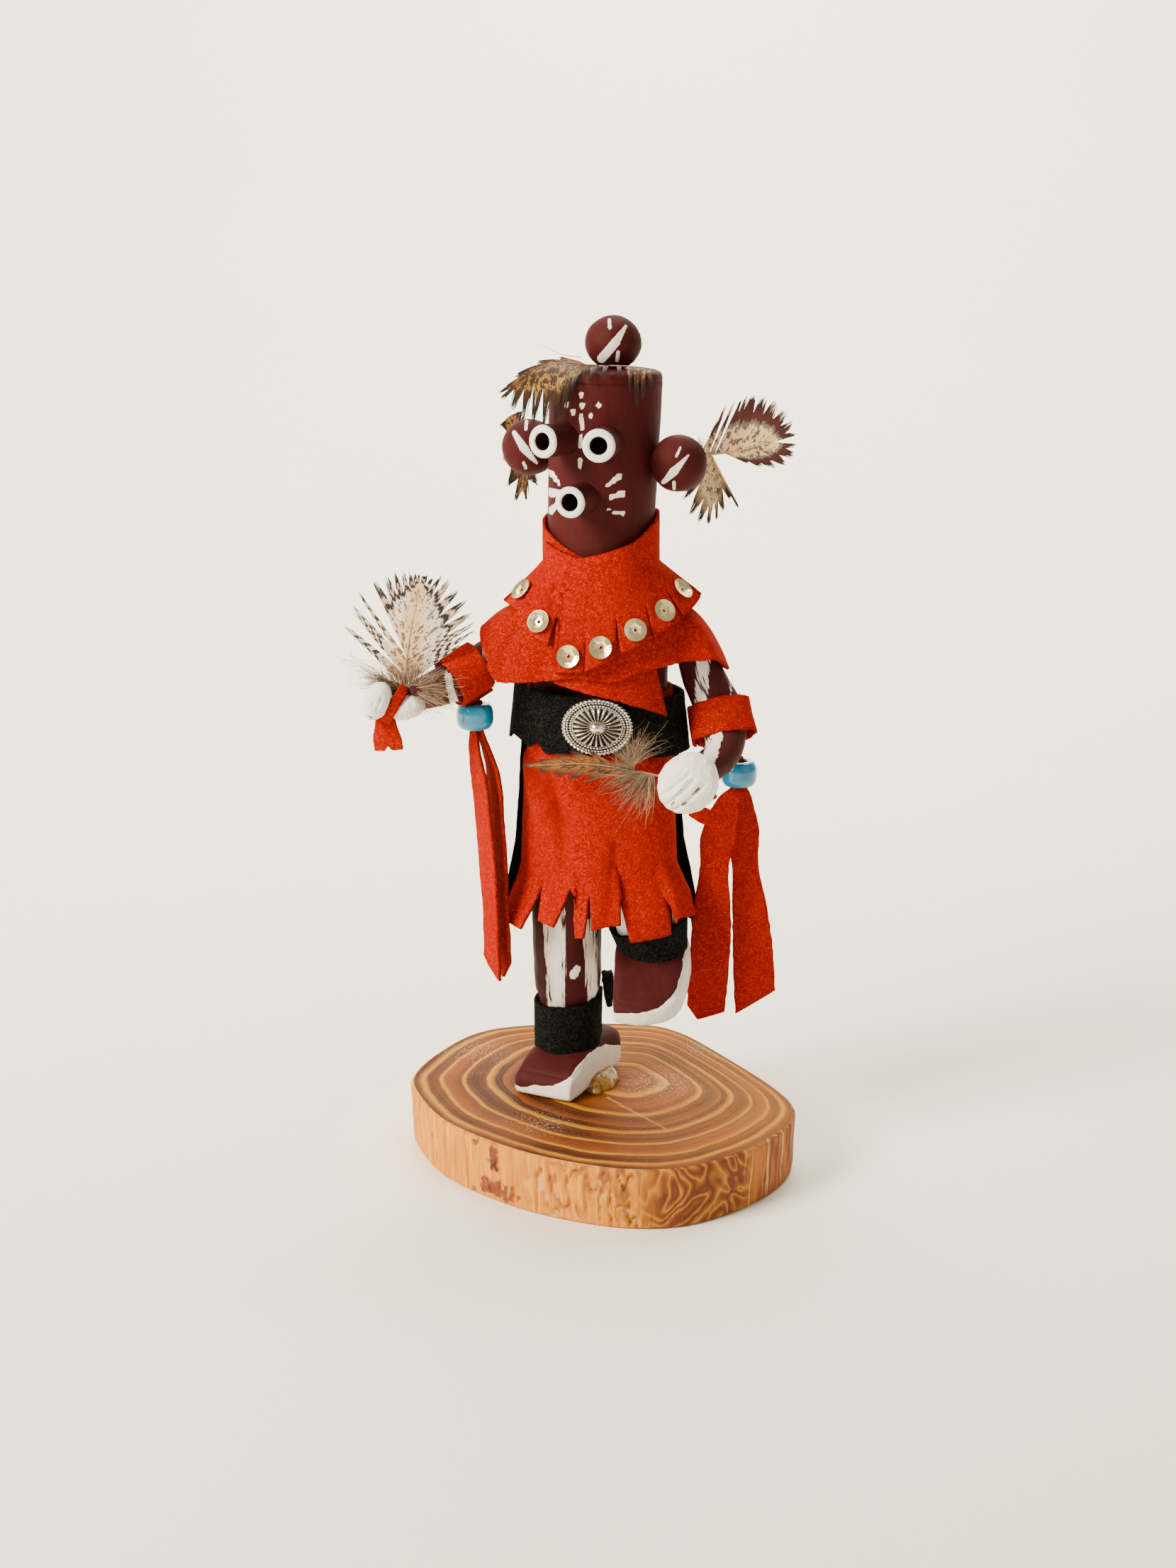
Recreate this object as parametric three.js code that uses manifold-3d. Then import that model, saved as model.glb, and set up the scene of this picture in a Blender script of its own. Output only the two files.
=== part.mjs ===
// A small dancing kachina doll on a slice of log: carved and painted wood dressed in suede, with feathers.
// Millimetres, +Z up. The origin is the middle of the slab's flat underside, and the doll looks towards -Y.

import * as THREE from "three";
import { mergeVertices } from "three/addons/utils/BufferGeometryUtils.js";
import Module from "manifold-3d";

const wasm = await Module();
wasm.setup();

// ---- Driving dimensions ----

const GAP = 0.3; // left between pieces that touch
const SUEDE = 0.8; // thickness of the suede
const LAP = SUEDE + GAP; // from one layer of suede to the next
const VANE = 0.5; // thickness of a feather

const SLAB_THICK = 16;

const HEAD = { x: 0.05, y: 2.5, z: 152, height: 53, topRadius: 14, lowRadius: 13.1, turn: -22, roll: 1.9 };
const BALL_RADIUS = 7; // topknot and ears
const EAR_OUT = 19.9;
const DOWEL_HOLE = { radius: 1.95, depth: 5 };

const TORSO_LOW = 78;
const TORSO_TOP = HEAD.z - 0.9;
const WAIST = { x: 0.4, y: 4, z: 116, halfWidth: 17.2, halfDepth: 13.6 };
const NECK = { x: 0.6, y: 3 }; // the middle of the two capes

const BEAD = { radius: 4.7, height: 6.6, hole: 1.9 };
const SEQUIN = { radius: 2.8, thick: 0.5, dish: 0.5 };
const RIBBON_WIDTH = 10;

// ---- Colours and finishes ----

const finish = (color, roughness, metalness = 0) =>
  new THREE.MeshStandardMaterial({ color, roughness, metalness });

const MATERIALS = {
  log: finish(0xb8793f, 0.7),
  maroon: finish(0x4f1f23, 0.75),
  white: finish(0xf1efe9, 0.7),
  redSuede: finish(0xc93a22, 0.95),
  blackSuede: finish(0x1b1c1c, 0.95),
  turquoise: finish(0x35b7d0, 0.25),
  silver: finish(0xd9d5cc, 0.25, 1),
  gold: finish(0xe6d7a8, 0.3, 1),
  feather: finish(0xcdb08a, 0.8),
  glue: finish(0xc79a3e, 0.3),
};

// ---- Small maths ----

const vec = (x, y, z) => new THREE.Vector3(x, y, z);
const rad = THREE.MathUtils.degToRad;
const lerp = THREE.MathUtils.lerp;
const ease = (x, low, high) => THREE.MathUtils.smoothstep(x, low, high);

// A smooth value read off a list of evenly spaced ones, at position k.
function along(list, k) {
  const i = Math.min(Math.max(Math.floor(k), 0), list.length - 2);
  const before = list[Math.max(i - 1, 0)];
  const after = list[Math.min(i + 2, list.length - 1)];
  const [a, b, t] = [list[i], list[i + 1], k - i];
  const slopeA = (b - before) / 2;
  const slopeB = (after - a) / 2;
  const [t2, t3] = [t * t, t * t * t];
  const bend = slopeA * (t3 - 2 * t2 + t) + slopeB * (t3 - t2);
  return a * (2 * t3 - 3 * t2 + 1) + b * (3 * t2 - 2 * t3) + bend;
}

// A value read off [position, value] pairs by straight lines.
function between(pairs, x) {
  if (x <= pairs[0][0]) return pairs[0][1];
  for (let i = 1; i < pairs.length; i++) {
    const [x0, y0] = pairs[i - 1];
    const [x1, y1] = pairs[i];
    if (x <= x1) return lerp(y0, y1, (x - x0) / (x1 - x0));
  }
  return pairs[pairs.length - 1][1];
}

// ---- Closed solids ----

// Triangles over a list of points, turned to face out.
function closed(points, faces) {
  let volume = 0;
  for (const [a, b, c] of faces) volume += points[a].dot(points[b].clone().cross(points[c]));
  const index = volume < 0 ? faces.map(([a, b, c]) => [a, c, b]) : faces;
  return new THREE.BufferGeometry().setFromPoints(points).setIndex(index.flat());
}

// A skin over rings that all have the same number of points, closed at both ends.
function skin(rings) {
  const sides = rings[0].length;
  const points = rings.flat();
  const faces = [];
  for (let r = 0; r + 1 < rings.length; r++)
    for (let i = 0; i < sides; i++) {
      const j = (i + 1) % sides;
      const [a, b, c, d] = [r * sides + i, r * sides + j, (r + 1) * sides + j, (r + 1) * sides + i];
      faces.push([a, b, c], [a, c, d]);
    }
  for (const [ring, flip] of [[0, true], [rings.length - 1, false]]) {
    const middle = rings[ring].reduce((sum, p) => sum.add(p), vec(0, 0, 0)).divideScalar(sides);
    const at = points.push(middle) - 1;
    for (let i = 0; i < sides; i++) {
      const [a, b] = [ring * sides + i, ring * sides + ((i + 1) % sides)];
      faces.push(flip ? [at, b, a] : [at, a, b]);
    }
  }
  return closed(points, faces);
}

// Level rings of an upright form: each is [z, x, y, half width, half depth].
function upright(levels, sides) {
  return skin(levels.map(([z, x, y, halfWidth, halfDepth]) =>
    Array.from({ length: sides }, (_, i) => {
      const turn = (i / sides) * 2 * Math.PI;
      return vec(x + halfWidth * Math.cos(turn), y + halfDepth * Math.sin(turn), z);
    })));
}

// A carved limb: round sections of the radii given at the points of a smooth line, with domed ends.
function limb(points, radii, { sides = 14, steps = 3, dome = 0.6, extra = 0 } = {}) {
  const line = new THREE.CatmullRomCurve3(points);
  const count = (points.length - 1) * steps;
  const stations = [];
  let side = null;
  for (let i = 0; i <= count; i++) {
    const t = i / count;
    const tangent = line.getTangent(t);
    if (!side) side = vec(1, 0, 0).cross(tangent).length() > 0.3 ? vec(1, 0, 0) : vec(0, 1, 0);
    side = side.clone().projectOnPlane(tangent).normalize();
    const radius = along(radii, t * (radii.length - 1)) + extra;
    stations.push({ centre: line.getPoint(t), tangent, side, radius });
  }
  const ringAt = ({ centre, tangent, side: across, radius }, shrink = 1, shift = 0) => {
    const up = tangent.clone().cross(across);
    return Array.from({ length: sides }, (_, i) => {
      const turn = (i / sides) * 2 * Math.PI;
      return centre.clone()
        .addScaledVector(tangent, shift * radius)
        .addScaledVector(across, Math.cos(turn) * radius * shrink)
        .addScaledVector(up, Math.sin(turn) * radius * shrink);
    });
  };
  const [first, last] = [stations[0], stations[count]];
  const domes = [[0.45, 0.95], [0.85, 0.6]]; // share of the radius, and how far out
  return skin([
    ...domes.map(([shrink, shift]) => ringAt(first, shrink, -shift * dome)),
    ...stations.map((s) => ringAt(s)),
    ...domes.map(([shrink, shift]) => ringAt(last, shrink, shift * dome)).reverse(),
  ]);
}

// A sheet of suede or a vane: surface(u, v) is its inner face, grown outwards by the thickness.
// Each column u runs from v = 0 down to v = hem(u), so a hem can be cut into tabs.
function sheet(surface, { columns, rows, hem = () => 1, thickness = SUEDE }) {
  const step = 1e-3;
  const face = (u, v) => {
    const across = surface(u + step, v).sub(surface(u - step, v));
    const down = surface(u, v + step).sub(surface(u, v - step));
    return { point: surface(u, v), normal: across.cross(down).normalize() };
  };
  const points = [];
  const at = [[], []];
  for (const [layer, depth] of [[0, 0], [1, thickness]])
    columns.forEach((u, i) => {
      at[layer][i] = [];
      for (let j = 0; j <= rows; j++) {
        const v = (j / rows) * hem(u);
        const { point, normal } = face(u, v);
        at[layer][i][j] = points.push(point.addScaledVector(normal, depth)) - 1;
      }
    });
  const faces = [];
  const quad = (a, b, c, d) => faces.push([a, b, c], [a, c, d]);
  const [inner, outer] = at;
  const last = columns.length - 1;
  for (let i = 0; i < last; i++)
    for (let j = 0; j < rows; j++) {
      quad(outer[i][j], outer[i + 1][j], outer[i + 1][j + 1], outer[i][j + 1]);
      quad(inner[i][j], inner[i][j + 1], inner[i + 1][j + 1], inner[i + 1][j]);
    }
  for (let i = 0; i < last; i++) {
    quad(inner[i][0], inner[i + 1][0], outer[i + 1][0], outer[i][0]);
    quad(inner[i + 1][rows], inner[i][rows], outer[i][rows], outer[i + 1][rows]);
  }
  for (let j = 0; j < rows; j++) {
    quad(inner[0][j + 1], inner[0][j], outer[0][j], outer[0][j + 1]);
    quad(inner[last][j], inner[last][j + 1], outer[last][j + 1], outer[last][j]);
  }
  return closed(points, faces);
}

// Evenly spaced columns from 0 to 1, with three more at each cut: two lips and the top of the cut.
function columnsWithCuts(count, cuts, lip) {
  const plain = Array.from({ length: count + 1 }, (_, i) => i / count);
  const clear = plain.filter((u) => cuts.every((c) => Math.abs(c - u) > 2.2 * lip) || u === 0 || u === 1);
  return [...clear, ...cuts.flatMap((c) => [c - lip, c, c + lip])].sort((a, b) => a - b);
}

// ---- Cutting one solid by another ----

function toSolid(geometry) {
  const loose = geometry.index ? geometry.toNonIndexed() : geometry;
  const bare = new THREE.BufferGeometry().setAttribute("position", loose.getAttribute("position"));
  const merged = mergeVertices(bare, 1e-3);
  return new wasm.Manifold(new wasm.Mesh({
    numProp: 3,
    vertProperties: merged.attributes.position.array,
    triVerts: new Uint32Array(merged.index.array),
  }));
}

function toGeometry(solid) {
  const { numProp, vertProperties, triVerts } = solid.getMesh();
  const position = new Float32Array((vertProperties.length / numProp) * 3);
  for (let i = 0; i < position.length / 3; i++)
    position.set(vertProperties.subarray(i * numProp, i * numProp + 3), i * 3);
  return new THREE.BufferGeometry()
    .setAttribute("position", new THREE.BufferAttribute(position, 3))
    .setIndex(new THREE.BufferAttribute(triVerts, 1));
}

// A geometry without the space of others, keeping only its largest piece.
function cutBy(geometry, ...tools) {
  const left = tools.reduce((solid, tool) => solid.subtract(toSolid(tool)), toSolid(geometry));
  const largest = left.decompose().sort((a, b) => b.volume() - a.volume())[0];
  return toGeometry(largest);
}

function joined(...geometries) {
  return toGeometry(geometries.slice(1).reduce((sum, g) => sum.add(toSolid(g)), toSolid(geometries[0])));
}

// ---- The scene graph ----

const doll = new THREE.Group();

function place(parent, name, geometry, material) {
  const mesh = new THREE.Mesh(geometry, material);
  mesh.name = name;
  parent.add(mesh);
  return mesh;
}

// ---- The slab: a slice of log with a wavy outline ----

const SLAB_OUTLINE = [
  [51, -14], [46, -28], [35, -41], [21, -50], [6, -51], [-11, -45], [-26, -35], [-40, -20], [-48, -2],
  [-50, 12], [-44, 30], [-33, 46], [-14, 52], [10, 52], [23, 46], [36, 25], [48, 1],
];

// A smooth closed line through points of a plan, as evenly numbered points.
function plan(outline, count) {
  const line = new THREE.CatmullRomCurve3(outline.map(([x, y]) => vec(x, y, 0)), true);
  return line.getPoints(count).slice(0, count);
}

function slab() {
  const bevel = 0.9;
  const edge = plan(SLAB_OUTLINE, 51);
  const ring = (z, scale, inset) =>
    edge.map((p) => p.clone().setLength(p.length() * scale - inset).setZ(z));
  return skin([
    ring(0, 0.985, bevel),
    ring(bevel, 0.985, 0),
    ring(SLAB_THICK - bevel, 1, 0),
    ring(SLAB_THICK, 1, bevel),
  ]);
}
place(doll, "base_slab", slab(), MATERIALS.log);

// ---- Feet: carved blocks that rise from a blunt toe to the instep ----

const LEFT_SOLE = [
  [8.2, -13.6], [8.9, -3], [9.2, 6], [9, 14], [5, 17], [-1, 17], [-6, 13.6], [-8.4, 6], [-8.9, -3],
  [-8.9, -12.2], [-7.4, -14.6], [0, -15.2], [6.8, -15.2],
];
const RIGHT_SOLE = [
  [7, -15], [10, -6], [10.6, 6], [7, 15], [0, 18], [-6, 15.6], [-8.8, 8], [-8.9, -4],
  [-8.5, -15], [-6.8, -17.6], [0, -18.2],
];
// Each level of a foot: share of its height, share of the sole, and shift towards the heel.
const FOOT_LEVELS = [[0, 0.95, 0], [0.16, 1, 0], [0.6, 0.99, 0.4], [0.85, 0.92, 1], [1, 0.76, 1.8]];
const TOE_HEIGHT = 6.2;
const INSTEP_HEIGHT = 9.6;

function foot(sole) {
  const edge = plan(sole, 2 * sole.length);
  const heightAt = (y) => lerp(TOE_HEIGHT, INSTEP_HEIGHT, ease(y, -18, -2));
  return skin(FOOT_LEVELS.map(([up, share, back]) =>
    edge.map((p) => vec(p.x * share, p.y * share + back, up * heightAt(p.y)))));
}

function footGroup({ x, y, z, turn, pitch }) {
  const group = new THREE.Group();
  group.position.set(x, y, z);
  group.rotation.set(rad(pitch), 0, rad(turn), "ZXY");
  doll.add(group);
  return group;
}

const STANDING_FOOT = { x: -8, y: 8.2, z: 17.2, turn: -26, pitch: 3.4 };
const RAISED_FOOT = { x: 13.2, y: -2.6, z: 48, turn: -4, pitch: 22 };
const leftFoot = place(footGroup(STANDING_FOOT), "foot_left", foot(LEFT_SOLE), MATERIALS.white);
const rightFoot = place(footGroup(RAISED_FOOT), "foot_right", foot(RIGHT_SOLE), MATERIALS.white);

// A mesh's shape where it stands, grown about its middle, as a tool that clears its neighbours.
function inPlace(mesh, grow) {
  mesh.updateWorldMatrix(true, false);
  const shape = mesh.geometry.clone();
  shape.computeBoundingBox();
  const middle = shape.boundingBox.getCenter(vec(0, 0, 0));
  shape.translate(-middle.x, -middle.y, -middle.z).scale(grow, grow, grow);
  return shape.translate(middle.x, middle.y, middle.z).applyMatrix4(mesh.matrixWorld);
}
const FOOT_CLEARANCE = 1.04;
const clearOfLeftFoot = inPlace(leftFoot, FOOT_CLEARANCE);
const clearOfRightFoot = inPlace(rightFoot, FOOT_CLEARANCE);

// The lump of glue that holds the raised heel to the slab.
const GLUE = { x: -0.4, y: 7.2, halfWidth: 5.4, halfDepth: 8.5, top: 20 };
const glueLump = upright([
  [SLAB_THICK + GAP, GLUE.x, GLUE.y, GLUE.halfWidth, GLUE.halfDepth],
  [SLAB_THICK + 1.2, GLUE.x, GLUE.y, GLUE.halfWidth, GLUE.halfDepth],
  [GLUE.top, GLUE.x - 0.6, GLUE.y, GLUE.halfWidth - 1.4, GLUE.halfDepth - 1.6],
], 16);
place(doll, "heel_glue", cutBy(glueLump, clearOfLeftFoot), MATERIALS.glue);

// ---- Torso and legs ----

const TORSO_LEVELS = [ // height, middle, half width, half depth
  [TORSO_LOW, 0, 5, 15, 11.6],
  [TORSO_LOW + 3, 0.1, 4.8, 16.6, 12.8],
  [96, 0.3, 4.3, 17.2, 13.6],
  [WAIST.z, WAIST.x, WAIST.y, WAIST.halfWidth, WAIST.halfDepth],
  [128, 0.6, 3.7, 17.2, 12.4],
  [138, 0.8, 3.3, 17.4, 10.8],
  [144.5, 0.9, 3, 14.4, 9.6],
  [148.5, 0.7, 2.8, 10.6, 8.6],
  [TORSO_TOP, 0.5, 2.6, 9.4, 8.4],
];
place(doll, "torso", upright(TORSO_LEVELS, 20), MATERIALS.maroon);
const clearOfTorso = upright(TORSO_LEVELS.map(([z, x, y, a, b]) => [z, x, y, a + 0.4, b + 0.4]), 20);

const STANDING_LEG = [
  vec(-8, 6.6, 77), vec(-8.2, 7.8, 62), vec(-8.1, 9.2, 42), vec(-8.1, 9.4, 40), vec(-8.2, 10, 22),
];
const STANDING_RADII = [8.8, 9.3, 8.7, 7.6, 7.4];
const RAISED_LEG = [vec(8.2, 5, 76), vec(10.6, -0.6, 70.4), vec(12.8, -2.8, 62.6), vec(15, -1.4, 50)];
const RAISED_RADII = [7, 8.2, 8.1, 5.8];
const underTorso = new THREE.BoxGeometry(60, 60, 40).translate(0, 0, TORSO_LOW - GAP + 20);
const leftLeg = cutBy(limb(STANDING_LEG, STANDING_RADII), underTorso, clearOfLeftFoot);
const rightLeg = cutBy(limb(RAISED_LEG, RAISED_RADII), underTorso, clearOfRightFoot);
place(doll, "leg_left", leftLeg, MATERIALS.maroon);
place(doll, "leg_right", rightLeg, MATERIALS.maroon);

// ---- Cuffs: strips of suede wound once round a limb ----

const evenly = (count) => Array.from({ length: count + 1 }, (_, i) => i / count);

// From one end of the limb's axis to the other; the radii are those of the strip's inner face.
// A slope lifts the first edge on one side and lowers it on the other.
function cuff({ from, to, fromRadius, toRadius, seam = 90, slope = 0 }) {
  const axis = to.clone().sub(from);
  const across = vec(1, 0, 0).projectOnPlane(axis).normalize();
  if (Math.abs(axis.x) > Math.abs(axis.z)) across.copy(vec(0, 0, 1).projectOnPlane(axis).normalize());
  const forward = axis.clone().normalize().cross(across);
  const surface = (u, v) => {
    const turn = lerp(0.015, 0.985, u) * 2 * Math.PI + rad(seam);
    const radius = lerp(fromRadius, toRadius, v);
    const lift = (1 - v) * slope * Math.cos(turn);
    return from.clone().addScaledVector(axis, v).add(vec(0, 0, lift))
      .addScaledVector(across, Math.cos(turn) * radius)
      .addScaledVector(forward, Math.sin(turn) * radius);
  };
  return sheet(surface, { columns: evenly(18), rows: 1 });
}

const LEFT_CUFF = {
  from: vec(-8.1, 9.4, 39.6), to: vec(-8.2, 9.9, 25.2), fromRadius: 8.2, toRadius: 8, slope: 0.9,
};
const RIGHT_CUFF = {
  from: vec(12.8, -2.8, 64.8), to: vec(15.2, -1.2, 53), fromRadius: 9.6, toRadius: 7.3,
};
place(doll, "ankle_cuff_left", cutBy(cuff(LEFT_CUFF), clearOfLeftFoot), MATERIALS.blackSuede);
place(doll, "ankle_cuff_right", cutBy(cuff(RIGHT_CUFF), clearOfRightFoot), MATERIALS.blackSuede);

// The end of the left cuff's strip, standing off its outer side.
const cuffEnd = new THREE.BoxGeometry(3, 4.4, 9).rotateY(rad(-9)).translate(3, 9.4, 41.6);
place(doll, "ankle_cuff_end", cuffEnd, MATERIALS.blackSuede);

// ---- The head: a cylinder with balls for ears and topknot, and drilled dowels for eyes and mouth ----

const head = new THREE.Group();
head.position.set(HEAD.x, HEAD.y, HEAD.z);
head.rotation.set(0, rad(HEAD.roll), rad(HEAD.turn), "YZX");
doll.add(head);

const lathe = (profile, sides) =>
  new THREE.LatheGeometry(profile.map(([r, z]) => new THREE.Vector2(r, z)), sides);

function headShape(grow = 0) {
  const { height, topRadius, lowRadius } = HEAD;
  const round = 2.4; // at the rim of the flat top
  return lathe([
    [0, -grow], [lowRadius + grow, -grow], [topRadius + grow, height - round],
    [topRadius + grow - round * 0.3, height + grow - round * 0.3],
    [topRadius - round, height + grow], [0, height + grow],
  ], 30).rotateX(Math.PI / 2);
}
place(head, "head", headShape(), MATERIALS.maroon);
const clearOfHead = headShape(GAP);

function ball(x, y, z, flat = 1) {
  return new THREE.SphereGeometry(BALL_RADIUS, 16, 10).scale(1, 1, flat).translate(x, y, z);
}
place(head, "topknot", cutBy(ball(1, 1.5, 59.2, 0.94), clearOfHead), MATERIALS.maroon);
place(head, "ear_left", cutBy(ball(-EAR_OUT, 0, 32.2), clearOfHead), MATERIALS.maroon);
place(head, "ear_right", cutBy(ball(EAR_OUT, 0, 31.1), clearOfHead), MATERIALS.maroon);

// A dowel out of the face with a blind hole in its end, splayed outwards about its rim.
function dowel({ radius, out, apart, height, splay }) {
  const long = out - 9;
  const soft = 0.5; // rounding of the rim
  const profile = [
    [0, long], [radius, long], [radius, soft], [radius - soft, 0], [DOWEL_HOLE.radius, 0],
    [DOWEL_HOLE.radius, DOWEL_HOLE.depth], [0, DOWEL_HOLE.depth + 0.5],
  ];
  const shape = lathe(profile.reverse(), 18).rotateZ(rad(splay)).translate(apart, -out, height);
  return cutBy(shape, clearOfHead);
}
const DOWELS = {
  eye_left: { radius: 4.1, out: 22.4, apart: -7.3, height: 36.4, splay: -12 },
  eye_right: { radius: 4.1, out: 22.4, apart: 7.4, height: 36.4, splay: 12 },
  mouth: { radius: 3.9, out: 22.8, apart: 0.5, height: 22.4, splay: 0 },
};
for (const [name, size] of Object.entries(DOWELS)) place(head, name, dowel(size), MATERIALS.maroon);

// ---- Hands ----

// The right fist: a rounded block with three grooves between its fingers.
function rightHand() {
  const block = new THREE.SphereGeometry(1, 16, 10).scale(7.4, 4.6, 8.5);
  const groove = (x) => new THREE.BoxGeometry(0.8, 1.6, 9).rotateX(rad(-8)).translate(x, -4.7, -1);
  const fist = cutBy(block, ...[-2.9, -0.2, 2.5].map(groove));
  return fist.rotateY(rad(38)).rotateZ(rad(-10)).translate(22, -20.6, 105.6);
}
// The left hand: curled fingers at its end, joined to a palm that leaves a slot for the feather.
function leftHand() {
  const round = () => new THREE.SphereGeometry(1, 12, 8);
  const fingers = round().scale(3.6, 4, 5.3).rotateY(rad(24)).translate(-54.8, -16, 125.3);
  const palm = round().scale(5, 4, 3.3).rotateY(rad(-12)).translate(-47.8, -13.8, 123.3);
  return joined(fingers, palm);
}
const leftHandMesh = place(doll, "hand_left", leftHand(), MATERIALS.white);
const rightHandMesh = place(doll, "hand_right", rightHand(), MATERIALS.white);

// ---- Arms ----

const LEFT_ARM = [
  vec(-20.6, 2, 137), vec(-29.3, -3.3, 132.2), vec(-36.9, -7.4, 128.2), vec(-46, -12.6, 125.4),
];
const LEFT_ARM_RADII = [4.8, 5.2, 5.3, 3.8];
const RIGHT_ARM = [
  vec(23, 2.4, 138), vec(26.6, 1.6, 127.5), vec(31.6, 0.4, 117),
  vec(31.2, -8.4, 110.4), vec(25.6, -16.4, 107.6),
];
const RIGHT_ARM_RADII = [4.6, 5.6, 6, 4.8, 4.4];
const HAND_CLEARANCE = 1.06;
const armShape = (line, radii, hand) =>
  cutBy(limb(line, radii, { sides: 12 }), clearOfTorso, inPlace(hand, HAND_CLEARANCE));
place(doll, "arm_left", armShape(LEFT_ARM, LEFT_ARM_RADII, leftHandMesh), MATERIALS.maroon);
place(doll, "arm_right", armShape(RIGHT_ARM, RIGHT_ARM_RADII, rightHandMesh), MATERIALS.maroon);

const LEFT_BAND = {
  from: vec(-30, -3.8, 132), to: vec(-37.2, -7.6, 128), fromRadius: 5.7, toRadius: 5.9, seam: 0,
};
const RIGHT_BAND = {
  from: vec(30.8, 2.2, 120.6), to: vec(32.4, -2, 112.6), fromRadius: 6.7, toRadius: 7.1,
};
place(doll, "arm_band_left", cuff(LEFT_BAND), MATERIALS.redSuede);
const clearOfRightArm = limb(RIGHT_ARM, RIGHT_ARM_RADII, { sides: 12, extra: 0.2 });
place(doll, "arm_band_right", cutBy(cuff(RIGHT_BAND), clearOfRightArm), MATERIALS.redSuede);

// ---- Garments: suede wound round the body, cut into tabs along some hems ----

// A bearing of 0 is straight ahead, 90 is the viewer's left, 180 the back and 270 the viewer's right.
const heading = (bearing) => vec(-Math.sin(rad(bearing)), -Math.cos(rad(bearing)), 0);

// The garment runs from one bearing to another. At each bearing its face starts from a top edge and ends at
// a hem, each a distance out from the middle and a height; `shape` bends the way between them and `slant`
// turns it.
function faceOf({ middle, top, hem, shape = (v) => [v, v], slant = () => 0 }) {
  return (bearing, v) => {
    const [out0, z0] = top(bearing);
    const [out1, z1] = hem(bearing);
    const [a, b] = shape(Math.max(v, 0), bearing);
    const towards = heading(bearing + slant(bearing) * v);
    return towards.multiplyScalar(lerp(out0, out1, a)).add(middle).setZ(lerp(z0, z1, b));
  };
}

function garment({ bearings, cuts = [], cutLength = 0, step = 10, rows = 4, ...face }) {
  const [start, end] = bearings;
  const lip = 0.7 / (end - start);
  const at = faceOf(face);
  const surface = (u, v) => at(lerp(start, end, u), v);
  const places = cuts.map((bearing) => (bearing - start) / (end - start));
  const hemAt = (u) => {
    const long = surface(u, 0).distanceTo(surface(u, 1));
    return places.some((c) => Math.abs(c - u) < lip / 2) ? 1 - cutLength / long : 1;
  };
  const columns = columnsWithCuts(Math.round((end - start) / step), places, lip);
  return sheet(surface, { columns, rows, hem: hemAt });
}

// A swelling of 1 at one bearing that fades out over `width` degrees to each side.
const swell = (bearing, at, width) => 1 - ease(Math.abs(bearing - at), 0, width);

// The distance from a middle to an ellipse with these half sizes, at a bearing.
function ellipseOut(halfWidth, halfDepth, bearing) {
  const { x, y } = heading(bearing);
  return 1 / Math.hypot(x / halfWidth, y / halfDepth);
}

// A red kilt from the belt to the thighs, its hem cut into tabs of uneven length.
const KILT = {
  middle: vec(0.3, 4.4, 0), top: 125, waist: [17.9, 14.5], hem: [22.8, 19.4], kneeRoom: 3.6,
  cuts: [-166, -140, -112, -88, -48, -17, 8, 54, 88, 116, 144, 168], cutLength: 11,
};
const KILT_HEM = [
  [-180, 66], [-112, 67], [-88, 65], [-49, 68], [-48, 63.6], [-17, 62.6], [-16, 67.6], [8, 66], [9, 64],
  [20, 63.4], [21, 67], [30, 66], [53, 66.4], [54, 63], [88, 64.8], [140, 66], [180, 66],
];
const KILT_FLARE = [[0, 0], [0.26, 0], [0.4, 0.16], [0.78, 0.24], [1, 1]]; // over the standing leg
// over the raised knee
const KNEE_FLARE = [[0, 0], [0.26, 0], [0.4, 0.16], [0.76, 0.3], [0.9, 0.88], [1, 1]];
place(doll, "kilt", garment({
  middle: KILT.middle,
  bearings: [-178, 178],
  top: (b) => [ellipseOut(...KILT.waist, b), KILT.top],
  hem: (b) => [ellipseOut(...KILT.hem, b) + KILT.kneeRoom * swell(b, -44, 56), between(KILT_HEM, b)],
  shape: (v, b) => [lerp(between(KILT_FLARE, v), between(KNEE_FLARE, v), swell(b, -55, 75)), v],
  cuts: KILT.cuts,
  cutLength: KILT.cutLength,
  step: 12,
  rows: 5,
}), MATERIALS.redSuede);

// A black sash over the kilt, a little lower on one side, that bags out at both sides.
const SASH = { front: [19.1, 15.8], back: [20.3, 17.2], top: 124.8, low: 110.2, tilt: 1.2 };
function sashOut(b, bag) {
  const behind = ease(-Math.cos(rad(b)), -0.5, -0.1);
  const round = lerp(ellipseOut(...SASH.front, b), ellipseOut(...SASH.back, b), behind);
  return round + bag * (0.9 * swell(b, 80, 30) + 2.2 * swell(b, -76, 34));
}
place(doll, "sash", garment({
  middle: KILT.middle,
  bearings: [-177, 177],
  top: (b) => [sashOut(b, 0.3), SASH.top + SASH.tilt * Math.sin(rad(b))],
  hem: (b) => [sashOut(b, 1), SASH.low + SASH.tilt * Math.sin(rad(b))],
  step: 12,
  rows: 1,
}), MATERIALS.blackSuede);

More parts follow.
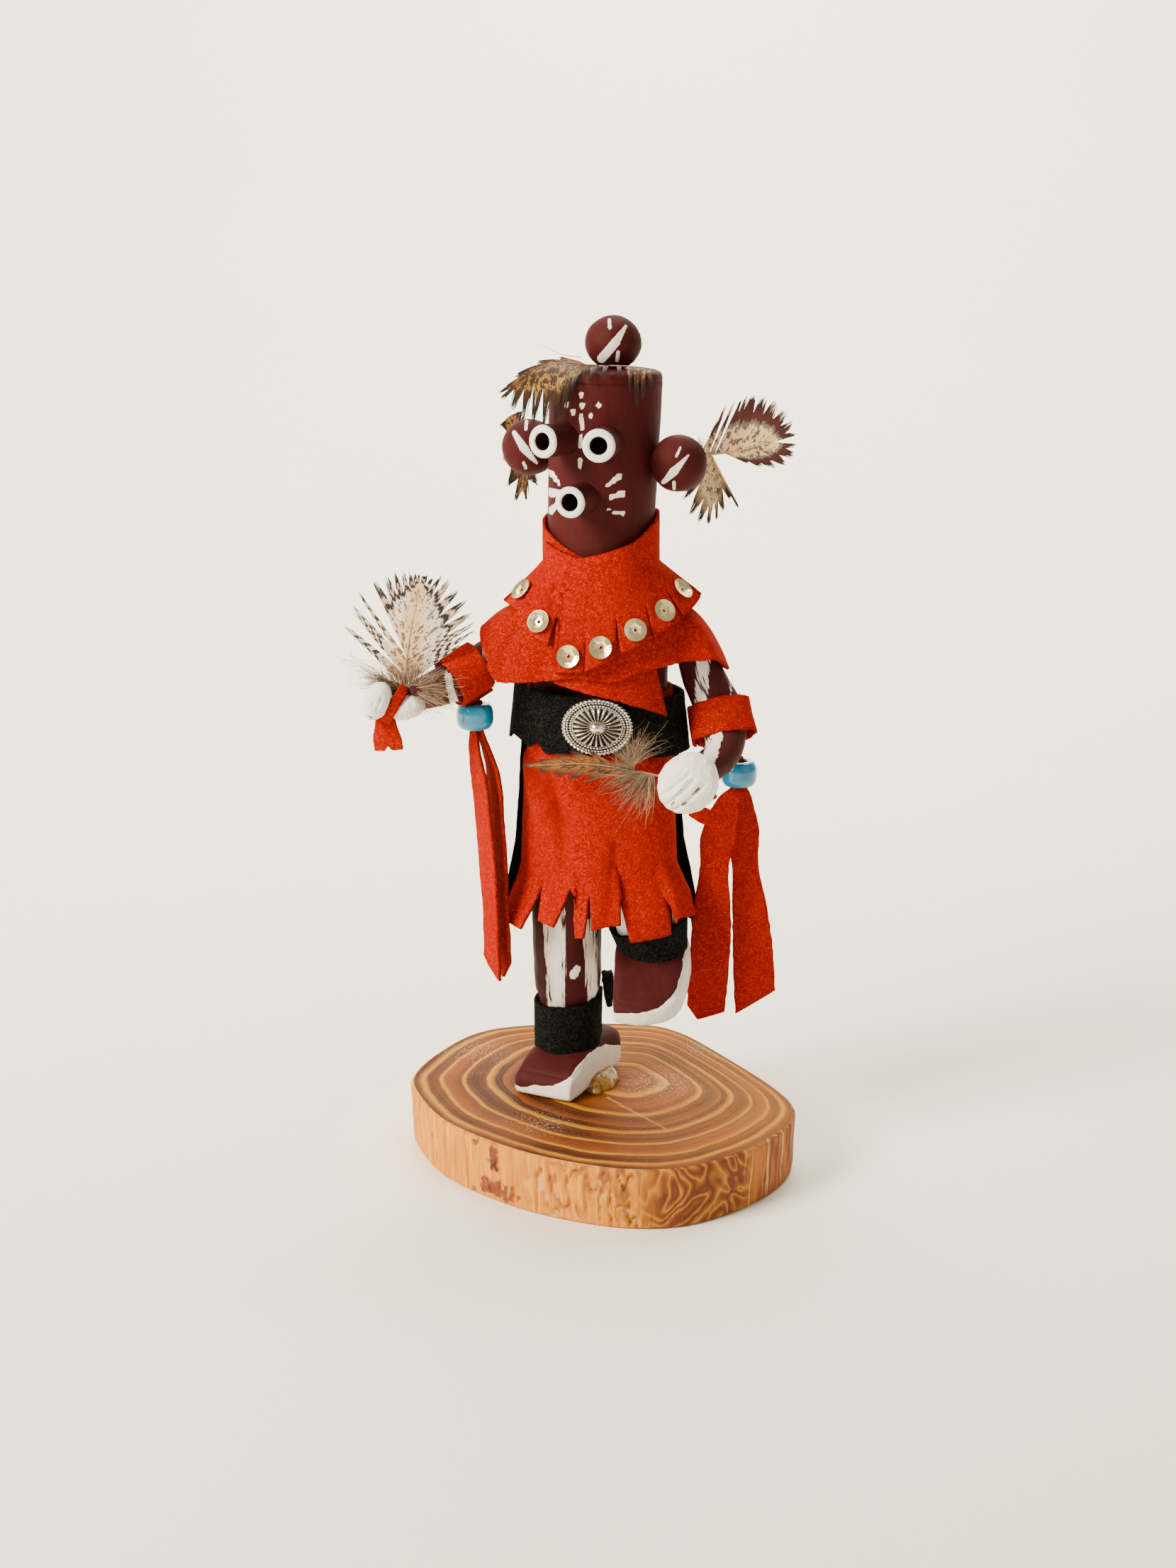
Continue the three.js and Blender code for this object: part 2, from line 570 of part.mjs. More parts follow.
// A black flap that hangs behind the kilt from under the sash.
const FLAP = {
  waist: [19.1, 15.8], hem: [25.2, 21.4], top: 114,
  cuts: [110, 140, 165, 195, 222, 250], cutLength: 16,
};
const FLAP_HEM = [[84, 56], [92, 51.6], [110, 58], [140, 60], [180, 58], [220, 60], [250, 58], [272, 55]];
const FLAP_FLARE = [[0, 0], [0.16, 0.1], [0.3, 0.16], [0.5, 0.3], [0.75, 0.75], [1, 1]];
place(doll, "back_flap", garment({
  middle: KILT.middle,
  bearings: [88, 270],
  top: (b) => [ellipseOut(...FLAP.waist, b), FLAP.top],
  hem: (b) => [ellipseOut(...FLAP.hem, b), between(FLAP_HEM, b)],
  shape: (v) => [between(FLAP_FLARE, v), v],
  cuts: FLAP.cuts,
  cutLength: FLAP.cutLength,
  step: 12,
}), MATERIALS.blackSuede);

// The lower cape: its inner end hangs to a point in front, and its outer end lies over one arm.
const CAPE = { start: -33, end: 424, top: 146.4 };
const CAPE_HEM = [ // bearing, height of the hem, and how far out it is
  [-33, 119.8, 19.8], [0, 125, 18], [40, 130, 20.4], [61.5, 128.8, 28.6], [64, 133, 30.7],
  [69, 136.8, 31.4],
  [74, 139.2, 31], [80, 140.4, 30.2], [90, 140, 29.4], [105, 137.4, 27], [150, 131, 20.5], [180, 129, 18.5],
  [210, 131, 20], [240, 133, 24], [262, 130, 29.6], [272, 129.4, 32], [291, 134, 30], [300, 133.6, 22.4],
  [328, 132.6, 18.9], [353, 129.6, 17.6], [378, 131.2, 19], [400, 129.8, 20.6],
  [421.5, 128.8, 28.6], [424, 133, 30.7],
];
const capeHem = (column) => (b) => between(CAPE_HEM.map((row) => [row[0], row[column]]), b);
const capeLift = (b) => LAP * ease(b, 270, 325);
const capeTop = (b) => 12.6 + 3.6 * Math.abs(Math.sin(rad(b)));
place(doll, "cape_lower", garment({
  middle: vec(NECK.x, NECK.y, 0),
  bearings: [CAPE.start, CAPE.end],
  top: (b) => [capeTop(b) + capeLift(b), CAPE.top],
  hem: (b) => [capeHem(2)(b) + capeLift(b), capeHem(1)(b)],
  shape: (v, b) => {
    const side = Math.sin(rad(b)) ** 2;
    return [v ** lerp(0.75, 0.6, side), v ** lerp(1.3, 1.45, side)];
  },
  slant: (b) => -21 * (1 - ease(b, -33, 40)),
  step: 11,
  rows: 5,
}), MATERIALS.redSuede);

// The collar: wound round the neck into a V, its hem cut into tabs.
const COLLAR = {
  start: -15, end: 422, neck: 13.9, shoulder: 157,
  cuts: [57, 85, 110, 135, 160, 185, 210, 240, 275, 302, 325, 349, 371, 394], cutLength: 9,
};
const COLLAR_TOP = [
  [-15, 158.4], [20, 160.2], [60, 164.8], [90, 167.3], [135, 169.6], [270, 169.8], [300, 167.6],
  [330, 163.6], [360, 161.2], [380, 160], [400, 161.4], [422, 163],
];
const COLLAR_HEM = [ // bearing, height of the hem, and how far out it is
  [-15, 152, 15.6], [30, 152, 16.4], [45, 149, 18], [58, 145.6, 22], [72, 146.6, 23.2], [87, 147, 23.8],
  [135, 142, 22], [180, 139, 19.8], [225, 142, 21], [272, 148.5, 24.8], [299, 145.3, 22.4],
  [324, 140.9, 21], [348, 137.3, 20.2], [371, 132.8, 20],
  [392, 132.4, 21.2], [394, 138.6, 21.4], [415, 142.4, 22.7], [422, 144.6, 23.4],
];
const collarHem = (column) => (b) => between(COLLAR_HEM.map((row) => [row[0], row[column]]), b);
const collarLift = (b) => LAP * ease(b, 270, 340);
const collarFace = {
  middle: vec(NECK.x, NECK.y, 0),
  top: (b) => [COLLAR.neck + collarLift(b), between(COLLAR_TOP, b)],
  hem: (b) => [collarHem(2)(b) + collarLift(b), collarHem(1)(b)],
  shape: (v, b) => {
    const long = between(COLLAR_TOP, b) - collarHem(1)(b);
    const neck = (between(COLLAR_TOP, b) - COLLAR.shoulder) / long;
    return [Math.max(0, (v - neck) / (1 - neck)), v];
  },
};
const collarSurface = faceOf(collarFace);
place(doll, "collar", garment({
  ...collarFace,
  bearings: [COLLAR.start, COLLAR.end],
  cuts: COLLAR.cuts,
  cutLength: COLLAR.cutLength,
}), MATERIALS.redSuede);

// ---- Things fixed to the garments ----

// The point and outward direction on a garment at a bearing, `up` millimetres above its hem.
function onGarment(surface, bearing, up, out) {
  const long = surface(bearing, 0).distanceTo(surface(bearing, 1));
  const v = 1 - up / long;
  const point = surface(bearing, v);
  const right = surface(bearing + 0.5, v);
  const below = surface(bearing, v + 0.01);
  const normal = right.sub(point).cross(below.sub(point)).normalize();
  return { point: point.addScaledVector(normal, out), normal };
}

// A lathe shape whose profile closes on itself, so a hole runs through it.
const ring = (profile, sides) => lathe([...profile, profile[0]], sides);

// A shape whose axis is +Y, moved so the axis points along `normal` from `point`.
function aim(geometry, point, normal) {
  const turned = new THREE.Quaternion().setFromUnitVectors(vec(0, 1, 0), normal);
  return geometry.applyQuaternion(turned).translate(point.x, point.y, point.z);
}

// tab by tab round the collar
const SEQUIN_BEARINGS = [71, 109, 148, 198, 226, 288, 313.5, 337, 360, 382, 404];
SEQUIN_BEARINGS.forEach((bearing, i) => {
  const { radius, thick, dish } = SEQUIN;
  const profile = [[0.5, 0], [radius, dish], [radius, thick + dish], [0.5, thick]];
  const { point, normal } = onGarment(collarSurface, bearing, 3.9, SUEDE + 0.5);
  const name = `sequin_${String(i + 1).padStart(2, "0")}`;
  place(doll, name, aim(ring(profile, 10), point, normal), MATERIALS.gold);
});

// A stamped oval concho on the front of the sash.
const CONCHO = { halfWidth: 8.8, halfHeight: 7.1, z: 118, turn: -4 };
function concho() {
  const rise = [
    [0, 0], [1, 0], [1, 0.7], [0.93, 1.2], [0.8, 0.8],
    [0.74, 0.8], [0.6, 1.3], [0.34, 1], [0.26, 1.7], [0, 2.1],
  ];
  const profile = rise.map(([r, z]) => [r * CONCHO.halfWidth, z]);
  const squash = CONCHO.halfHeight / CONCHO.halfWidth;
  return lathe(profile, 24).rotateX(Math.PI).scale(1, 1, squash).rotateY(rad(CONCHO.turn));
}
const conchoFront = KILT.middle.y - SASH.front[1] - SUEDE - 0.5;
place(doll, "concho", concho().translate(-0.4, conchoFront, CONCHO.z), MATERIALS.silver);

// ---- Beads and ribbons under the elbows ----

function bead(x, y, z) {
  const { radius, height, hole } = BEAD;
  const half = height / 2;
  return ring([
    [hole, -half + 0.6], [hole + 0.8, -half], [radius - 0.8, -half * 0.7], [radius, 0],
    [radius - 0.8, half * 0.7], [hole + 0.8, half], [hole, half - 0.6],
  ], 16).rotateX(Math.PI / 2).translate(x, y, z);
}
const LEFT_BEAD = vec(-31.2, -4, 118.9);
const RIGHT_BEAD = vec(36.1, 4, 102);
place(doll, "bead_left", bead(...LEFT_BEAD), MATERIALS.turquoise);
place(doll, "bead_right", bead(...RIGHT_BEAD), MATERIALS.turquoise);

// A strip of suede along a line; `tip` is the share of the line its end reaches, across its width.
function ribbon({ line, widths, across, tip, thickness = SUEDE }) {
  const path = new THREE.CatmullRomCurve3(line);
  const side = across.clone().normalize();
  const surface = (u, v) => {
    const wide = along(widths, Math.min(Math.max(v, 0), 1) * (widths.length - 1));
    return path.getPoint(Math.min(Math.max(v, 0.001), 0.999)).addScaledVector(side, (u - 0.5) * wide);
  };
  return sheet(surface, { columns: [0, 0.3, 0.65, 1], rows: 9, hem: (u) => between(tip, u), thickness });
}

// Through the hole, then down: `shift` is where the strip lies in the hole, `path` the points below.
function hanging(beadAt, shift, path, across, tip) {
  const heights = [BEAD.height / 2 + 0.8, 0, -BEAD.height / 2 - 0.6];
  const neck = heights.map((z) => beadAt.clone().add(shift).add(vec(0, 0, z)));
  const widths = [2.2, 2.2, 2.4, ...path.map((_, i) => (i === 0 ? 8 : RIBBON_WIDTH))];
  return ribbon({ line: [...neck, ...path], widths, across, tip });
}
const RIBBONS = {
  ribbon_left_outer: hanging(LEFT_BEAD, vec(-0.55, 0, 0),
    [vec(-32, -4, 107), vec(-30.4, -4.4, 91), vec(-29, -4.6, 74), vec(-28.4, -4.8, 50)],
    vec(0.36, -1, 0), [[0, 0.94], [1, 1]]),
  ribbon_left_inner: hanging(LEFT_BEAD, vec(0.55, 0, 0),
    [vec(-29.2, -3, 107), vec(-26.4, -3, 91), vec(-25, -3, 74), vec(-24.4, -2.8, 49)],
    vec(0.36, -1, 0), [[0, 0.97], [0.5, 1], [1, 0.93]]),
  ribbon_right_inner: hanging(RIGHT_BEAD, vec(0, -0.55, 0),
    [vec(33.6, 2, 92), vec(30.4, 1.4, 78), vec(29.5, 0.8, 58), vec(28, -0.2, 36)],
    vec(1, -0.1, -0.08), [[0, 0.95], [0.3, 1], [1, 0.96]]),
  ribbon_right_outer: hanging(RIGHT_BEAD, vec(0, 0.55, 0),
    [vec(37.6, 4.6, 92), vec(39, 5.2, 78), vec(40.9, 4.8, 58), vec(41.8, 2.8, 37)],
    vec(1, 0.2, 0), [[0, 1], [1, 0.92]]),
};
for (const [name, shape] of Object.entries(RIBBONS)) place(doll, name, shape, MATERIALS.redSuede);

// The knotted ends of the ties round the hands.
const TIE_TIP = [[0, 1], [0.35, 0.84], [0.65, 1], [1, 0.94]];
place(doll, "hand_tie_left", ribbon({
  line: [vec(-53.4, -13.4, 119.4), vec(-53.2, -12.8, 116), vec(-53, -12.4, 112)],
  widths: [3.6, 5.4, 5.8], across: vec(1, -0.2, 0), tip: TIE_TIP,
}), MATERIALS.redSuede);
place(doll, "hand_tie_right", ribbon({
  line: [vec(23, -14, 96.4), vec(26, -13, 95.2), vec(29.4, -12, 93.4)],
  widths: [2.4, 4, 3.4], across: vec(0.4, -0.2, 1), tip: TIE_TIP,
}), MATERIALS.redSuede);

// ---- Feathers ----

// A feather spread like a fan from one point: barbs of the given lengths between two angles, measured from
// +X up to +Z.
function fan({ from, angles, lengths, lean, notches }) {
  const [start, end] = angles;
  const root = 2.4;
  const surface = (u, v) => {
    const angle = rad(lerp(start, end, u));
    const out = lerp(root, along(lengths, Math.min(Math.max(u, 0), 1) * (lengths.length - 1)), v);
    return from.clone().add(vec(Math.cos(angle) * out, lean * out * out, Math.sin(angle) * out));
  };
  const cuts = Array.from({ length: notches }, (_, i) => (i + 1) / (notches + 1));
  const hem = (u) => (cuts.some((c) => Math.abs(c - u) < 0.004) ? 0.74 : 1);
  return sheet(surface, { columns: columnsWithCuts(10, cuts, 0.012), rows: 3, hem, thickness: VANE });
}

// A feather bent over an edge: three lines run side by side from its root to its tip.
function drape(...lines) {
  const curves = lines.map((points) => new THREE.CatmullRomCurve3(points));
  const clamp = (x) => Math.min(Math.max(x, 0), 1);
  const surface = (u, v) =>
    new THREE.CatmullRomCurve3(curves.map((curve) => curve.getPoint(clamp(u)))).getPoint(clamp(v));
  return sheet(surface, { columns: evenly(8), rows: 4, thickness: VANE });
}

place(doll, "feather_fan", fan({
  from: vec(-48.4, -11.4, 127.8), angles: [134, 36],
  lengths: [20, 24.4, 26.5, 27.8, 27.5, 27.5, 23.5, 19.5], lean: 0.003, notches: 6,
}), MATERIALS.feather);
place(doll, "feather_ear_right_up", fan({
  from: vec(25.6, 5.5, 183.2), angles: [78, -8],
  lengths: [14.5, 17.6, 21.6, 23, 23, 22.4], lean: -0.003, notches: 4,
}), MATERIALS.feather);
place(doll, "feather_ear_right_down", fan({
  from: vec(26.2, 6.2, 183), angles: [-57, -124],
  lengths: [15, 15.5, 16.6, 17, 11], lean: 0.003, notches: 3,
}), MATERIALS.feather);
place(doll, "feather_ear_left", drape(
  [vec(-24, 17.6, 191), vec(-22.4, 18, 184), vec(-21, 18, 176), vec(-19.6, 17.6, 170.6)],
  [vec(-23.6, 17.6, 191.6), vec(-18.6, 18.4, 184), vec(-17.6, 18.2, 176), vec(-18.8, 17.6, 170.6)],
  [vec(-23.2, 17.6, 192), vec(-15.2, 18.2, 185), vec(-14.4, 18, 177), vec(-17.6, 17.6, 171)],
), MATERIALS.feather);
place(doll, "feather_head_left", drape(
  [vec(-3.4, -1.6, 206.2), vec(-9, -3.4, 206.6), vec(-15.6, -5, 205.6), vec(-22.6, -6, 200.4)],
  [vec(-4.4, -6, 206.2), vec(-10, -9.6, 204.6), vec(-16.6, -9.6, 201.4), vec(-22.2, -8, 198)],
  [vec(-5.6, -12.4, 203.6), vec(-10.4, -11.4, 195.6), vec(-16.4, -10, 192.8), vec(-20.8, -8.6, 195.6)],
), MATERIALS.feather);
place(doll, "feather_head_right", drape(
  [vec(-1.6, -5.6, 206.4), vec(4, -6.4, 206.4), vec(9, -6, 206), vec(14, -4.4, 205.2)],
  [vec(-2, -10.6, 206), vec(4, -11.6, 205.6), vec(9.6, -9.8, 204.8), vec(14.4, -6.8, 203.4)],
  [vec(-2.2, -12.8, 203), vec(4, -13, 203.8), vec(9.8, -11.2, 199.6), vec(13.8, -8.4, 201.6)],
), MATERIALS.feather);
place(doll, "feather_hand_right", drape(
  [vec(14.4, -17.4, 108.6), vec(8, -17.8, 112.6), vec(-3, -18.4, 113), vec(-16, -17.6, 109.8)],
  [vec(14, -18, 107), vec(7, -18.6, 108.2), vec(-4, -19, 109.6), vec(-16.4, -17.6, 109.2)],
  [vec(13.6, -18.2, 105), vec(7, -18.4, 103.6), vec(-5, -18.6, 105.8), vec(-15.8, -17.6, 108.6)],
), MATERIALS.feather);

export default doll;
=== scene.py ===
"""Dresses a small dancing kachina doll of painted wood, suede and feathers on a slice of log.

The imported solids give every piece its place. Each sub-assembly is a class that builds its own
meshes and dresses them. Sizes are in millimetres until a mesh is made, +Z is up, and the doll
looks towards -Y.
"""

from __future__ import annotations

import logging
import math
from dataclasses import dataclass, field
from enum import Enum
from typing import Callable, Sequence

import bpy
import numpy as np
from mathutils import Matrix, Vector


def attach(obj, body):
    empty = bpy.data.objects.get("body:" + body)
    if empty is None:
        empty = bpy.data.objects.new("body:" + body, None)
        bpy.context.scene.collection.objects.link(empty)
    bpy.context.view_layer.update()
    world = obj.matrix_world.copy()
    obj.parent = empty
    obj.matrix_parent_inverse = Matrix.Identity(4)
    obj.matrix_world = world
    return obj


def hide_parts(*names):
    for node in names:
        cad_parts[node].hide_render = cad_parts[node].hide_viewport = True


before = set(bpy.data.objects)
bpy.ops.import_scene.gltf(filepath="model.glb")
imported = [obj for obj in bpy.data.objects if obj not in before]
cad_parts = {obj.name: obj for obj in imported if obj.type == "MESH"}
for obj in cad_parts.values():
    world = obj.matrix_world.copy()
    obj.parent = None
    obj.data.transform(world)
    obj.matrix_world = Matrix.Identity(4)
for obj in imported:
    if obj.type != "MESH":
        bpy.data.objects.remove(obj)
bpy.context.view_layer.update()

log = logging.getLogger("kachina_doll")

MM = 0.001
ROOT = "root"
SUEDE_THICK = 0.8
LAP = 1.1  # from one layer of suede to the next
SPAN_STEPS = 24  # points between two given points of a smooth line
BARB_POINTS = 13
SHAFT_POINTS = 40
BONE_POINTS = 200
ANKLE_CUFF_CUT = (56.0, 16.0)

Points = np.ndarray
Faces = list[tuple[int, ...]]
Pairs = Sequence[tuple[float, float]]


# ---- Small maths ----


def ease(x: Points | float, low: float, high: float) -> Points:
    """Gives 0 below low, 1 above high and a smooth step between.

    Args:
        x: The values to step.
        low: Where the step starts.
        high: Where the step ends.

    Returns:
        The stepped values.
    """
    t = np.clip((np.asarray(x, dtype=float) - low) / (high - low), 0.0, 1.0)
    return t * t * (3.0 - 2.0 * t)


def between(pairs: Pairs, x: Points | float) -> Points:
    """Reads a value off (position, value) pairs by straight lines."""
    table = np.asarray(pairs, dtype=float)
    return np.interp(x, table[:, 0], table[:, 1])


def unit(vectors: Points) -> Points:
    """Scales each vector of an array to length 1."""
    length = np.linalg.norm(vectors, axis=-1, keepdims=True)
    return vectors / np.maximum(length, 1e-9)


def smooth_line(points: Sequence[Sequence[float]], count: int, closed: bool = False) -> Points:
    """Runs a smooth line through a few points.

    Args:
        points: The points that the line passes through.
        count: How many points to return, evenly spaced along the line.
        closed: Whether the line comes back to its start, which is then also its last point.

    Returns:
        An array of count points.
    """
    given = np.asarray(points, dtype=float)
    if closed:
        given = np.vstack([given, given[:1]])
        padded = np.vstack([given[-2:-1], given, given[1:2]])
    else:
        padded = np.vstack([2 * given[0] - given[1], given, 2 * given[-1] - given[-2]])
    fine = []
    for i in range(len(given) - 1):
        a, b, c, d = padded[i : i + 4]
        t = np.linspace(0.0, 1.0, SPAN_STEPS, endpoint=False)[:, None]
        fine.append(
            0.5 * (2 * b + (c - a) * t + (2 * a - 5 * b + 4 * c - d) * t**2 + (3 * b - a - 3 * c + d) * t**3)
        )
    line = np.vstack([*fine, given[-1:]])
    steps = np.linalg.norm(np.diff(line, axis=0), axis=1)
    run = np.concatenate([[0.0], np.cumsum(steps)])
    places = np.linspace(0.0, run[-1], count)
    return np.stack([np.interp(places, run, line[:, k]) for k in range(line.shape[1])], axis=1)


class Noise:
    """Smooth noise over space, the same on every run."""

    def __init__(self, seed: int) -> None:
        """Draws the noise's gradients from a seed.

        Args:
            seed: Makes the noise its own.
        """
        rng = np.random.default_rng(seed)
        self.order = np.concatenate([rng.permutation(256)] * 3)
        self.slopes = unit(rng.normal(size=(256, 3)))

    def at(self, points: Points, size: float, octaves: int = 1) -> Points:
        """Reads the noise at points.

        Args:
            points: The places, N by 3.
            size: The width of one bump, in the points' own unit.
            octaves: How many layers, each half as wide and half as strong as the last.

        Returns:
            One value a point, from about -1 to 1.
        """
        total = np.zeros(len(points))
        for k in range(octaves):
            total += self._layer(points / (size / 2**k)) / 2**k
        return total

    def _layer(self, p: Points) -> Points:
        """Reads one layer of noise whose bumps are 1 wide.

        Args:
            p: The places, in bump widths.

        Returns:
            One value a point, from about -1 to 1.
        """
        cell = np.floor(p).astype(int)
        inside = p - cell
        fade = inside**3 * (inside * (inside * 6 - 15) + 10)
        total = np.zeros(len(p))
        for corner in np.ndindex(2, 2, 2):
            at = cell + corner
            key = self.order[(self.order[(self.order[at[:, 0] & 255] + at[:, 1]) & 255] + at[:, 2]) & 255]
            slope = np.einsum("ij,ij->i", self.slopes[key], inside - corner)
            weight = np.prod(np.where(np.asarray(corner) == 1, fade, 1 - fade), axis=1)
            total += slope * weight
        return total * 1.6


# ---- Meshes ----


@dataclass
class Shape:
    """A mesh in the making: points in millimetres, faces, and named values at the points."""

    points: Points
    faces: Faces
    fields: dict[str, Points] = field(default_factory=dict)
    looks: list[int] = field(default_factory=list)

    def with_field(self, name: str, values: Points | float) -> Shape:
        """Adds a named value at each point and gives the shape back."""
        self.fields[name] = np.broadcast_to(np.asarray(values, dtype=float), (len(self.points),)).copy()
        return self

    def plus(self, other: Shape, look: int | None = None) -> Shape:
        """Joins another shape to this one.

        Args:
            other: The shape to add.
            look: The number of the added faces' material; their own numbers if left out.

        Returns:
            The joined shape.
        """
        names = set(self.fields) | set(other.fields)
        fields = {
            name: np.concatenate([
                self.fields.get(name, np.zeros(len(self.points))),
                other.fields.get(name, np.zeros(len(other.points))),
            ])
            for name in names
        }
        shift = len(self.points)
        faces = self.faces + [tuple(i + shift for i in f) for f in other.faces]
        own = self.looks or [0] * len(self.faces)
        added = (other.looks or [0] * len(other.faces)) if look is None else [look] * len(other.faces)
        return Shape(np.vstack([self.points, other.points]), faces, fields, own + added)

    def normals(self) -> Points:
        """Gives the outward direction at each point.

        Returns:
            One unit vector a point.
        """
        normal = np.zeros_like(self.points)
        for size in {len(f) for f in self.faces}:
            index = np.array([f for f in self.faces if len(f) == size])
            a, b, c = self.points[index[:, 0]], self.points[index[:, 1]], self.points[index[:, -1]]
            face = np.cross(b - a, c - a)
            for k in range(size):
                np.add.at(normal, index[:, k], face)
        return unit(normal)

    def pushed(self, amount: Points) -> Shape:
        """Moves each point along its outward direction, in place."""
        self.points = self.points + self.normals() * np.asarray(amount)[:, None]
        return self

    def placed(self, turn: Matrix) -> Shape:
        """Moves the whole shape by a matrix whose shift is in millimetres, in place.

        Args:
            turn: The matrix to move it by.

        Returns:
            The shape itself.
        """
        spin = np.array(turn.to_3x3())
        self.points = self.points @ spin.T + np.array(turn.translation)
        return self

    def mesh(self, name: str) -> bpy.types.Mesh:
        """Makes the Blender mesh, in metres.

        Args:
            name: The mesh's name.

        Returns:
            The mesh, with the shape's fields as attributes.
        """
        mesh = bpy.data.meshes.new(name)
        mesh.from_pydata((self.points * MM).tolist(), [], self.faces)
        for key, values in self.fields.items():
            attribute = mesh.attributes.new(key, "FLOAT", "POINT")
            attribute.data.foreach_set("value", values.astype(np.float32))
        if self.looks:
            mesh.polygons.foreach_set("material_index", self.looks)
        mesh.polygons.foreach_set("use_smooth", [True] * len(mesh.polygons))
        mesh.update()
        return mesh


def grid(rows: int, columns: int, wrap: bool = False) -> Faces:
    """Lays quads over points that run row by row.

    Args:
        rows: How many rows of points.
        columns: How many points in a row.
        wrap: Whether the last column joins the first.

    Returns:
        The faces.
    """
    across = columns if wrap else columns - 1
    return [
        (
            r * columns + c, r * columns + (c + 1) % columns,
            (r + 1) * columns + (c + 1) % columns, (r + 1) * columns + c,
        )
        for r in range(rows - 1)
        for c in range(across)
    ]


def lathe(profile: Sequence[tuple[float, float]], sides: int) -> Shape:
    """Turns a profile of (radius, height) about +Z.

    Args:
        profile: From the bottom to the top of the outer face. A radius of 0 closes that end.
        sides: How many points round.

    Returns:
        The turned shape.
    """
    turn = np.linspace(0.0, 2 * math.pi, sides, endpoint=False)
    table = np.asarray(profile, dtype=float)
    radius, height = np.maximum(table[:, :1], 1e-4), table[:, 1:]
    points = np.stack([radius * np.cos(turn), radius * np.sin(turn), height + 0 * turn], axis=2)
    return Shape(points.reshape(-1, 3), grid(len(table), sides, wrap=True))


def rounded(profile: Sequence[tuple[float, float]], rounds: int = 2) -> list[tuple[float, float]]:
    """Cuts the corners of a profile a few times, keeping its two ends.

    Args:
        profile: The profile's points.
        rounds: How many times its corners are cut.

    Returns:
        The rounded profile's points.
    """
    line = np.asarray(profile, dtype=float)
    for _ in range(rounds):
        a, b = line[:-1], line[1:]
        mid = np.stack([a * 0.75 + b * 0.25, a * 0.25 + b * 0.75], axis=1).reshape(-1, 2)
        line = np.vstack([line[:1], mid[1:-1], line[-1:]])
    return [tuple(p) for p in line]


def tube(line: Points, radii: Points, sides: int = 8) -> Shape:
    """Sweeps a round section along a line.

    Args:
        line: The points of the middle.
        radii: The radius at each point.
        sides: How many points round.

    Returns:
        The tube, closed by narrow ends, with fields "along" and "around" in millimetres.
    """
    tangent = unit(np.gradient(line, axis=0))
    side = np.array([1.0, 0.0, 0.0]) if abs(tangent[0][0]) < 0.9 else np.array([0.0, 1.0, 0.0])
    turn = np.linspace(0.0, 2 * math.pi, sides, endpoint=False)
    rings = []
    for centre, axis, radius in zip(line, tangent, radii):
        side = unit(side - axis * (side @ axis))
        up = np.cross(axis, side)
        rings.append(centre + radius * (np.cos(turn)[:, None] * side + np.sin(turn)[:, None] * up))
    points = np.array(rings).reshape(-1, 3)
    run = np.concatenate([[0.0], np.cumsum(np.linalg.norm(np.diff(line, axis=0), axis=1))])
    shape = Shape(points, grid(len(line), sides, wrap=True))
    shape.with_field("along", np.repeat(run, sides))
    return shape.with_field("around", (np.asarray(radii)[:, None] * turn[None, :]).ravel())


def carved_copy(node: str, voxel: float, rounds: int) -> Shape:
    """Copies a CAD solid as an even, softened mesh.

    Args:
        node: The CAD solid's name.
        voxel: The width of the new mesh's faces, in millimetres.
        rounds: How many times its corners are softened.

    Returns:
        The copy, in millimetres.
    """
    copy = bpy.data.objects.new("copy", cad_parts[node].data.copy())
    bpy.context.scene.collection.objects.link(copy)
    remesh = copy.modifiers.new("even", "REMESH")
    remesh.mode, remesh.voxel_size = "VOXEL", voxel * MM
    soften = copy.modifiers.new("soften", "SMOOTH")
    soften.factor, soften.iterations = 0.5, rounds
    made = copy.evaluated_get(bpy.context.evaluated_depsgraph_get()).to_mesh()
    points = np.empty(len(made.vertices) * 3)
    made.vertices.foreach_get("co", points)
    faces = [tuple(p.vertices) for p in made.polygons]
    data = copy.data
    bpy.data.objects.remove(copy)
    bpy.data.meshes.remove(data)
    return Shape(points.reshape(-1, 3) / MM, faces)


def add_piece(
    name: str, shape: Shape, finishes: Sequence[bpy.types.Material], nodes: Sequence[str] = ()
) -> bpy.types.Object:
    """Adds a finished piece that rides on the doll.

    Args:
        name: The piece's name.
        shape: Its mesh.
        finishes: Its materials, by number.
        nodes: The CAD solids that it stands for.

    Returns:
        The Blender object.
    """
    piece = bpy.data.objects.new(name, shape.mesh(name))
    bpy.context.scene.collection.objects.link(piece)
    for finish in finishes:
        piece.data.materials.append(finish)
    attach(piece, ROOT)
    if nodes:
        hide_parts(*nodes)
    return piece


# ---- Colours and node trees ----


def srgb(code: str) -> tuple[float, float, float, float]:
    """Turns a hex colour as seen on a screen into the linear one that shaders use.

    Args:
        code: The colour's six hex digits.

    Returns:
        Red, green, blue and full opacity, each from 0 to 1.
    """
    parts = [int(code[i : i + 2], 16) / 255 for i in (0, 2, 4)]
    red, green, blue = (c / 12.92 if c <= 0.04045 else ((c + 0.055) / 1.055) ** 2.4 for c in parts)
    return (red, green, blue, 1.0)


Socket = bpy.types.NodeSocket
Value = float | str | tuple | Socket


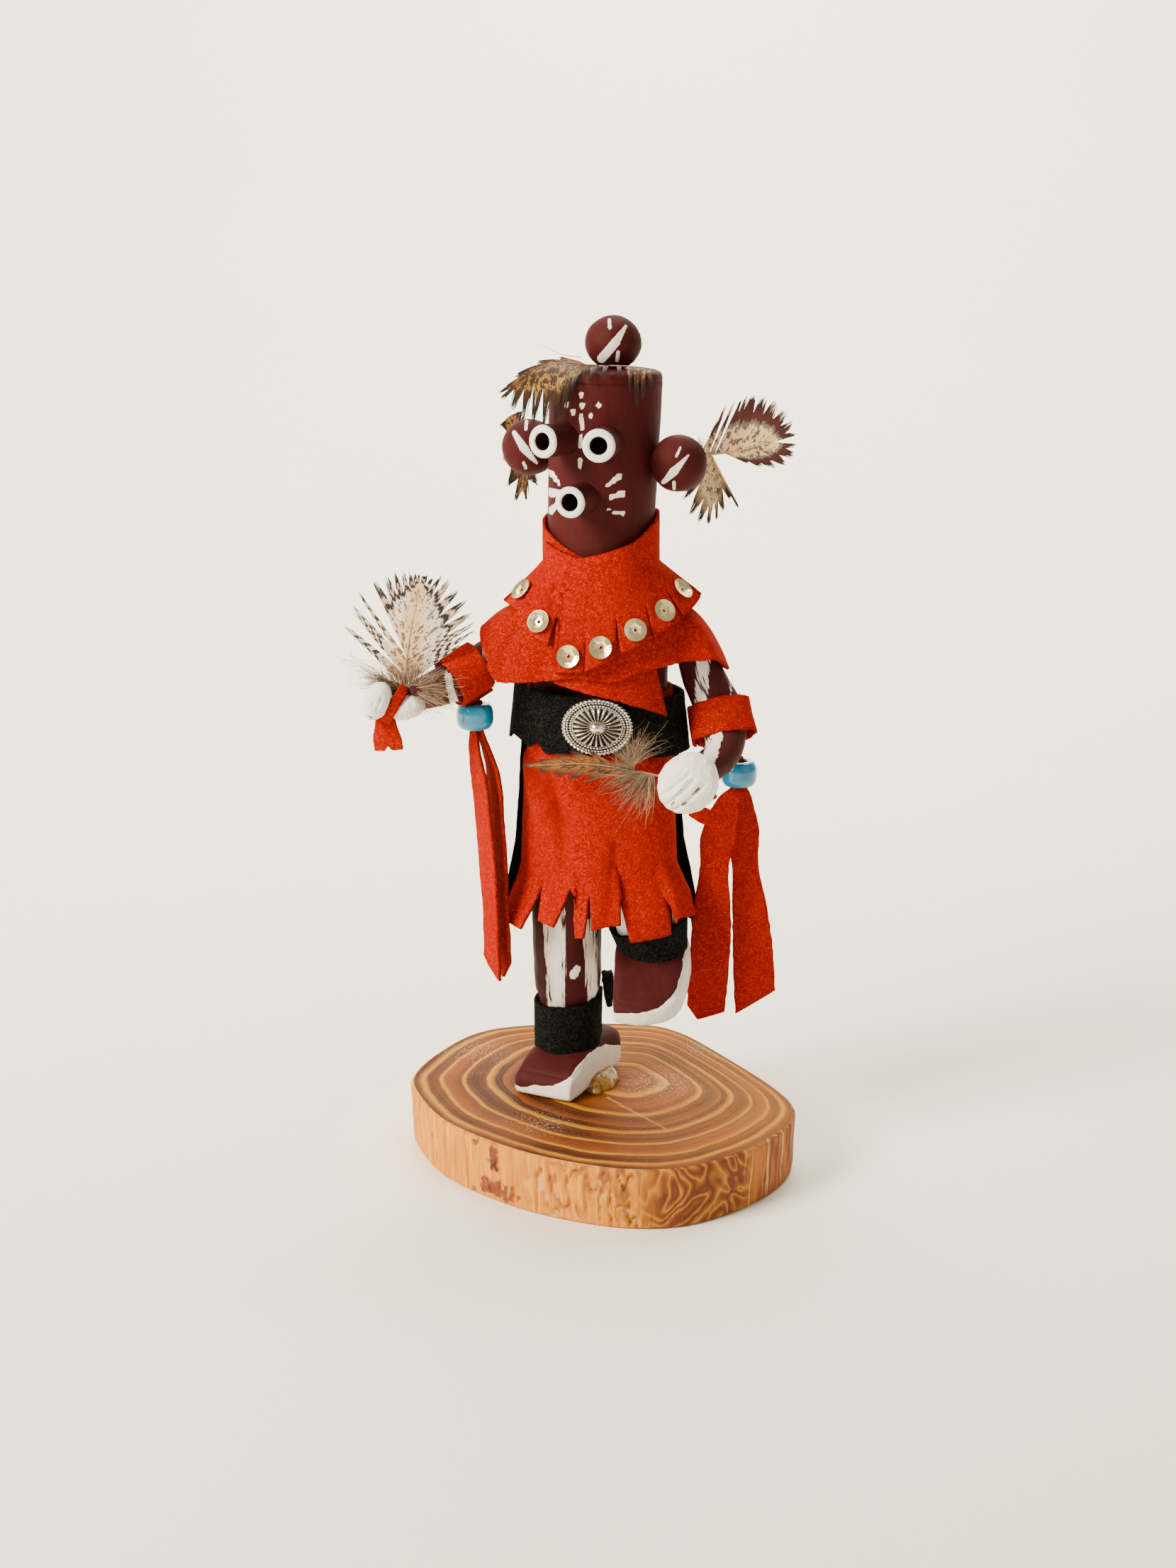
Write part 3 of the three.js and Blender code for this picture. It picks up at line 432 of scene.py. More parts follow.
class Tree:
    """A short way to write a shader node tree."""

    def __init__(self, tree: bpy.types.NodeTree) -> None:
        """Wraps a node tree."""
        self.tree = tree

    def connect(self, socket: Socket, value: Value) -> None:
        """Sets an input to a value or a hex colour, or links it to another node's output.

        Args:
            socket: The input to fill.
            value: A number, a hex colour or another node's output.
        """
        if isinstance(value, Socket):
            self.tree.links.new(value, socket)
        else:
            socket.default_value = srgb(value) if isinstance(value, str) else value

    def add(
        self, kind: str, inputs: dict[str | int, Value] | None = None, **settings: object
    ) -> bpy.types.Node:
        """Adds a node.

        Args:
            kind: The node's type.
            inputs: A value or another node's socket for each named input.
            **settings: The node's own properties.

        Returns:
            The new node.
        """
        node = self.tree.nodes.new(kind)
        for key, value in settings.items():
            setattr(node, key, value)
        for key, value in (inputs or {}).items():
            self.connect(node.inputs[key], value)
        return node

    def math(self, operation: str, a: Value, b: Value = 0.0, c: Value = 0.0, clamp: bool = False) -> Socket:
        """Adds a sum, product or other maths of up to three values."""
        node = self.add("ShaderNodeMath", {0: a, 1: b, 2: c}, operation=operation, use_clamp=clamp)
        return node.outputs[0]

    def times(self, a: Value, b: Value) -> Socket:
        """Multiplies two values."""
        return self.math("MULTIPLY", a, b)

    def plus(self, a: Value, b: Value) -> Socket:
        """Adds two values."""
        return self.math("ADD", a, b)

    def minus(self, a: Value, b: Value) -> Socket:
        """Takes the second value from the first."""
        return self.math("SUBTRACT", a, b)

    def times_plus(self, a: Value, b: Value, c: Value) -> Socket:
        """Multiplies two values and adds a third."""
        return self.math("MULTIPLY_ADD", a, b, c)

    def mix(self, share: Value, a: Value, b: Value, blend: str = "MIX") -> Socket:
        """Mixes two colours.

        Args:
            share: How much of the second colour shows.
            a: The first colour.
            b: The second colour.
            blend: How the two are blended.

        Returns:
            The mixed colour.
        """
        node = self.add("ShaderNodeMix", data_type="RGBA", blend_type=blend)
        for index, value in ((0, share), (6, a), (7, b)):
            self.connect(node.inputs[index], value)
        return node.outputs[2]

    def ramp(self, share: Value, stops: Sequence[tuple[float, str]], smooth: bool = True) -> Socket:
        """Reads a colour off a row of stops.

        Args:
            share: Where on the row to read, from 0 to 1.
            stops: The row, as (place, hex colour) pairs.
            smooth: Whether the steps between stops are eased.

        Returns:
            The colour.
        """
        node = self.add("ShaderNodeValToRGB", {0: share})
        node.color_ramp.interpolation = "EASE" if smooth else "LINEAR"
        while len(node.color_ramp.elements) < len(stops):
            node.color_ramp.elements.new(0.5)
        for element, (place, colour) in zip(node.color_ramp.elements, stops):
            element.position = place
            element.color = srgb(colour)
        return node.outputs[0]

    def step(self, value: Value, low: float, high: float) -> Socket:
        """Gives 0 below low and 1 above high."""
        node = self.add("ShaderNodeMapRange", {0: value, 1: low, 2: high}, interpolation_type="SMOOTHSTEP")
        return node.outputs[0]

    def noise(self, vector: Socket, scale: Value, detail: float = 2.0, twist: float = 0.0) -> Socket:
        """Adds noise from 0 to 1."""
        inputs = {"Vector": vector, "Scale": scale, "Detail": detail, "Distortion": twist}
        return self.add("ShaderNodeTexNoise", inputs).outputs[0]

    def stretch(self, vector: Socket, scale: tuple[float, float, float]) -> Socket:
        """Scales a vector along each axis."""
        node = self.add("ShaderNodeVectorMath", {0: vector, 1: scale}, operation="MULTIPLY")
        return node.outputs[0]

    def field(self, name: str) -> Socket:
        """Reads a named value of the mesh."""
        return self.add("ShaderNodeAttribute", attribute_name=name).outputs["Fac"]

    def place(self) -> Socket:
        """Gives the point in the object's own space, in metres."""
        return self.add("ShaderNodeTexCoord").outputs["Object"]

    def vector(self, x: Value, y: Value, z: Value) -> Socket:
        """Makes a vector of three values."""
        return self.add("ShaderNodeCombineXYZ", {0: x, 1: y, 2: z}).outputs[0]

    def bump(
        self, height: Socket, depth: float, strength: float = 1.0, after: Socket | None = None
    ) -> Socket:
        """Turns a height from 0 to 1 into a surface direction.

        Args:
            height: The height.
            depth: How deep 1 is, in metres.
            strength: How much of it shows.
            after: A direction to add it to.

        Returns:
            The new direction.
        """
        inputs: dict[str | int, Value] = {"Height": height, "Distance": depth, "Strength": strength}
        if after is not None:
            inputs["Normal"] = after
        return self.add("ShaderNodeBump", inputs).outputs[0]

    def group(self, group: bpy.types.NodeTree, inputs: dict[str | int, Value]) -> bpy.types.Node:
        """Places a node group.

        Args:
            group: The group to place.
            inputs: What its inputs are set to or fed from.

        Returns:
            The group's node.
        """
        node = self.add("ShaderNodeGroup", node_tree=group)
        for key, value in inputs.items():
            self.connect(node.inputs[key], value)
        return node


def new_group(
    name: str, inputs: dict[str, float | None], outputs: Sequence[str]
) -> tuple[Tree, dict[str, Socket], bpy.types.Node]:
    """Starts a shader node group.

    Args:
        name: The group's name.
        inputs: Each input's name and default; a default of None makes it a vector.
        outputs: The names of its outputs, all of them values.

    Returns:
        The tree, its input sockets by name and its output node.
    """
    group = bpy.data.node_groups.new(name, "ShaderNodeTree")
    for key, default in inputs.items():
        kind = "NodeSocketVector" if default is None else "NodeSocketFloat"
        socket = group.interface.new_socket(key, in_out="INPUT", socket_type=kind)
        if default is not None:
            socket.default_value = default
    for key in outputs:
        group.interface.new_socket(key, in_out="OUTPUT", socket_type="NodeSocketFloat")
    tree = Tree(group)
    source = tree.add("NodeGroupInput")
    return tree, {key: source.outputs[key] for key in inputs}, tree.add("NodeGroupOutput")


class Groups:
    """The effects that several finishes share, each a node group built once."""

    def __init__(self) -> None:
        """Builds every group."""
        self.nap = self._nap()
        self.dry_brush = self._dry_brush()
        self.coat = self._coat()
        self.grime = self._grime()

    @staticmethod
    def _nap() -> bpy.types.NodeTree:
        """The raised fibres of suede: matted clumps, rubbed patches and single fibres.

        Returns:
            The group, with a height, a tone and a patch value.
        """
        tree, given, out = new_group(
            "Nap", {"Vector": None, "Fibres": 2600.0, "Clumps": 520.0, "Patches": 70.0},
            ["Height", "Tone", "Patch"]
        )
        fibres = tree.noise(given["Vector"], given["Fibres"], 3.0, 1.4)
        clumps = tree.noise(given["Vector"], given["Clumps"], 3.0, 0.6)
        patches = tree.noise(given["Vector"], given["Patches"], 3.0, 0.4)
        sharp = tree.step(fibres, 0.38, 0.62)
        height = tree.times_plus(sharp, 0.6, tree.times(clumps, 0.5))
        tone = tree.times_plus(sharp, 0.72, tree.times(tree.step(clumps, 0.3, 0.7), 0.28))
        tree.connect(out.inputs["Height"], height)
        tree.connect(out.inputs["Tone"], tone)
        tree.connect(out.inputs["Patch"], tree.step(patches, 0.32, 0.68))
        return tree.tree

    @staticmethod
    def _dry_brush() -> bpy.types.NodeTree:
        """White paint laid with a brush: solid where cover is 1, dragged into streaks where it is less.

        Returns:
            The group, with a mask and a height.
        """
        tree, given, out = new_group(
            "Dry brush", {"Vector": None, "Cover": 0.0, "Streaks": 1.0, "Ragged": 0.5}, ["Mask", "Height"]
        )
        streak = tree.noise(given["Vector"], given["Streaks"], 4.0, 0.2)
        level = tree.times(tree.minus(streak, 0.5), 2.2)
        rough = tree.times(level, given["Ragged"])
        mask = tree.step(tree.plus(given["Cover"], rough), 0.44, 0.56)
        body = tree.times(mask, tree.times_plus(streak, 0.6, 0.7))
        tree.connect(out.inputs["Mask"], mask)
        tree.connect(out.inputs["Height"], body)
        return tree.tree

    @staticmethod
    def _coat() -> bpy.types.NodeTree:
        """A brushed coat of paint over carved wood: hair marks along the grain and a slow unevenness.

        Returns:
            The group, with a height and a tone.
        """
        tree, given, out = new_group("Coat", {"Vector": None, "Hairs": 1.0, "Swell": 90.0},
            ["Height", "Tone"])
        hairs = tree.noise(given["Vector"], given["Hairs"], 4.0, 0.1)
        swell = tree.noise(given["Vector"], given["Swell"], 3.0, 0.3)
        height = tree.times_plus(hairs, 0.5, tree.times(swell, 0.5))
        tone = tree.times_plus(tree.step(hairs, 0.25, 0.75), 0.6, tree.times(swell, 0.4))
        tree.connect(out.inputs["Height"], height)
        tree.connect(out.inputs["Tone"], tone)
        return tree.tree

    @staticmethod
    def _grime() -> bpy.types.NodeTree:
        """Rubbing and handling: small scuffs and soft stains.

        Returns:
            The group, with a mask.
        """
        tree, given, out = new_group("Grime", {"Vector": None, "Size": 160.0, "Amount": 0.3}, ["Mask"])
        stain = tree.noise(given["Vector"], given["Size"], 5.0, 0.8)
        level = tree.times(tree.step(stain, 0.45, 0.75), given["Amount"])
        tree.connect(out.inputs["Mask"], level)
        return tree.tree


GROUPS = Groups()


def new_material(name: str) -> tuple[bpy.types.Material, Tree, bpy.types.Node]:
    """Starts a material.

    Args:
        name: The material's name.

    Returns:
        The material, its tree and its shader.
    """
    material = bpy.data.materials.new(name)
    material.use_nodes = True
    material.node_tree.nodes.clear()
    tree = Tree(material.node_tree)
    shader = tree.add("ShaderNodeBsdfPrincipled")
    output = tree.add("ShaderNodeOutputMaterial")
    material.node_tree.links.new(shader.outputs[0], output.inputs[0])
    return material, tree, shader


def feed(tree: Tree, shader: bpy.types.Node, **sockets: Value) -> None:
    """Sets a shader's inputs. An underscore in a name stands for a space."""
    for key, value in sockets.items():
        tree.connect(shader.inputs[key.replace("_", " ")], value)


@dataclass(frozen=True)
class Suede:
    """Suede with a raised nap, lighter where it is rubbed up, darker in its clumps, and darker along creases
    as painted shade.
    """

    name: str
    deep: str
    middle: str
    bright: str
    rubbed: str
    relief: float = 0.0003
    fibres: float = 2500.0
    sheen: float = 0.08

    def build(self) -> bpy.types.Material:
        """Makes the material.

        Returns:
            The material.
        """
        material, tree, shader = new_material(self.name)
        place = tree.place()
        nap = tree.group(GROUPS.nap,
            {"Vector": place, "Fibres": self.fibres, "Clumps": self.fibres / 2.6, "Patches": 75.0})
        colour = tree.ramp(
            nap.outputs["Tone"], [(0.08, self.deep), (0.5, self.middle), (0.95, self.bright)]
        )
        patched = tree.mix(tree.times(nap.outputs["Patch"], 0.22), colour, self.rubbed)
        # Painted shade: the colour darkens towards the deep tone along creases.
        crease = tree.field("crease")
        dark = tree.mix(tree.math("MULTIPLY", crease, 0.65, clamp=True), patched, self.deep)
        normal = tree.bump(nap.outputs["Height"], self.relief, 0.9)
        feed(tree, shader, Base_Color=dark, Normal=normal, Roughness=0.95)
        feed(tree, shader, Sheen_Weight=self.sheen, Sheen_Roughness=0.5, Specular_IOR_Level=0.06)
        feed(tree, shader, Sheen_Tint=self.bright)
        return material


@dataclass(frozen=True)
class PaintedWood:
    """Carved wood under a matt coat, with white laid over it where the mesh's "white" field says."""

    name: str
    coat: str
    coat_dark: str
    white: str = "f3f1ec"
    white_low: str = "d9d3ca"
    ragged: float = 0.5
    streaks: tuple[float, float, float] = (1400.0, 1400.0, 90.0)
    hairs: tuple[float, float, float] = (1500.0, 1500.0, 120.0)
    limb: bool = False
    roughness: float = 0.7
    thick: float = 0.00016

    def build(self) -> bpy.types.Material:
        """Makes the material.

        Returns:
            The material.
        """
        material, tree, shader = new_material(self.name)
        place = tree.place()
        run = place
        if self.limb:
            along = tree.times(tree.field("along"), MM)
            around = tree.times(tree.field("around"), MM)
            run = tree.vector(around, 0.0, along)
        brush = tree.group(
            GROUPS.dry_brush,
            {"Vector": tree.stretch(run, self.streaks), "Cover": tree.field("white"), "Ragged": self.ragged},
        )
        coat = tree.group(GROUPS.coat,
            {"Vector": tree.stretch(place, self.hairs), "Hairs": 1.0, "Swell": 0.12})
        grime = tree.group(GROUPS.grime, {"Vector": place, "Size": 220.0, "Amount": 0.35})
        base = tree.mix(coat.outputs["Tone"], self.coat_dark, self.coat)
        worn = tree.mix(grime.outputs["Mask"], base, self.coat_dark)
        pale = tree.mix(coat.outputs["Tone"], self.white_low, self.white)
        colour = tree.mix(brush.outputs["Mask"], worn, pale)
        relief = tree.bump(coat.outputs["Height"], 0.00009, 0.8)
        normal = tree.bump(brush.outputs["Height"], self.thick, 0.8, relief)
        rough = tree.times_plus(coat.outputs["Tone"], 0.16, self.roughness - 0.08)
        feed(tree, shader, Base_Color=colour, Normal=normal, Roughness=rough, Specular_IOR_Level=0.16)
        return material


# ---- The slab: a slice of log ----


@dataclass(frozen=True)
class LogTop:
    """Oiled end grain: golden rings round an off-centre pith, darker towards the bark."""

    name: str = "log_end_grain"

    def build(self) -> bpy.types.Material:
        """Makes the material.

        Returns:
            The material.
        """
        material, tree, shader = new_material(self.name)
        place = tree.place()
        warp = tree.noise(place, 34.0, 2.0)
        fine = tree.noise(place, 210.0, 3.0)
        ring = tree.plus(tree.field("ring"), tree.times(tree.minus(warp, 0.5), 0.07))
        ring = tree.plus(ring, tree.times(tree.minus(fine, 0.5), 0.014))
        dark, brown, warm, gold = "2c0e00", "582600", "824000", "c48a10"
        stops = [
            (0.0, brown), (0.10, warm), (0.17, brown), (0.24, gold), (0.26, brown), (0.35, warm),
            (0.42, brown), (0.455, gold), (0.47, brown), (0.52, dark), (0.575, warm), (0.585, dark),
            (0.61, dark), (0.645, gold), (0.66, brown), (0.71, dark), (0.745, brown), (0.76, gold),
            (0.775, brown), (0.85, warm), (0.868, gold), (0.88, brown), (0.93, dark), (0.95, gold),
            (0.972, warm), (0.985, dark), (1.0, dark),
        ]
        rings = tree.ramp(ring, stops, smooth=False)
        light = tree.mix(tree.times(tree.field("sap"), 0.6), rings, "c07c00")
        hair = tree.noise(tree.stretch(place, (2200.0, 900.0, 400.0)), 1.0, 3.0)
        pores = tree.noise(place, 1500.0, 2.0)
        mixed = tree.mix(tree.times(tree.step(hair, 0.35, 0.7), 0.22), light, "501f04")
        mixed = tree.mix(tree.times(tree.step(pores, 0.6, 0.74), 0.22), mixed, "d89a48")
        patch = tree.times(tree.step(tree.noise(place, 42.0, 3.0), 0.42, 0.68), 0.3)
        mixed = tree.mix(patch, mixed, "985000")
        scratch = tree.times(tree.field("check"), tree.step(pores, 0.3, 0.6))
        mixed = tree.mix(scratch, mixed, "d09a50")
        scuff = tree.times(tree.field("scuff"), tree.times(tree.step(pores, 0.5, 0.7), 0.5))
        mixed = tree.mix(scuff, mixed, "e6d6bd")
        line = tree.step(tree.math("PINGPONG", tree.times(ring, 46.0), 0.5), 0.1, 0.4)
        mixed = tree.mix(tree.times(line, 0.16), mixed, "7a4520")
        height = tree.times_plus(line, 0.4, tree.times(hair, 0.6))
        feed(tree, shader, Base_Color=mixed, Normal=tree.bump(height, 0.00012, 0.7))
        rough = tree.times_plus(pores, 0.2, 0.5)
        feed(tree, shader, Roughness=rough, Specular_IOR_Level=0.1)
        return material


@dataclass(frozen=True)
class LogSide:
    """The debarked side: pale upright grain, left-over bark, and a stretch of swirling figure."""

    name: str = "log_side"

    def build(self) -> bpy.types.Material:
        """Makes the material.

        Returns:
            The material.
        """
        material, tree, shader = new_material(self.name)
        place = tree.place()
        upright = tree.noise(tree.stretch(place, (900.0, 900.0, 60.0)), 1.0, 4.0, 0.3)
        broad = tree.noise(tree.stretch(place, (160.0, 160.0, 22.0)), 1.0, 3.0, 0.5)
        pale = tree.ramp(upright, [(0.25, "9a5000"), (0.5, "cc8000"), (0.75, "e8a400")])
        pale = tree.mix(tree.times(tree.step(broad, 0.5, 0.75), 0.4), pale, "b8640f")
        swirl_at = tree.noise(tree.stretch(place, (1.0, 1.0, 0.7)), 70.0, 2.0, 0.6)
        bands = tree.math("PINGPONG", tree.times(swirl_at, 11.0), 0.5)
        swirl = tree.ramp(tree.times(bands, 2.0), [
            (0.1, "622800"), (0.42, "7e4000"), (0.75, "a05c00"), (0.97, "c88818"),
        ])
        swirl = tree.mix(tree.times(upright, 0.45), swirl, "6a2e08")
        streak_at = tree.noise(tree.stretch(place, (420.0, 420.0, 14.0)), 1.0, 3.0, 0.2)
        streak = tree.ramp(streak_at, [
            (0.3, "532006"), (0.46, "a8611c"), (0.56, "753408"), (0.68, "e6b878"),
        ])
        bark_at = tree.noise(tree.stretch(place, (1.0, 1.0, 0.5)), 420.0, 4.0, 0.6)
        bark = tree.ramp(bark_at, [(0.3, "3c1404"), (0.55, "7a3410"), (0.8, "c88a52")])
        side = tree.mix(tree.field("swirl"), pale, swirl)
        side = tree.mix(tree.field("streak"), side, streak)
        side = tree.mix(tree.field("bark"), side, bark)
        side = tree.mix(tree.field("pit"), side, "7a4322")
        side = tree.mix(tree.times(tree.field("chip"), 0.7), side, "dcb070")
        height = tree.times_plus(upright, 0.7, tree.times(bark_at, 0.3))
        feed(tree, shader, Base_Color=side, Normal=tree.bump(height, 0.0003, 0.9), Roughness=0.8)
        return material


@dataclass
class Slab:
    """The slice of log that the doll stands on."""

    thick: float = 16.0
    bevel: float = 0.9
    pith: tuple[float, float] = (8.0, 11.7)
    check: tuple[tuple[float, float], tuple[float, float]] = ((2.3, -3.9), (18.7, -27.7))
    around: int = 640
    outline: tuple[tuple[float, float], ...] = (
        (51, -14), (46, -28), (35, -41), (21, -50), (6, -51), (-11, -45), (-26, -35), (-40, -20),
        (-48, -2), (-50, 12), (-44, 30), (-33, 46), (-14, 52), (10, 52), (23, 46), (36, 25), (48, 1),
    )

    def edge(self) -> Points:
        """Gives the top's outline, seen from above, as evenly spaced points."""
        return smooth_line(self.outline, self.around + 1, closed=True)[:-1]

    def top(self) -> Shape:
        """Builds the top face round the pith, with shallow saw marks and raised rings.

        Returns:
            The face, with its fields.
        """
        edge = self.edge()
        pith = np.array(self.pith)
        inner = edge - unit(edge) * self.bevel
        share = np.concatenate([[0.001], np.linspace(0.02, 1.0, 96)])
        flat = pith + share[:, None, None] * (inner - pith)
        points = np.concatenate([flat, np.full((*flat.shape[:2], 1), self.thick)], axis=2).reshape(-1, 3)
        ring = np.repeat(share, self.around)
        noise = Noise(3)
        points[:, 2] += 0.12 * noise.at(points, 14.0, 2) + 0.05 * np.sin(ring * 120.0)
        shape = Shape(points, grid(len(share), self.around, wrap=True))
        a, b = (np.array(p) for p in self.check)
        along = np.clip(((points[:, :2] - a) @ (b - a)) / ((b - a) @ (b - a)), 0, 1)
        away = np.linalg.norm(points[:, :2] - (a + along[:, None] * (b - a)), axis=1)
        shape.with_field("ring", ring)
        shape.with_field("check", (1 - ease(away, 0.1, 0.45)) * (1 - along) ** 0.3)
        shape.with_field("sap", 0.3 * ease(points[:, 0], 6.0, 46.0) + 0.2 * ease(points[:, 1], 12.0, 50.0))
        scuffs = ((-15.0, -22.0, 7.0), (16.0, 6.0, 9.0), (30.0, 32.0, 6.0), (-34.0, 30.0, 8.0))
        near = [np.exp(-np.sum((points[:, :2] - s[:2]) ** 2, axis=1) / s[2] ** 2) for s in scuffs]
        return shape.with_field("scuff", 0.8 * np.max(near, axis=0))

    def side(self) -> Shape:
        """Builds the side: smooth and pitted at one end, with bark plates in front and figure beyond them.

        Returns:
            The side, with its fields.
        """
        edge = self.edge()
        out = unit(edge)
        angle = np.degrees(np.arctan2(edge[:, 1], edge[:, 0]))
        heights = np.concatenate([[self.thick], np.linspace(self.thick - 0.35, 0.35, 40), [0.0]])
        soft = np.where((heights == self.thick) | (heights == 0.0), self.bevel, 0.0)
        soft = soft + 0.25 * self.bevel * np.isin(heights, [self.thick - 0.35, 0.35])
        rings = []
        for height, inset in zip(heights, soft):
            taper = 0.985 + 0.015 * height / self.thick
            flat = edge * taper - out * inset
            rings.append(np.column_stack([flat, np.full(len(flat), height)]))
        points = np.array(rings).reshape(-1, 3)
        bearing = np.tile(angle, len(heights))
        facing = np.tile(np.column_stack([out, np.zeros(len(out))]), (len(heights), 1))
        body = ease(points[:, 2], 0.2, 1.4) * (1 - ease(points[:, 2], self.thick - 1.4, self.thick - 0.2))
        rough = Noise(11)
        tall = points * np.array([1.0, 1.0, 0.4])
        front = ease(bearing, -118, -108) * (1 - ease(bearing, -82, -72))
        swirl = ease(bearing, -84, -72) * (1 - ease(bearing, -48, -42))
        streak = ease(bearing, -50, -40) * (1 - ease(bearing, 60, 90))
        plates = ease(rough.at(tall, 3.4, 3), 0.0, 0.22) * front
        split = np.abs(rough.at(tall + 50.0, 4.4, 2))
        groove = (1 - ease(split, 0.02, 0.16)) * front
        remnant = self._remnants(points, rough)
        grain = rough.at(points * np.array([1, 1, 0.5]) + 9.0, 1.9, 1)
        pits = ease(grain, 0.5, 0.66) * (1 - front) * (1 - swirl)
        pits *= ease(-bearing, 84, 110)
        push = 0.15 * rough.at(tall, 1.6, 3) + 0.35 * plates - 0.75 * groove + 0.35 * remnant - 0.45 * pits
        push += 0.25 * swirl * rough.at(tall, 4.0, 2) + 0.2 * streak * rough.at(points * [1, 1, 0.1], 1.4, 2)
        points = points + facing * (push * body)[:, None]
        shape = Shape(points, grid(len(heights), self.around, wrap=True))
        bark = plates * 0.75 * ease(rough.at(points, 6.0), -0.1, 0.3) + remnant
        shape.with_field("bark", np.clip(bark, 0, 1))
        shape.with_field("chip", groove * ease(rough.at(points, 2.6), 0.1, 0.4))
        shape.with_field("pit", np.clip(pits + 0.5 * groove, 0, 1))
        shape.with_field("swirl", swirl)
        return shape.with_field("streak", streak)

    def _remnants(self, points: Points, noise: Noise) -> Points:
        """Gives 1 where a scrap of bark is left on the pale stretch: x, y, z, half width and half height.

        Args:
            points: The places to look at.
            noise: The noise that frays the scraps' edges.

        Returns:
            One value a point, from 0 to 1.
        """
        scraps = ((-26.5, -35, 12.2, 1.6, 3.4), (-27.5, -34, 4.0, 3.6, 2.2), (-22.5, -37, 3.6, 1.8, 2.2))
        total = np.zeros(len(points))
        for x, y, z, wide, high in scraps:
            across = np.hypot(points[:, 0] - x, points[:, 1] - y)
            away = np.maximum(across / wide, np.abs(points[:, 2] - z) / high)
            away = away + 0.35 * noise.at(points, 1.6, 2)
            total = np.maximum(total, 1 - ease(away, 0.85, 1.1))
        return total

    def build(self) -> None:
        """Builds the slab in place of its CAD solid."""
        edge = self.edge()
        lower = edge * 0.985 - unit(edge) * self.bevel
        share = np.linspace(0.001, 1.0, 12)
        flat = share[:, None, None] * lower
        base = np.concatenate([flat, np.zeros((*flat.shape[:2], 1))], axis=2).reshape(-1, 3)
        under = Shape(base, [tuple(reversed(f)) for f in grid(12, self.around, wrap=True)])
        under.with_field("ring", np.repeat(share, self.around))
        shape = self.top().plus(self.side(), 1).plus(under, 0)
        add_piece("log_slab", shape, [LogTop().build(), LogSide().build()], ["base_slab"])


@dataclass
class Glue:
    """The clear lump that holds the raised heel to the slab."""

    middle: tuple[float, float] = (-0.4, 7.2)
    half: tuple[float, float] = (5.4, 8.5)

    def finish(self) -> bpy.types.Material:
        """Makes cloudy amber glue.

        Returns:
            The material.
        """
        material, tree, shader = new_material("amber_glue")
        place = tree.place()
        cloud = tree.noise(place, 420.0, 3.0, 0.5)
        colour = tree.ramp(cloud, [(0.3, "8a5a1e"), (0.55, "c99a45"), (0.8, "ead7a6")])
        feed(tree, shader, Base_Color=colour, Roughness=0.18, Transmission_Weight=0.35, IOR=1.48)
        feed(tree, shader, Normal=tree.bump(tree.noise(place, 700.0, 2.0), 0.0002, 0.6))
        feed(tree, shader, Subsurface_Weight=0.2, Subsurface_Radius=(0.003, 0.002, 0.001))
        return material

    def build(self) -> None:
        """Builds the lump as a low blob with an uneven rim."""
        dome = [(1.0, 16.0), (1.03, 16.4), (0.98, 17.2), (0.86, 18.4), (0.7, 19.4), (0.45, 20.0), (0.0, 20.2)]
        shape = lathe(rounded(dome), 48)
        noise = Noise(21)
        turn = np.arctan2(shape.points[:, 1], shape.points[:, 0])
        wave = 1 + 0.08 * np.sin(3 * turn + 0.6) + 0.05 * np.sin(7 * turn)
        shape.points[:, 0] = self.middle[0] + shape.points[:, 0] * self.half[0] * wave
        shape.points[:, 1] = self.middle[1] + shape.points[:, 1] * self.half[1] * wave
        shape.points += 0.12 * noise.at(shape.points, 2.2, 2)[:, None]
        add_piece("glue_lump", shape, [self.finish()], ["heel_glue"])


# ---- Carved and painted wood ----


def stroke_cover(flat: Points, strokes: Sequence[tuple[float, ...]], soft: float = 0.25) -> Points:
    """Says how far paint strokes cover points of a plane.

    Args:
        flat: The points, N by 2, in millimetres.
        strokes: Each as start x, start y, end x, end y, half width at the start and at the end.
        soft: How wide the strokes' edges are.

    Returns:
        The cover of each point: 1 inside a stroke, 0 well outside.
    """
    cover = np.zeros(len(flat))
    for x0, y0, x1, y1, start, end in strokes:
        a, b = np.array([x0, y0]), np.array([x1, y1])
        span = b - a
        long = max(float(span @ span), 1e-9)
        t = np.clip(((flat - a) @ span) / long, 0, 1)
        away = np.linalg.norm(flat - (a + t[:, None] * span), axis=1)
        edge = away - (start + (end - start) * t)
        cover = np.maximum(cover, 1 - ease(edge, -soft, soft))
    return cover


class Marks(Enum):
    """The white strokes of each carved ball, as seen from in front and measured from its middle."""

    TOPKNOT = (
        (-2.9, -3.6, 0.6, 0.6, 1.1, 1.1), (0.4, 0.4, 3.0, 4.2, 1.1, 0.35),
        (-1.0, 5.6, -0.9, 3.9, 0.4, 0.45), (1.1, -2.0, 0.9, -4.0, 0.55, 0.5),
    )
    EAR_LEFT = (
        (-3.7, 4.0, -1.2, 0.4, 0.6, 1.1), (-1.2, 0.4, 1.9, -3.3, 1.1, 0.35),
        (-0.7, 6.5, -0.8, 5.0, 0.45, 0.4), (-1.4, -3.2, -0.9, -4.6, 0.35, 0.45),
    )
    EAR_RIGHT = (
        (-3.9, -4.2, -1.4, -1.2, 0.5, 1.1), (-1.4, -1.2, 2.1, 2.7, 1.0, 0.25),
        (0.2, 4.5, -0.8, 2.5, 0.25, 0.35), (-1.3, -4.0, -1.2, -5.8, 0.45, 0.35),
    )


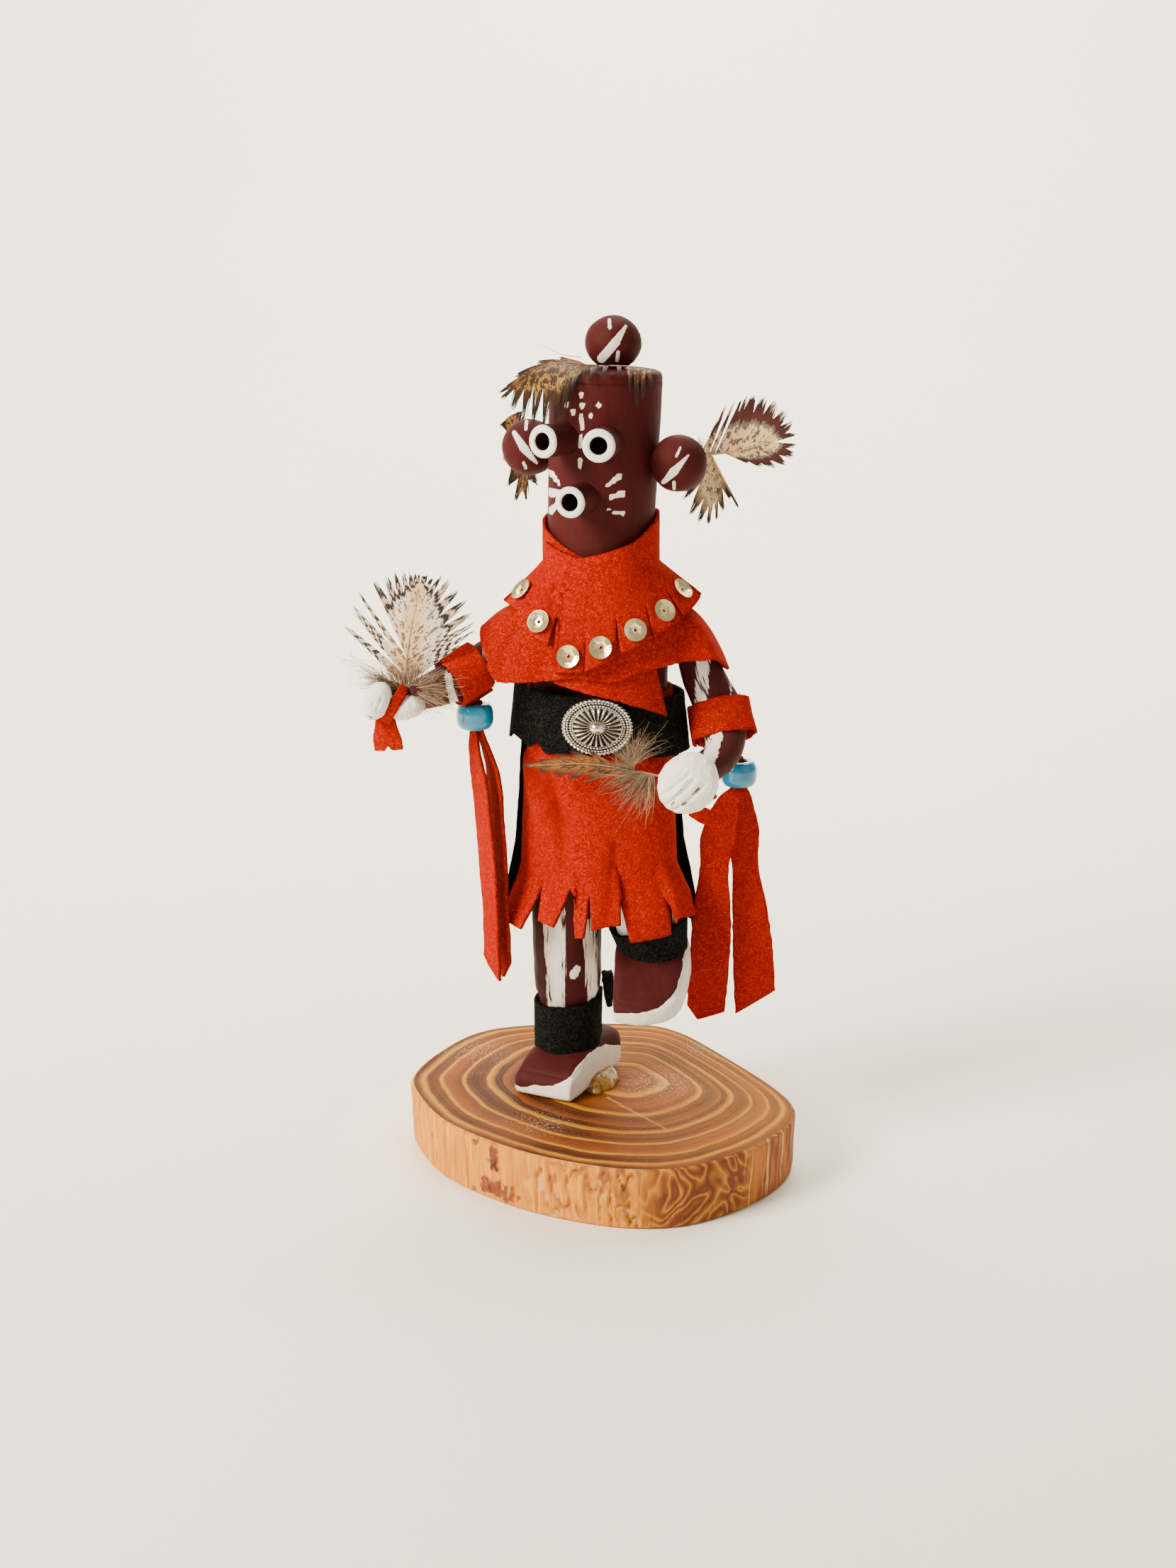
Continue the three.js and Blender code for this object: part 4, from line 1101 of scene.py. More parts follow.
@dataclass
class Head:
    """The cylinder head with its three balls and its drilled eyes and mouth."""

    base: tuple[float, float, float] = (0.05, 2.5, 152.0)
    height: float = 53.0
    top_radius: float = 14.0
    low_radius: float = 13.1
    turn: float = -22.0
    roll: float = 1.9
    ball: float = 7.0
    ear_out: float = 19.9
    hole: float = 2.15
    dots: tuple[tuple[float, float], ...] = (
        (-4.3, 199.7), (-8.0, 197.2), (-4.1, 197.1), (-0.1, 197.2), (-6.3, 195.5), (-2.0, 194.7),
    )
    strokes: tuple[tuple[float, ...], ...] = (
        (-4.3, 194.4, -4.1, 191.2, 0.55, 0.45), (-4.4, 189.6, -4.5, 187.0, 0.4, 0.55),
        (-4.6, 184.0, -4.6, 181.8, 0.65, 0.4), (-11.8, 179.8, -9.8, 177.6, 0.85, 0.4),
        (-12.0, 174.9, -10.0, 175.1, 0.95, 0.9), (-12.0, 170.3, -10.2, 172.6, 0.8, 0.5),
        (1.8, 177.6, 4.8, 179.9, 0.35, 0.8), (2.8, 174.9, 5.6, 175.6, 0.55, 0.85),
        (2.1, 171.8, 5.8, 170.8, 0.3, 0.65),
    )

    def pose(self) -> Matrix:
        """Gives the head's place: turned about the neck, then tipped to one side.

        Returns:
            The matrix, its shift in millimetres.
        """
        roll = Matrix.Rotation(math.radians(self.roll), 4, "Y")
        turn = Matrix.Rotation(math.radians(self.turn), 4, "Z")
        return Matrix.Translation(Vector(self.base)) @ (roll @ turn)

    def cylinder(self) -> Shape:
        """Builds the head with its painted dots, dashes and whiskers.

        Returns:
            The cylinder, with its fields.
        """
        low, top, tall = self.low_radius, self.top_radius, self.height
        rim = [(top - 0.1, tall - 3.0), (top, tall - 1.6), (top - 0.6, tall - 0.35), (top - 2.4, tall),
            (0.0, tall)]
        wall = [(low + (top - low) * k / 60, tall * 0.945 * k / 60) for k in range(61)]
        profile = [(0.0, 0.0), (low - 0.6, 0.0), *wall, *rounded(rim, 3)]
        shape = lathe(profile, 168)
        noise = Noise(31)
        flat = shape.points * np.array([1.0, 1.0, 0.35])
        radius = np.hypot(shape.points[:, 0], shape.points[:, 1])
        outer = ease(radius, 8.0, 12.0)
        shape.pushed(outer * (0.16 * noise.at(flat, 9.0, 2) + 0.05 * noise.at(flat, 2.4, 2)))
        shape.placed(self.pose())
        face = shape.points[:, 1] < self.base[1] - 2.0
        seen = shape.points[:, [0, 2]]
        marks = [(x, z + 0.1, x, z - 0.3, 0.66, 0.6) for x, z in self.dots] + list(self.strokes)
        return shape.with_field("white", stroke_cover(seen, marks) * face)

    def carved_ball(self, x: float, y: float, z: float, flat: float, marks: Marks, seed: int) -> Shape:
        """Builds one ball, a little uneven, with its painted strokes.

        Args:
            x: Its middle across the head, in the head's own frame.
            y: Its middle from front to back.
            z: Its middle's height.
            flat: How much its height is squashed.
            marks: The strokes on it.
            seed: Makes its unevenness its own.

        Returns:
            The ball, in place.
        """
        turn = np.linspace(-math.pi / 2, math.pi / 2, 57)
        shape = lathe([(self.ball * math.cos(t), self.ball * math.sin(t)) for t in turn], 96)
        shape.pushed(0.14 * Noise(seed).at(shape.points, 5.0, 2))
        shape.points[:, 2] *= flat
        middle = np.array(self.pose() @ Vector((x, y, z)))
        shape.placed(self.pose() @ Matrix.Translation((x, y, z)))
        seen = shape.points - middle
        cover = stroke_cover(seen[:, [0, 2]], marks.value, 0.2) * (seen[:, 1] < 0)
        return shape.with_field("white", cover)

    def dowel(self, radius: float, out: float, apart: float, height: float, splay: float) -> Shape:
        """Builds a drilled dowel: white on its end, dark in its hole.

        Args:
            radius: Its outer radius.
            out: How far its end stands from the head's axis.
            apart: How far it is to one side.
            height: How high it is above the neck.
            splay: How far it leans outwards, in degrees.

        Returns:
            The dowel, in place.
        """
        long = out - 9.0
        profile = [
            (radius, long), (radius, 3.4), (radius, 1.2), (radius - 0.15, 0.45), (radius - 0.6, 0.05),
            (self.hole + 0.5, 0.0), (self.hole + 0.1, 0.12), (self.hole, 0.6), (self.hole, 2.4),
            (self.hole, 5.2),
            (0.5, 5.8), (0.0, 5.9),
        ]
        shape = lathe(list(reversed(rounded(profile, 2))), 72)
        depth, away = shape.points[:, 2], np.hypot(shape.points[:, 0], shape.points[:, 1])
        wobble = 0.12 * Noise(41).at(shape.points + apart, 1.6, 2)
        ring = ease(away, self.hole - 0.25, self.hole + 0.25) * (1 - ease(depth + wobble, 0.55, 1.0))
        shape.with_field("white", ring)
        shape.with_field("hole", (1 - ease(away, self.hole - 0.2, self.hole + 0.1)) * ease(depth, 0.3, 1.0))
        points = shape.points.copy()
        shape.points = np.column_stack([points[:, 0], points[:, 2], -points[:, 1]])
        place = Matrix.Translation((apart, -out, height)) @ Matrix.Rotation(math.radians(splay), 4, "Z")
        return shape.placed(self.pose() @ place)

    def build(self) -> None:
        """Builds the head's pieces in place of their CAD solids."""
        paint = PaintedWood("head_paint", "480b0d", "330708", ragged=0.16).build()
        add_piece("head_cylinder", self.cylinder(), [paint], ["head"])
        balls = {
            "topknot": (1.0, 1.5, 59.2, 0.94, Marks.TOPKNOT, 51),
            "ear_left": (-self.ear_out, 0.0, 32.2, 1.0, Marks.EAR_LEFT, 52),
            "ear_right": (self.ear_out, 0.0, 31.1, 1.0, Marks.EAR_RIGHT, 53),
        }
        for name, (x, y, z, flat, marks, seed) in balls.items():
            ball = self.carved_ball(x, y, z, flat, marks, seed)
            add_piece(f"{name}_ball", ball, [paint], [name])
        drilled = self.drilled_finish()
        dowels = {
            "eye_left": (4.1, 22.4, -7.3, 36.4, -12.0),
            "eye_right": (4.1, 22.4, 7.4, 36.4, 12.0),
            "mouth": (3.9, 22.8, 0.5, 22.4, 0.0),
        }
        for name, size in dowels.items():
            add_piece(f"{name}_dowel", self.dowel(*size), [drilled], [name])

    @staticmethod
    def drilled_finish() -> bpy.types.Material:
        """Makes the dowels' paint, which goes black inside the holes.

        Returns:
            The material.
        """
        material = PaintedWood("dowel_paint", "480b0d", "330708", white="f6f5f2", white_low="dcdcd8",
            ragged=0.12).build()
        tree = Tree(material.node_tree)
        shader = next(n for n in material.node_tree.nodes if n.type == "BSDF_PRINCIPLED")
        painted = shader.inputs["Base Color"].links[0].from_socket
        feed(tree, shader, Base_Color=tree.mix(tree.field("hole"), painted, "140d0d"))
        return material


@dataclass
class Hands:
    """The two painted fists."""

    voxel: float = 0.36
    grooves: dict[str, tuple[tuple[float, ...], ...]] = field(default_factory=lambda: {
        "hand_right": (
            (15.2, 102.5, 21.9, 108.8, 0.12, 0.5), (16.1, 99.8, 23.1, 107.4, 0.25, 0.45),
            (17.9, 98.5, 25.8, 106.2, 0.2, 0.45),
        ),
        "hand_left": (
            (-56.2, 126.6, -55.2, 125.0, 0.15, 0.3), (-57.1, 122.0, -55.5, 121.1, 0.15, 0.25),
            (-53.2, 127.0, -54.6, 123.6, 0.1, 0.2),
        ),
    })
    # Dark marks along the finger grooves, seen from in front: painted shade where the white is left off.
    groove_shade: dict[str, tuple[tuple[float, ...], ...]] = field(default_factory=lambda: {
        "hand_right": (
            (17.7, 100.6, 18.5, 101.5, 0.16, 0.2), (20.4, 100.6, 21.4, 101.4, 0.22, 0.24),
            (22.6, 103.4, 24.4, 105.2, 0.1, 0.2), (18.6, 103.2, 20.4, 105.0, 0.08, 0.1),
        ),
        "hand_left": ((-56.2, 126.6, -55.4, 125.4, 0.06, 0.1), (-56.9, 121.8, -55.7, 121.1, 0.14, 0.14)),
    })

    def build(self) -> None:
        """Builds both hands from their CAD solids, softened, grooved between the fingers, painted white, and
        darkened along the grooves as painted shade.
        """
        paint = PaintedWood(
            "hand_paint", "8a6a58", "6b4a3c", white="f8f6f1", white_low="e9e5dd", ragged=0.2,
            hairs=(700.0, 700.0, 500.0), thick=0.0003, roughness=0.55,
        ).build()
        for name, seed in (("hand_right", 61), ("hand_left", 62)):
            shape = carved_copy(name, self.voxel, 6)
            noise = Noise(seed)
            shape.pushed(0.16 * noise.at(shape.points, 2.6, 3) + 0.12 * noise.at(shape.points, 6.0))
            seen, front = shape.points[:, [0, 2]], shape.normals()[:, 1] < -0.1
            shape.pushed(-0.75 * stroke_cover(seen, self.grooves[name], 0.35) * front)
            worn = 0.8 * ease(noise.at(shape.points * [1, 1, 0.6], 1.7, 3), 0.62, 0.8)
            # Wear on the back and sides; on the front, painted shade along the grooves.
            worn = np.maximum(worn * (1 - front), stroke_cover(seen, self.groove_shade[name], 0.16) * front)
            shape.with_field("white", 1 - worn)
            add_piece(f"{name}_carved", shape, [paint], [name])


def limb_run(shape: Shape, line: Points, radius: float) -> Shape:
    """Gives each point how far it is along and around a limb, in millimetres.

    Args:
        shape: The limb's mesh.
        line: The points of the limb's middle.
        radius: The limb's usual radius.

    Returns:
        The same shape, with fields "along" and "around".
    """
    fine = smooth_line(line, 60)
    run = np.concatenate([[0.0], np.cumsum(np.linalg.norm(np.diff(fine, axis=0), axis=1))])
    nearest = np.argmin(np.linalg.norm(shape.points[:, None, :] - fine[None], axis=2), axis=1)
    tangent = unit(np.gradient(fine, axis=0))[nearest]
    away = shape.points - fine[nearest]
    lengthwise = np.einsum("ij,ij->i", away, tangent)
    front = unit(np.array([0.0, -1.0, 0.0]) - tangent * tangent[:, 1:2] * -1.0)
    side = np.cross(tangent, front)
    turn = np.arctan2(np.einsum("ij,ij->i", away, side), np.einsum("ij,ij->i", away, front))
    return shape.with_field("along", run[nearest] + lengthwise).with_field("around", turn * radius)


@dataclass
class LimbSpec:
    """A carved limb: its middle line, its radius, and its brushed strokes as seen from in front."""

    node: str
    line: tuple[tuple[float, float, float], ...]
    radius: float
    solid: tuple[tuple[float, ...], ...] = ()
    dragged: tuple[tuple[float, ...], ...] = ()


LIMBS = (
    LimbSpec(
        "leg_left", ((-8, 6.6, 77), (-8.2, 7.8, 62), (-8.1, 9.2, 42), (-8.2, 10, 22)), 9.0,
        solid=((-11.6, 72, -10.9, 40, 1.7, 1.4), (-5.6, 50.2, -6.4, 48.6, 1.0, 1.2),
            (-2.6, 60, -2.2, 52, 0.4, 0.8)),
        dragged=((-11.8, 73, -10.9, 39, 3.4, 2.9), (-2.3, 62, -1.5, 40, 2.2, 1.8)),
    ),
    LimbSpec(
        "leg_right", ((8.2, 5, 76), (10.6, -0.6, 70.4), (12.8, -2.8, 62.6), (15, -1.4, 50)), 8.0,
        solid=((4.6, 74, 6.2, 62, 1.7, 1.7), (20.6, 74, 20.6, 63, 1.6, 1.6)),
    ),
    LimbSpec(
        "arm_right", ((23, 2.4, 138), (26.6, 1.6, 127.5), (31.6, 0.4, 117), (31.2, -8.4, 110.4),
            (25.6, -16.4, 107.6)), 5.6,
        solid=((26.0, 139, 25.6, 128, 0.3, 0.2), (29.9, 114.6, 27.6, 111.2, 1.0, 1.2)),
        dragged=((26.4, 140, 25.8, 122, 2.4, 1.9), (33.4, 134, 33.4, 124, 0.7, 0.5),
            (30, 115.5, 26.8, 110, 1.7, 2.0)),
    ),
    LimbSpec(
        "arm_left", ((-20.6, 2, 137), (-29.3, -3.3, 132.2), (-36.9, -7.4, 128.2), (-46, -12.6, 125.4)), 5.2,
        solid=((-28.2, 136.5, -28.0, 130, 0.9, 0.8), (-37.2, 130.5, -35.6, 122.5, 0.7, 0.9)),
        dragged=((-25.2, 134, -26.2, 128, 1.8, 1.8), (-37.6, 131, -35.8, 122, 1.1, 1.3)),
    ),
)


@dataclass
class Body:
    """The carved torso, arms and legs."""

    voxel: float = 0.55

    def build(self) -> None:
        """Builds each piece from its CAD solid, softened, and lays its brushed white on it."""
        paint = PaintedWood("body_paint", "440e10", "30090a", ragged=0.5, limb=True,
            streaks=(1500.0, 1.0, 130.0)).build()
        for seed, spec in enumerate(LIMBS, 71):
            shape = carved_copy(spec.node, self.voxel, 14)
            shape.pushed(0.14 * Noise(seed).at(shape.points, 6.0, 2))
            limb_run(shape, np.array(spec.line), spec.radius)
            seen = shape.points[:, [0, 2]]
            front = shape.normals()[:, 1] < 0.35
            cover = np.maximum(stroke_cover(seen, spec.solid, 0.7),
                0.6 * stroke_cover(seen, spec.dragged, 0.9))
            shape.with_field("white", np.maximum(cover * front, 0.12 * front))
            add_piece(f"{spec.node}_carved", shape, [paint], [spec.node])
        torso = carved_copy("torso", 0.9, 8)
        torso.pushed(0.15 * Noise(70).at(torso.points, 7.0, 2))
        limb_run(torso, np.array([(0.0, 4.5, 78.0), (0.4, 4.0, 116.0), (0.6, 2.8, 151.0)]), 15.0)
        side = stroke_cover(torso.points[:, [0, 2]],
            ((17.5, 138, 17.0, 122, 3.2, 3.0), (-17.5, 134, -17.0, 118, 2.6, 2.6)), 1.5)
        torso.with_field("white", 0.36 * side)
        add_piece("torso_carved", torso, [paint], ["torso"])


@dataclass
class Foot:
    """A carved foot: white round its sole and up one side, dark on top."""

    node: str
    sole: tuple[tuple[float, float], ...]
    place: tuple[float, float, float]
    turn: float
    pitch: float
    band: tuple[tuple[float, float], ...]  # bearing round the foot, and how far up the white reaches
    toe_height: float = 6.2
    instep_height: float = 9.6
    around: int = 160

    def build(self, paint: bpy.types.Material) -> None:
        """Builds the foot in place of its CAD solid.

        Args:
            paint: The body's paint.
        """
        edge = smooth_line(self.sole, self.around + 1, closed=True)[:-1]
        steps = [
            (0.0, 0.001, 0.0), (0.0, 0.5, 0.0), (0.0, 0.9, 0.0), (0.03, 0.965, 0.0), (0.12, 0.995, 0.0),
            (0.3, 1.0, 0.1), (0.6, 0.99, 0.4), (0.78, 0.965, 0.8), (0.88, 0.925, 1.1),
            (0.95, 0.86, 1.5), (1.0, 0.74, 1.9), (1.02, 0.5, 1.5), (1.03, 0.25, 0.8),
            (1.03, 0.001, 0.0),
        ]
        levels = smooth_line(steps, 76)
        rings, ways = [], []
        way = np.zeros(self.around)
        for k, (up, share, back) in enumerate(levels):
            share = max(share, 0.001)
            height = self.toe_height + (self.instep_height - self.toe_height) * ease(edge[:, 1], -18, -2)
            flat = edge * share + np.array([0.0, back])
            tops = self.toe_height + (self.instep_height - self.toe_height) * ease(flat[:, 1], -18, -2)
            rings.append(np.column_stack([flat, np.maximum(up, 0.0) * (tops if up > 0.9 else height)]))
            if k and (share > 0.93 or up > 0.5):
                way = way + np.linalg.norm(rings[k] - rings[k - 1], axis=1)
            ways.append(way)
        points = np.array(rings).reshape(-1, 3)
        shape = Shape(points, grid(len(levels), self.around, wrap=True))
        noise = Noise(81)
        shape.pushed(0.12 * noise.at(points, 5.0, 2))
        bearing = np.degrees(np.arctan2(edge[:, 0], -edge[:, 1]))  # 0 at the toe, 90 at the viewer's right
        reach = np.tile(np.interp(bearing, *np.array(self.band).T, period=360.0), len(levels))
        line_at = reach + 0.5 * noise.at(points + 20.0, 3.0, 3) - np.concatenate(ways)
        shape.with_field("white", ease(line_at, -0.35, 0.35))
        turn = Matrix.Rotation(math.radians(self.turn), 4, "Z")
        pitch = Matrix.Rotation(math.radians(self.pitch), 4, "X")
        pose = Matrix.Translation(self.place) @ turn @ pitch
        shape.placed(pose)
        add_piece(f"{self.node}_carved", shape, [paint], [self.node])


FEET = (
    Foot(
        "foot_left",
        (
            (8.2, -13.6), (8.9, -3), (9.2, 6), (9, 14), (5, 17), (-1, 17), (-6, 13.6), (-8.4, 6),
            (-8.9, -3), (-8.9, -12.2), (-7.4, -14.6), (0, -15.2), (6.8, -15.2),
        ),
        (-8, 8.2, 17.2), -26, 3.4,
        ((-180, 3.0), (-120, 2.6), (-60, 2.8), (-28, 3.8), (0, 4.8), (20, 7.0), (32, 10.4), (60, 10.4),
            (120, 9.4), (150, 6.0)),
    ),
    Foot(
        "foot_right",
        (
            (7, -15), (10, -6), (10.6, 6), (7, 15), (0, 18), (-6, 15.6), (-8.8, 8), (-8.9, -4),
            (-8.5, -15), (-6.8, -17.6), (0, -18.2),
        ),
        (13.2, -2.6, 48.0), -4, 22,
        (
            (-180, 3.0), (-120, 3.6), (-80, 6.2), (-40, 6.0), (-25, 5.6), (0, 6.6), (20, 8.0),
            (40, 10.0), (70, 11.0), (130, 9.6), (160, 6.0),
        ),
    ),
)


def build_feet() -> None:
    """Builds both feet."""
    paint = PaintedWood(
        "foot_paint", "460f11", "32090b", white="f2efe8", white_low="dcd2c6", ragged=0.1,
        hairs=(900.0, 900.0, 900.0),
    ).build()
    for foot in FEET:
        foot.build(paint)


# ---- Suede ----


def heading(bearing: Points | float) -> Points:
    """Gives the level direction of a bearing: 0 straight ahead, 90 the viewer's left, 270 the right."""
    turn = np.radians(bearing)
    return np.stack([-np.sin(turn), -np.cos(turn), 0 * turn], axis=-1)


def swell(bearing: Points, at: float, width: float) -> Points:
    """Gives 1 at a bearing, fading to 0 over width degrees to each side."""
    return 1 - ease(np.abs(bearing - at), 0, width)


def ellipse_out(wide: float, deep: float, bearing: Points) -> Points:
    """Gives the distance from an ellipse's middle to its edge at a bearing."""
    way = heading(bearing)
    return 1 / np.hypot(way[..., 0] / wide, way[..., 1] / deep)


Reach = Callable[[Points], tuple[Points, Points]]


@dataclass(frozen=True)
class Cut:
    """A slit up from a hem: its bearing, its length and how far it gapes at the hem, in millimetres."""

    bearing: float
    length: float
    gape: float = 1.0


@dataclass
class Wrap:
    """Suede wound round the body from one bearing to another, from a top edge down to a hem."""

    name: str
    middle: tuple[float, float]
    start: float
    end: float
    top: Reach
    hem: Reach
    shape: Callable[[Points, Points], tuple[Points, Points]] = lambda v, b: (v, v)
    slant: Callable[[Points], Points] = lambda b: 0 * b
    cuts: tuple[Cut, ...] = ()
    folds: Callable[[Points, Points, Points], tuple[Points, Points]] | None = None
    curl: float = 0.6
    seed: int = 1
    fine: float = 0.75

    def at(self, bearing: Points, v: Points) -> Points:
        """Gives the points of the inner face.

        Args:
            bearing: Where round the body.
            v: How far down, from 0 at the top edge to 1 at the hem.

        Returns:
            The points, N by 3.
        """
        out0, z0 = self.top(bearing)
        out1, z1 = self.hem(bearing)
        a, b = self.shape(np.maximum(v, 0.0), bearing)
        points = heading(bearing + self.slant(bearing) * v) * (out0 + (out1 - out0) * a)[..., None]
        points[..., 0] += self.middle[0]
        points[..., 1] += self.middle[1]
        points[..., 2] = z0 + (z1 - z0) * b
        return points

    def long(self, bearing: float) -> float:
        """Gives how far it is from the top edge to the hem at a bearing.

        Args:
            bearing: Where round the body.

        Returns:
            The length down the sheet there.
        """
        v = np.linspace(0, 1, 30)
        line = self.at(np.full(30, bearing), v)
        return float(np.sum(np.linalg.norm(np.diff(line, axis=0), axis=1)))

    def surface(self) -> Shape:
        """Builds the inner face, slit and curled along its hem.

        Returns:
            One layer of faces, with a field "crease" that paints shade along its folds.
        """
        rng = np.random.default_rng(self.seed)
        edges = [self.start, *(c.bearing for c in self.cuts), self.end]
        rows = int(max(self.long(b) for b in edges) / self.fine)
        v = np.linspace(0.0, 1.0, rows + 1)
        radius = float(np.mean(self.hem(np.array(edges))[0]))
        mm_per_degree = radius * math.pi / 180
        shape: Shape | None = None
        for i, (left, right) in enumerate(zip(edges[:-1], edges[1:])):
            columns = max(3, int((right - left) * mm_per_degree / self.fine))
            u = np.linspace(0.0, 1.0, columns + 1)
            open_left, top_left = self._gape(i - 1, v, mm_per_degree)
            open_right, top_right = self._gape(i, v, mm_per_degree)
            bearing = (left + open_left)[:, None] * (1 - u) + (right - open_right)[:, None] * u
            depth = np.broadcast_to(v[:, None], bearing.shape)
            free = np.zeros_like(depth)
            if i > 0 or i < len(self.cuts):
                start = top_left * (1 - u) + top_right * u
                free = np.clip((depth - start) / np.maximum(1 - start, 1e-3), 0, 1)
            lift, twist = rng.uniform(-0.1, 1.0), rng.uniform(-0.9, 0.9)
            slit = np.where(depth > np.maximum(top_left, top_right), 1.0, 0.0) if self.cuts else 0 * depth
            base = self.at(bearing.ravel(), depth.ravel())
            part = Shape(base, grid(rows + 1, columns + 1))
            push = self.curl * free**1.6 * (lift + twist * (2 * u - 1)) * (slit * 0.5 + 0.5)
            part.with_field("push", push.ravel())
            part.with_field("bearing", bearing.ravel()).with_field("depth", depth.ravel())
            shape = part if shape is None else shape.plus(part)
        assert shape is not None
        return self._finished(shape)

    def _gape(self, index: int, v: Points, mm_per_degree: float) -> tuple[Points, float]:
        """Gives how far a cut's lips stand back from its middle down the sheet, and where the cut starts.

        Args:
            index: Which cut, or a number past either end for none.
            v: How far down, from 0 to 1.
            mm_per_degree: How wide a degree of bearing is at the hem.

        Returns:
            Half the cut's width in degrees, and how far down it starts.
        """
        if not 0 <= index < len(self.cuts):
            return np.zeros_like(v), 1.0
        cut = self.cuts[index]
        start = 1 - cut.length / self.long(cut.bearing)
        way = np.clip((v - start) / (1 - start), 0, 1)
        return 0.5 * cut.gape / mm_per_degree * way**0.8, start

    def _finished(self, shape: Shape) -> Shape:
        """Welds the strips above their cuts, then adds folds, curl, a ragged hem and the painted shade of the
        folds.

        Args:
            shape: The strips between the cuts.

        Returns:
            The sheet, with its crease field of painted shade.
        """
        keys = np.round(shape.points / 0.02).astype(np.int64)
        _, first, back = np.unique(keys, axis=0, return_index=True, return_inverse=True)
        back = back.ravel()
        faces = [tuple(int(back[i]) for i in f) for f in shape.faces]
        push = np.full(len(first), np.inf)
        np.minimum.at(push, back, shape.fields["push"])
        welded = Shape(shape.points[first], [f for f in faces if len(set(f)) == len(f)])
        bearing, depth = shape.fields["bearing"][first], shape.fields["depth"][first]
        noise = Noise(self.seed)
        crease = np.zeros(len(first))
        push = push + 0.1 * noise.at(welded.points, 4.0, 2)
        if self.folds is not None:
            fold, crease = self.folds(bearing, depth, welded.points)
            push = push + fold
        outward = heading(bearing)
        welded.points = welded.points + outward * push[:, None]
        ragged = noise.at(np.column_stack([bearing * 0.35, 0 * bearing, 0 * bearing]), 1.1, 3)
        welded.points[:, 2] += 0.28 * ragged * ease(depth, 0.9, 1.0)
        return welded.with_field("crease", np.clip(crease, 0, 1))


def face_area(shape: Shape) -> float:
    """Adds up the faces' areas, in square millimetres.

    Args:
        shape: The shape to measure.

    Returns:
        The area.
    """
    index = np.array([f for f in shape.faces if len(f) == 4])
    a, b, c, d = (shape.points[index[:, k]] for k in range(4))
    return float(0.5 * np.sum(np.linalg.norm(np.cross(c - a, d - b), axis=1)))


def add_suede(
    name: str, shape: Shape, finishes: Sequence[bpy.types.Material], nodes: Sequence[str],
    cut_size: tuple[float, float] | None = None,
    thick: float = SUEDE_THICK,
) -> bpy.types.Object:
    """Adds a piece of suede, thickened outwards, with its raw edge as a second finish.

    Args:
        name: The piece's name.
        shape: One layer of faces, its inner face.
        finishes: The face's finish and the raw edge's.
        nodes: The CAD solids that it stands for.
        cut_size: The width and length it was cut to, in millimetres, if known.
        thick: The suede's thickness.

    Returns:
        The Blender object.
    """
    piece = add_piece(name, shape, finishes, nodes)
    solid = piece.modifiers.new("thickness", "SOLIDIFY")
    solid.thickness, solid.offset = thick * MM, 1.0
    solid.material_offset_rim = 1
    if cut_size is not None:
        width, length = cut_size
        area = min(face_area(shape), width * length)
    return piece


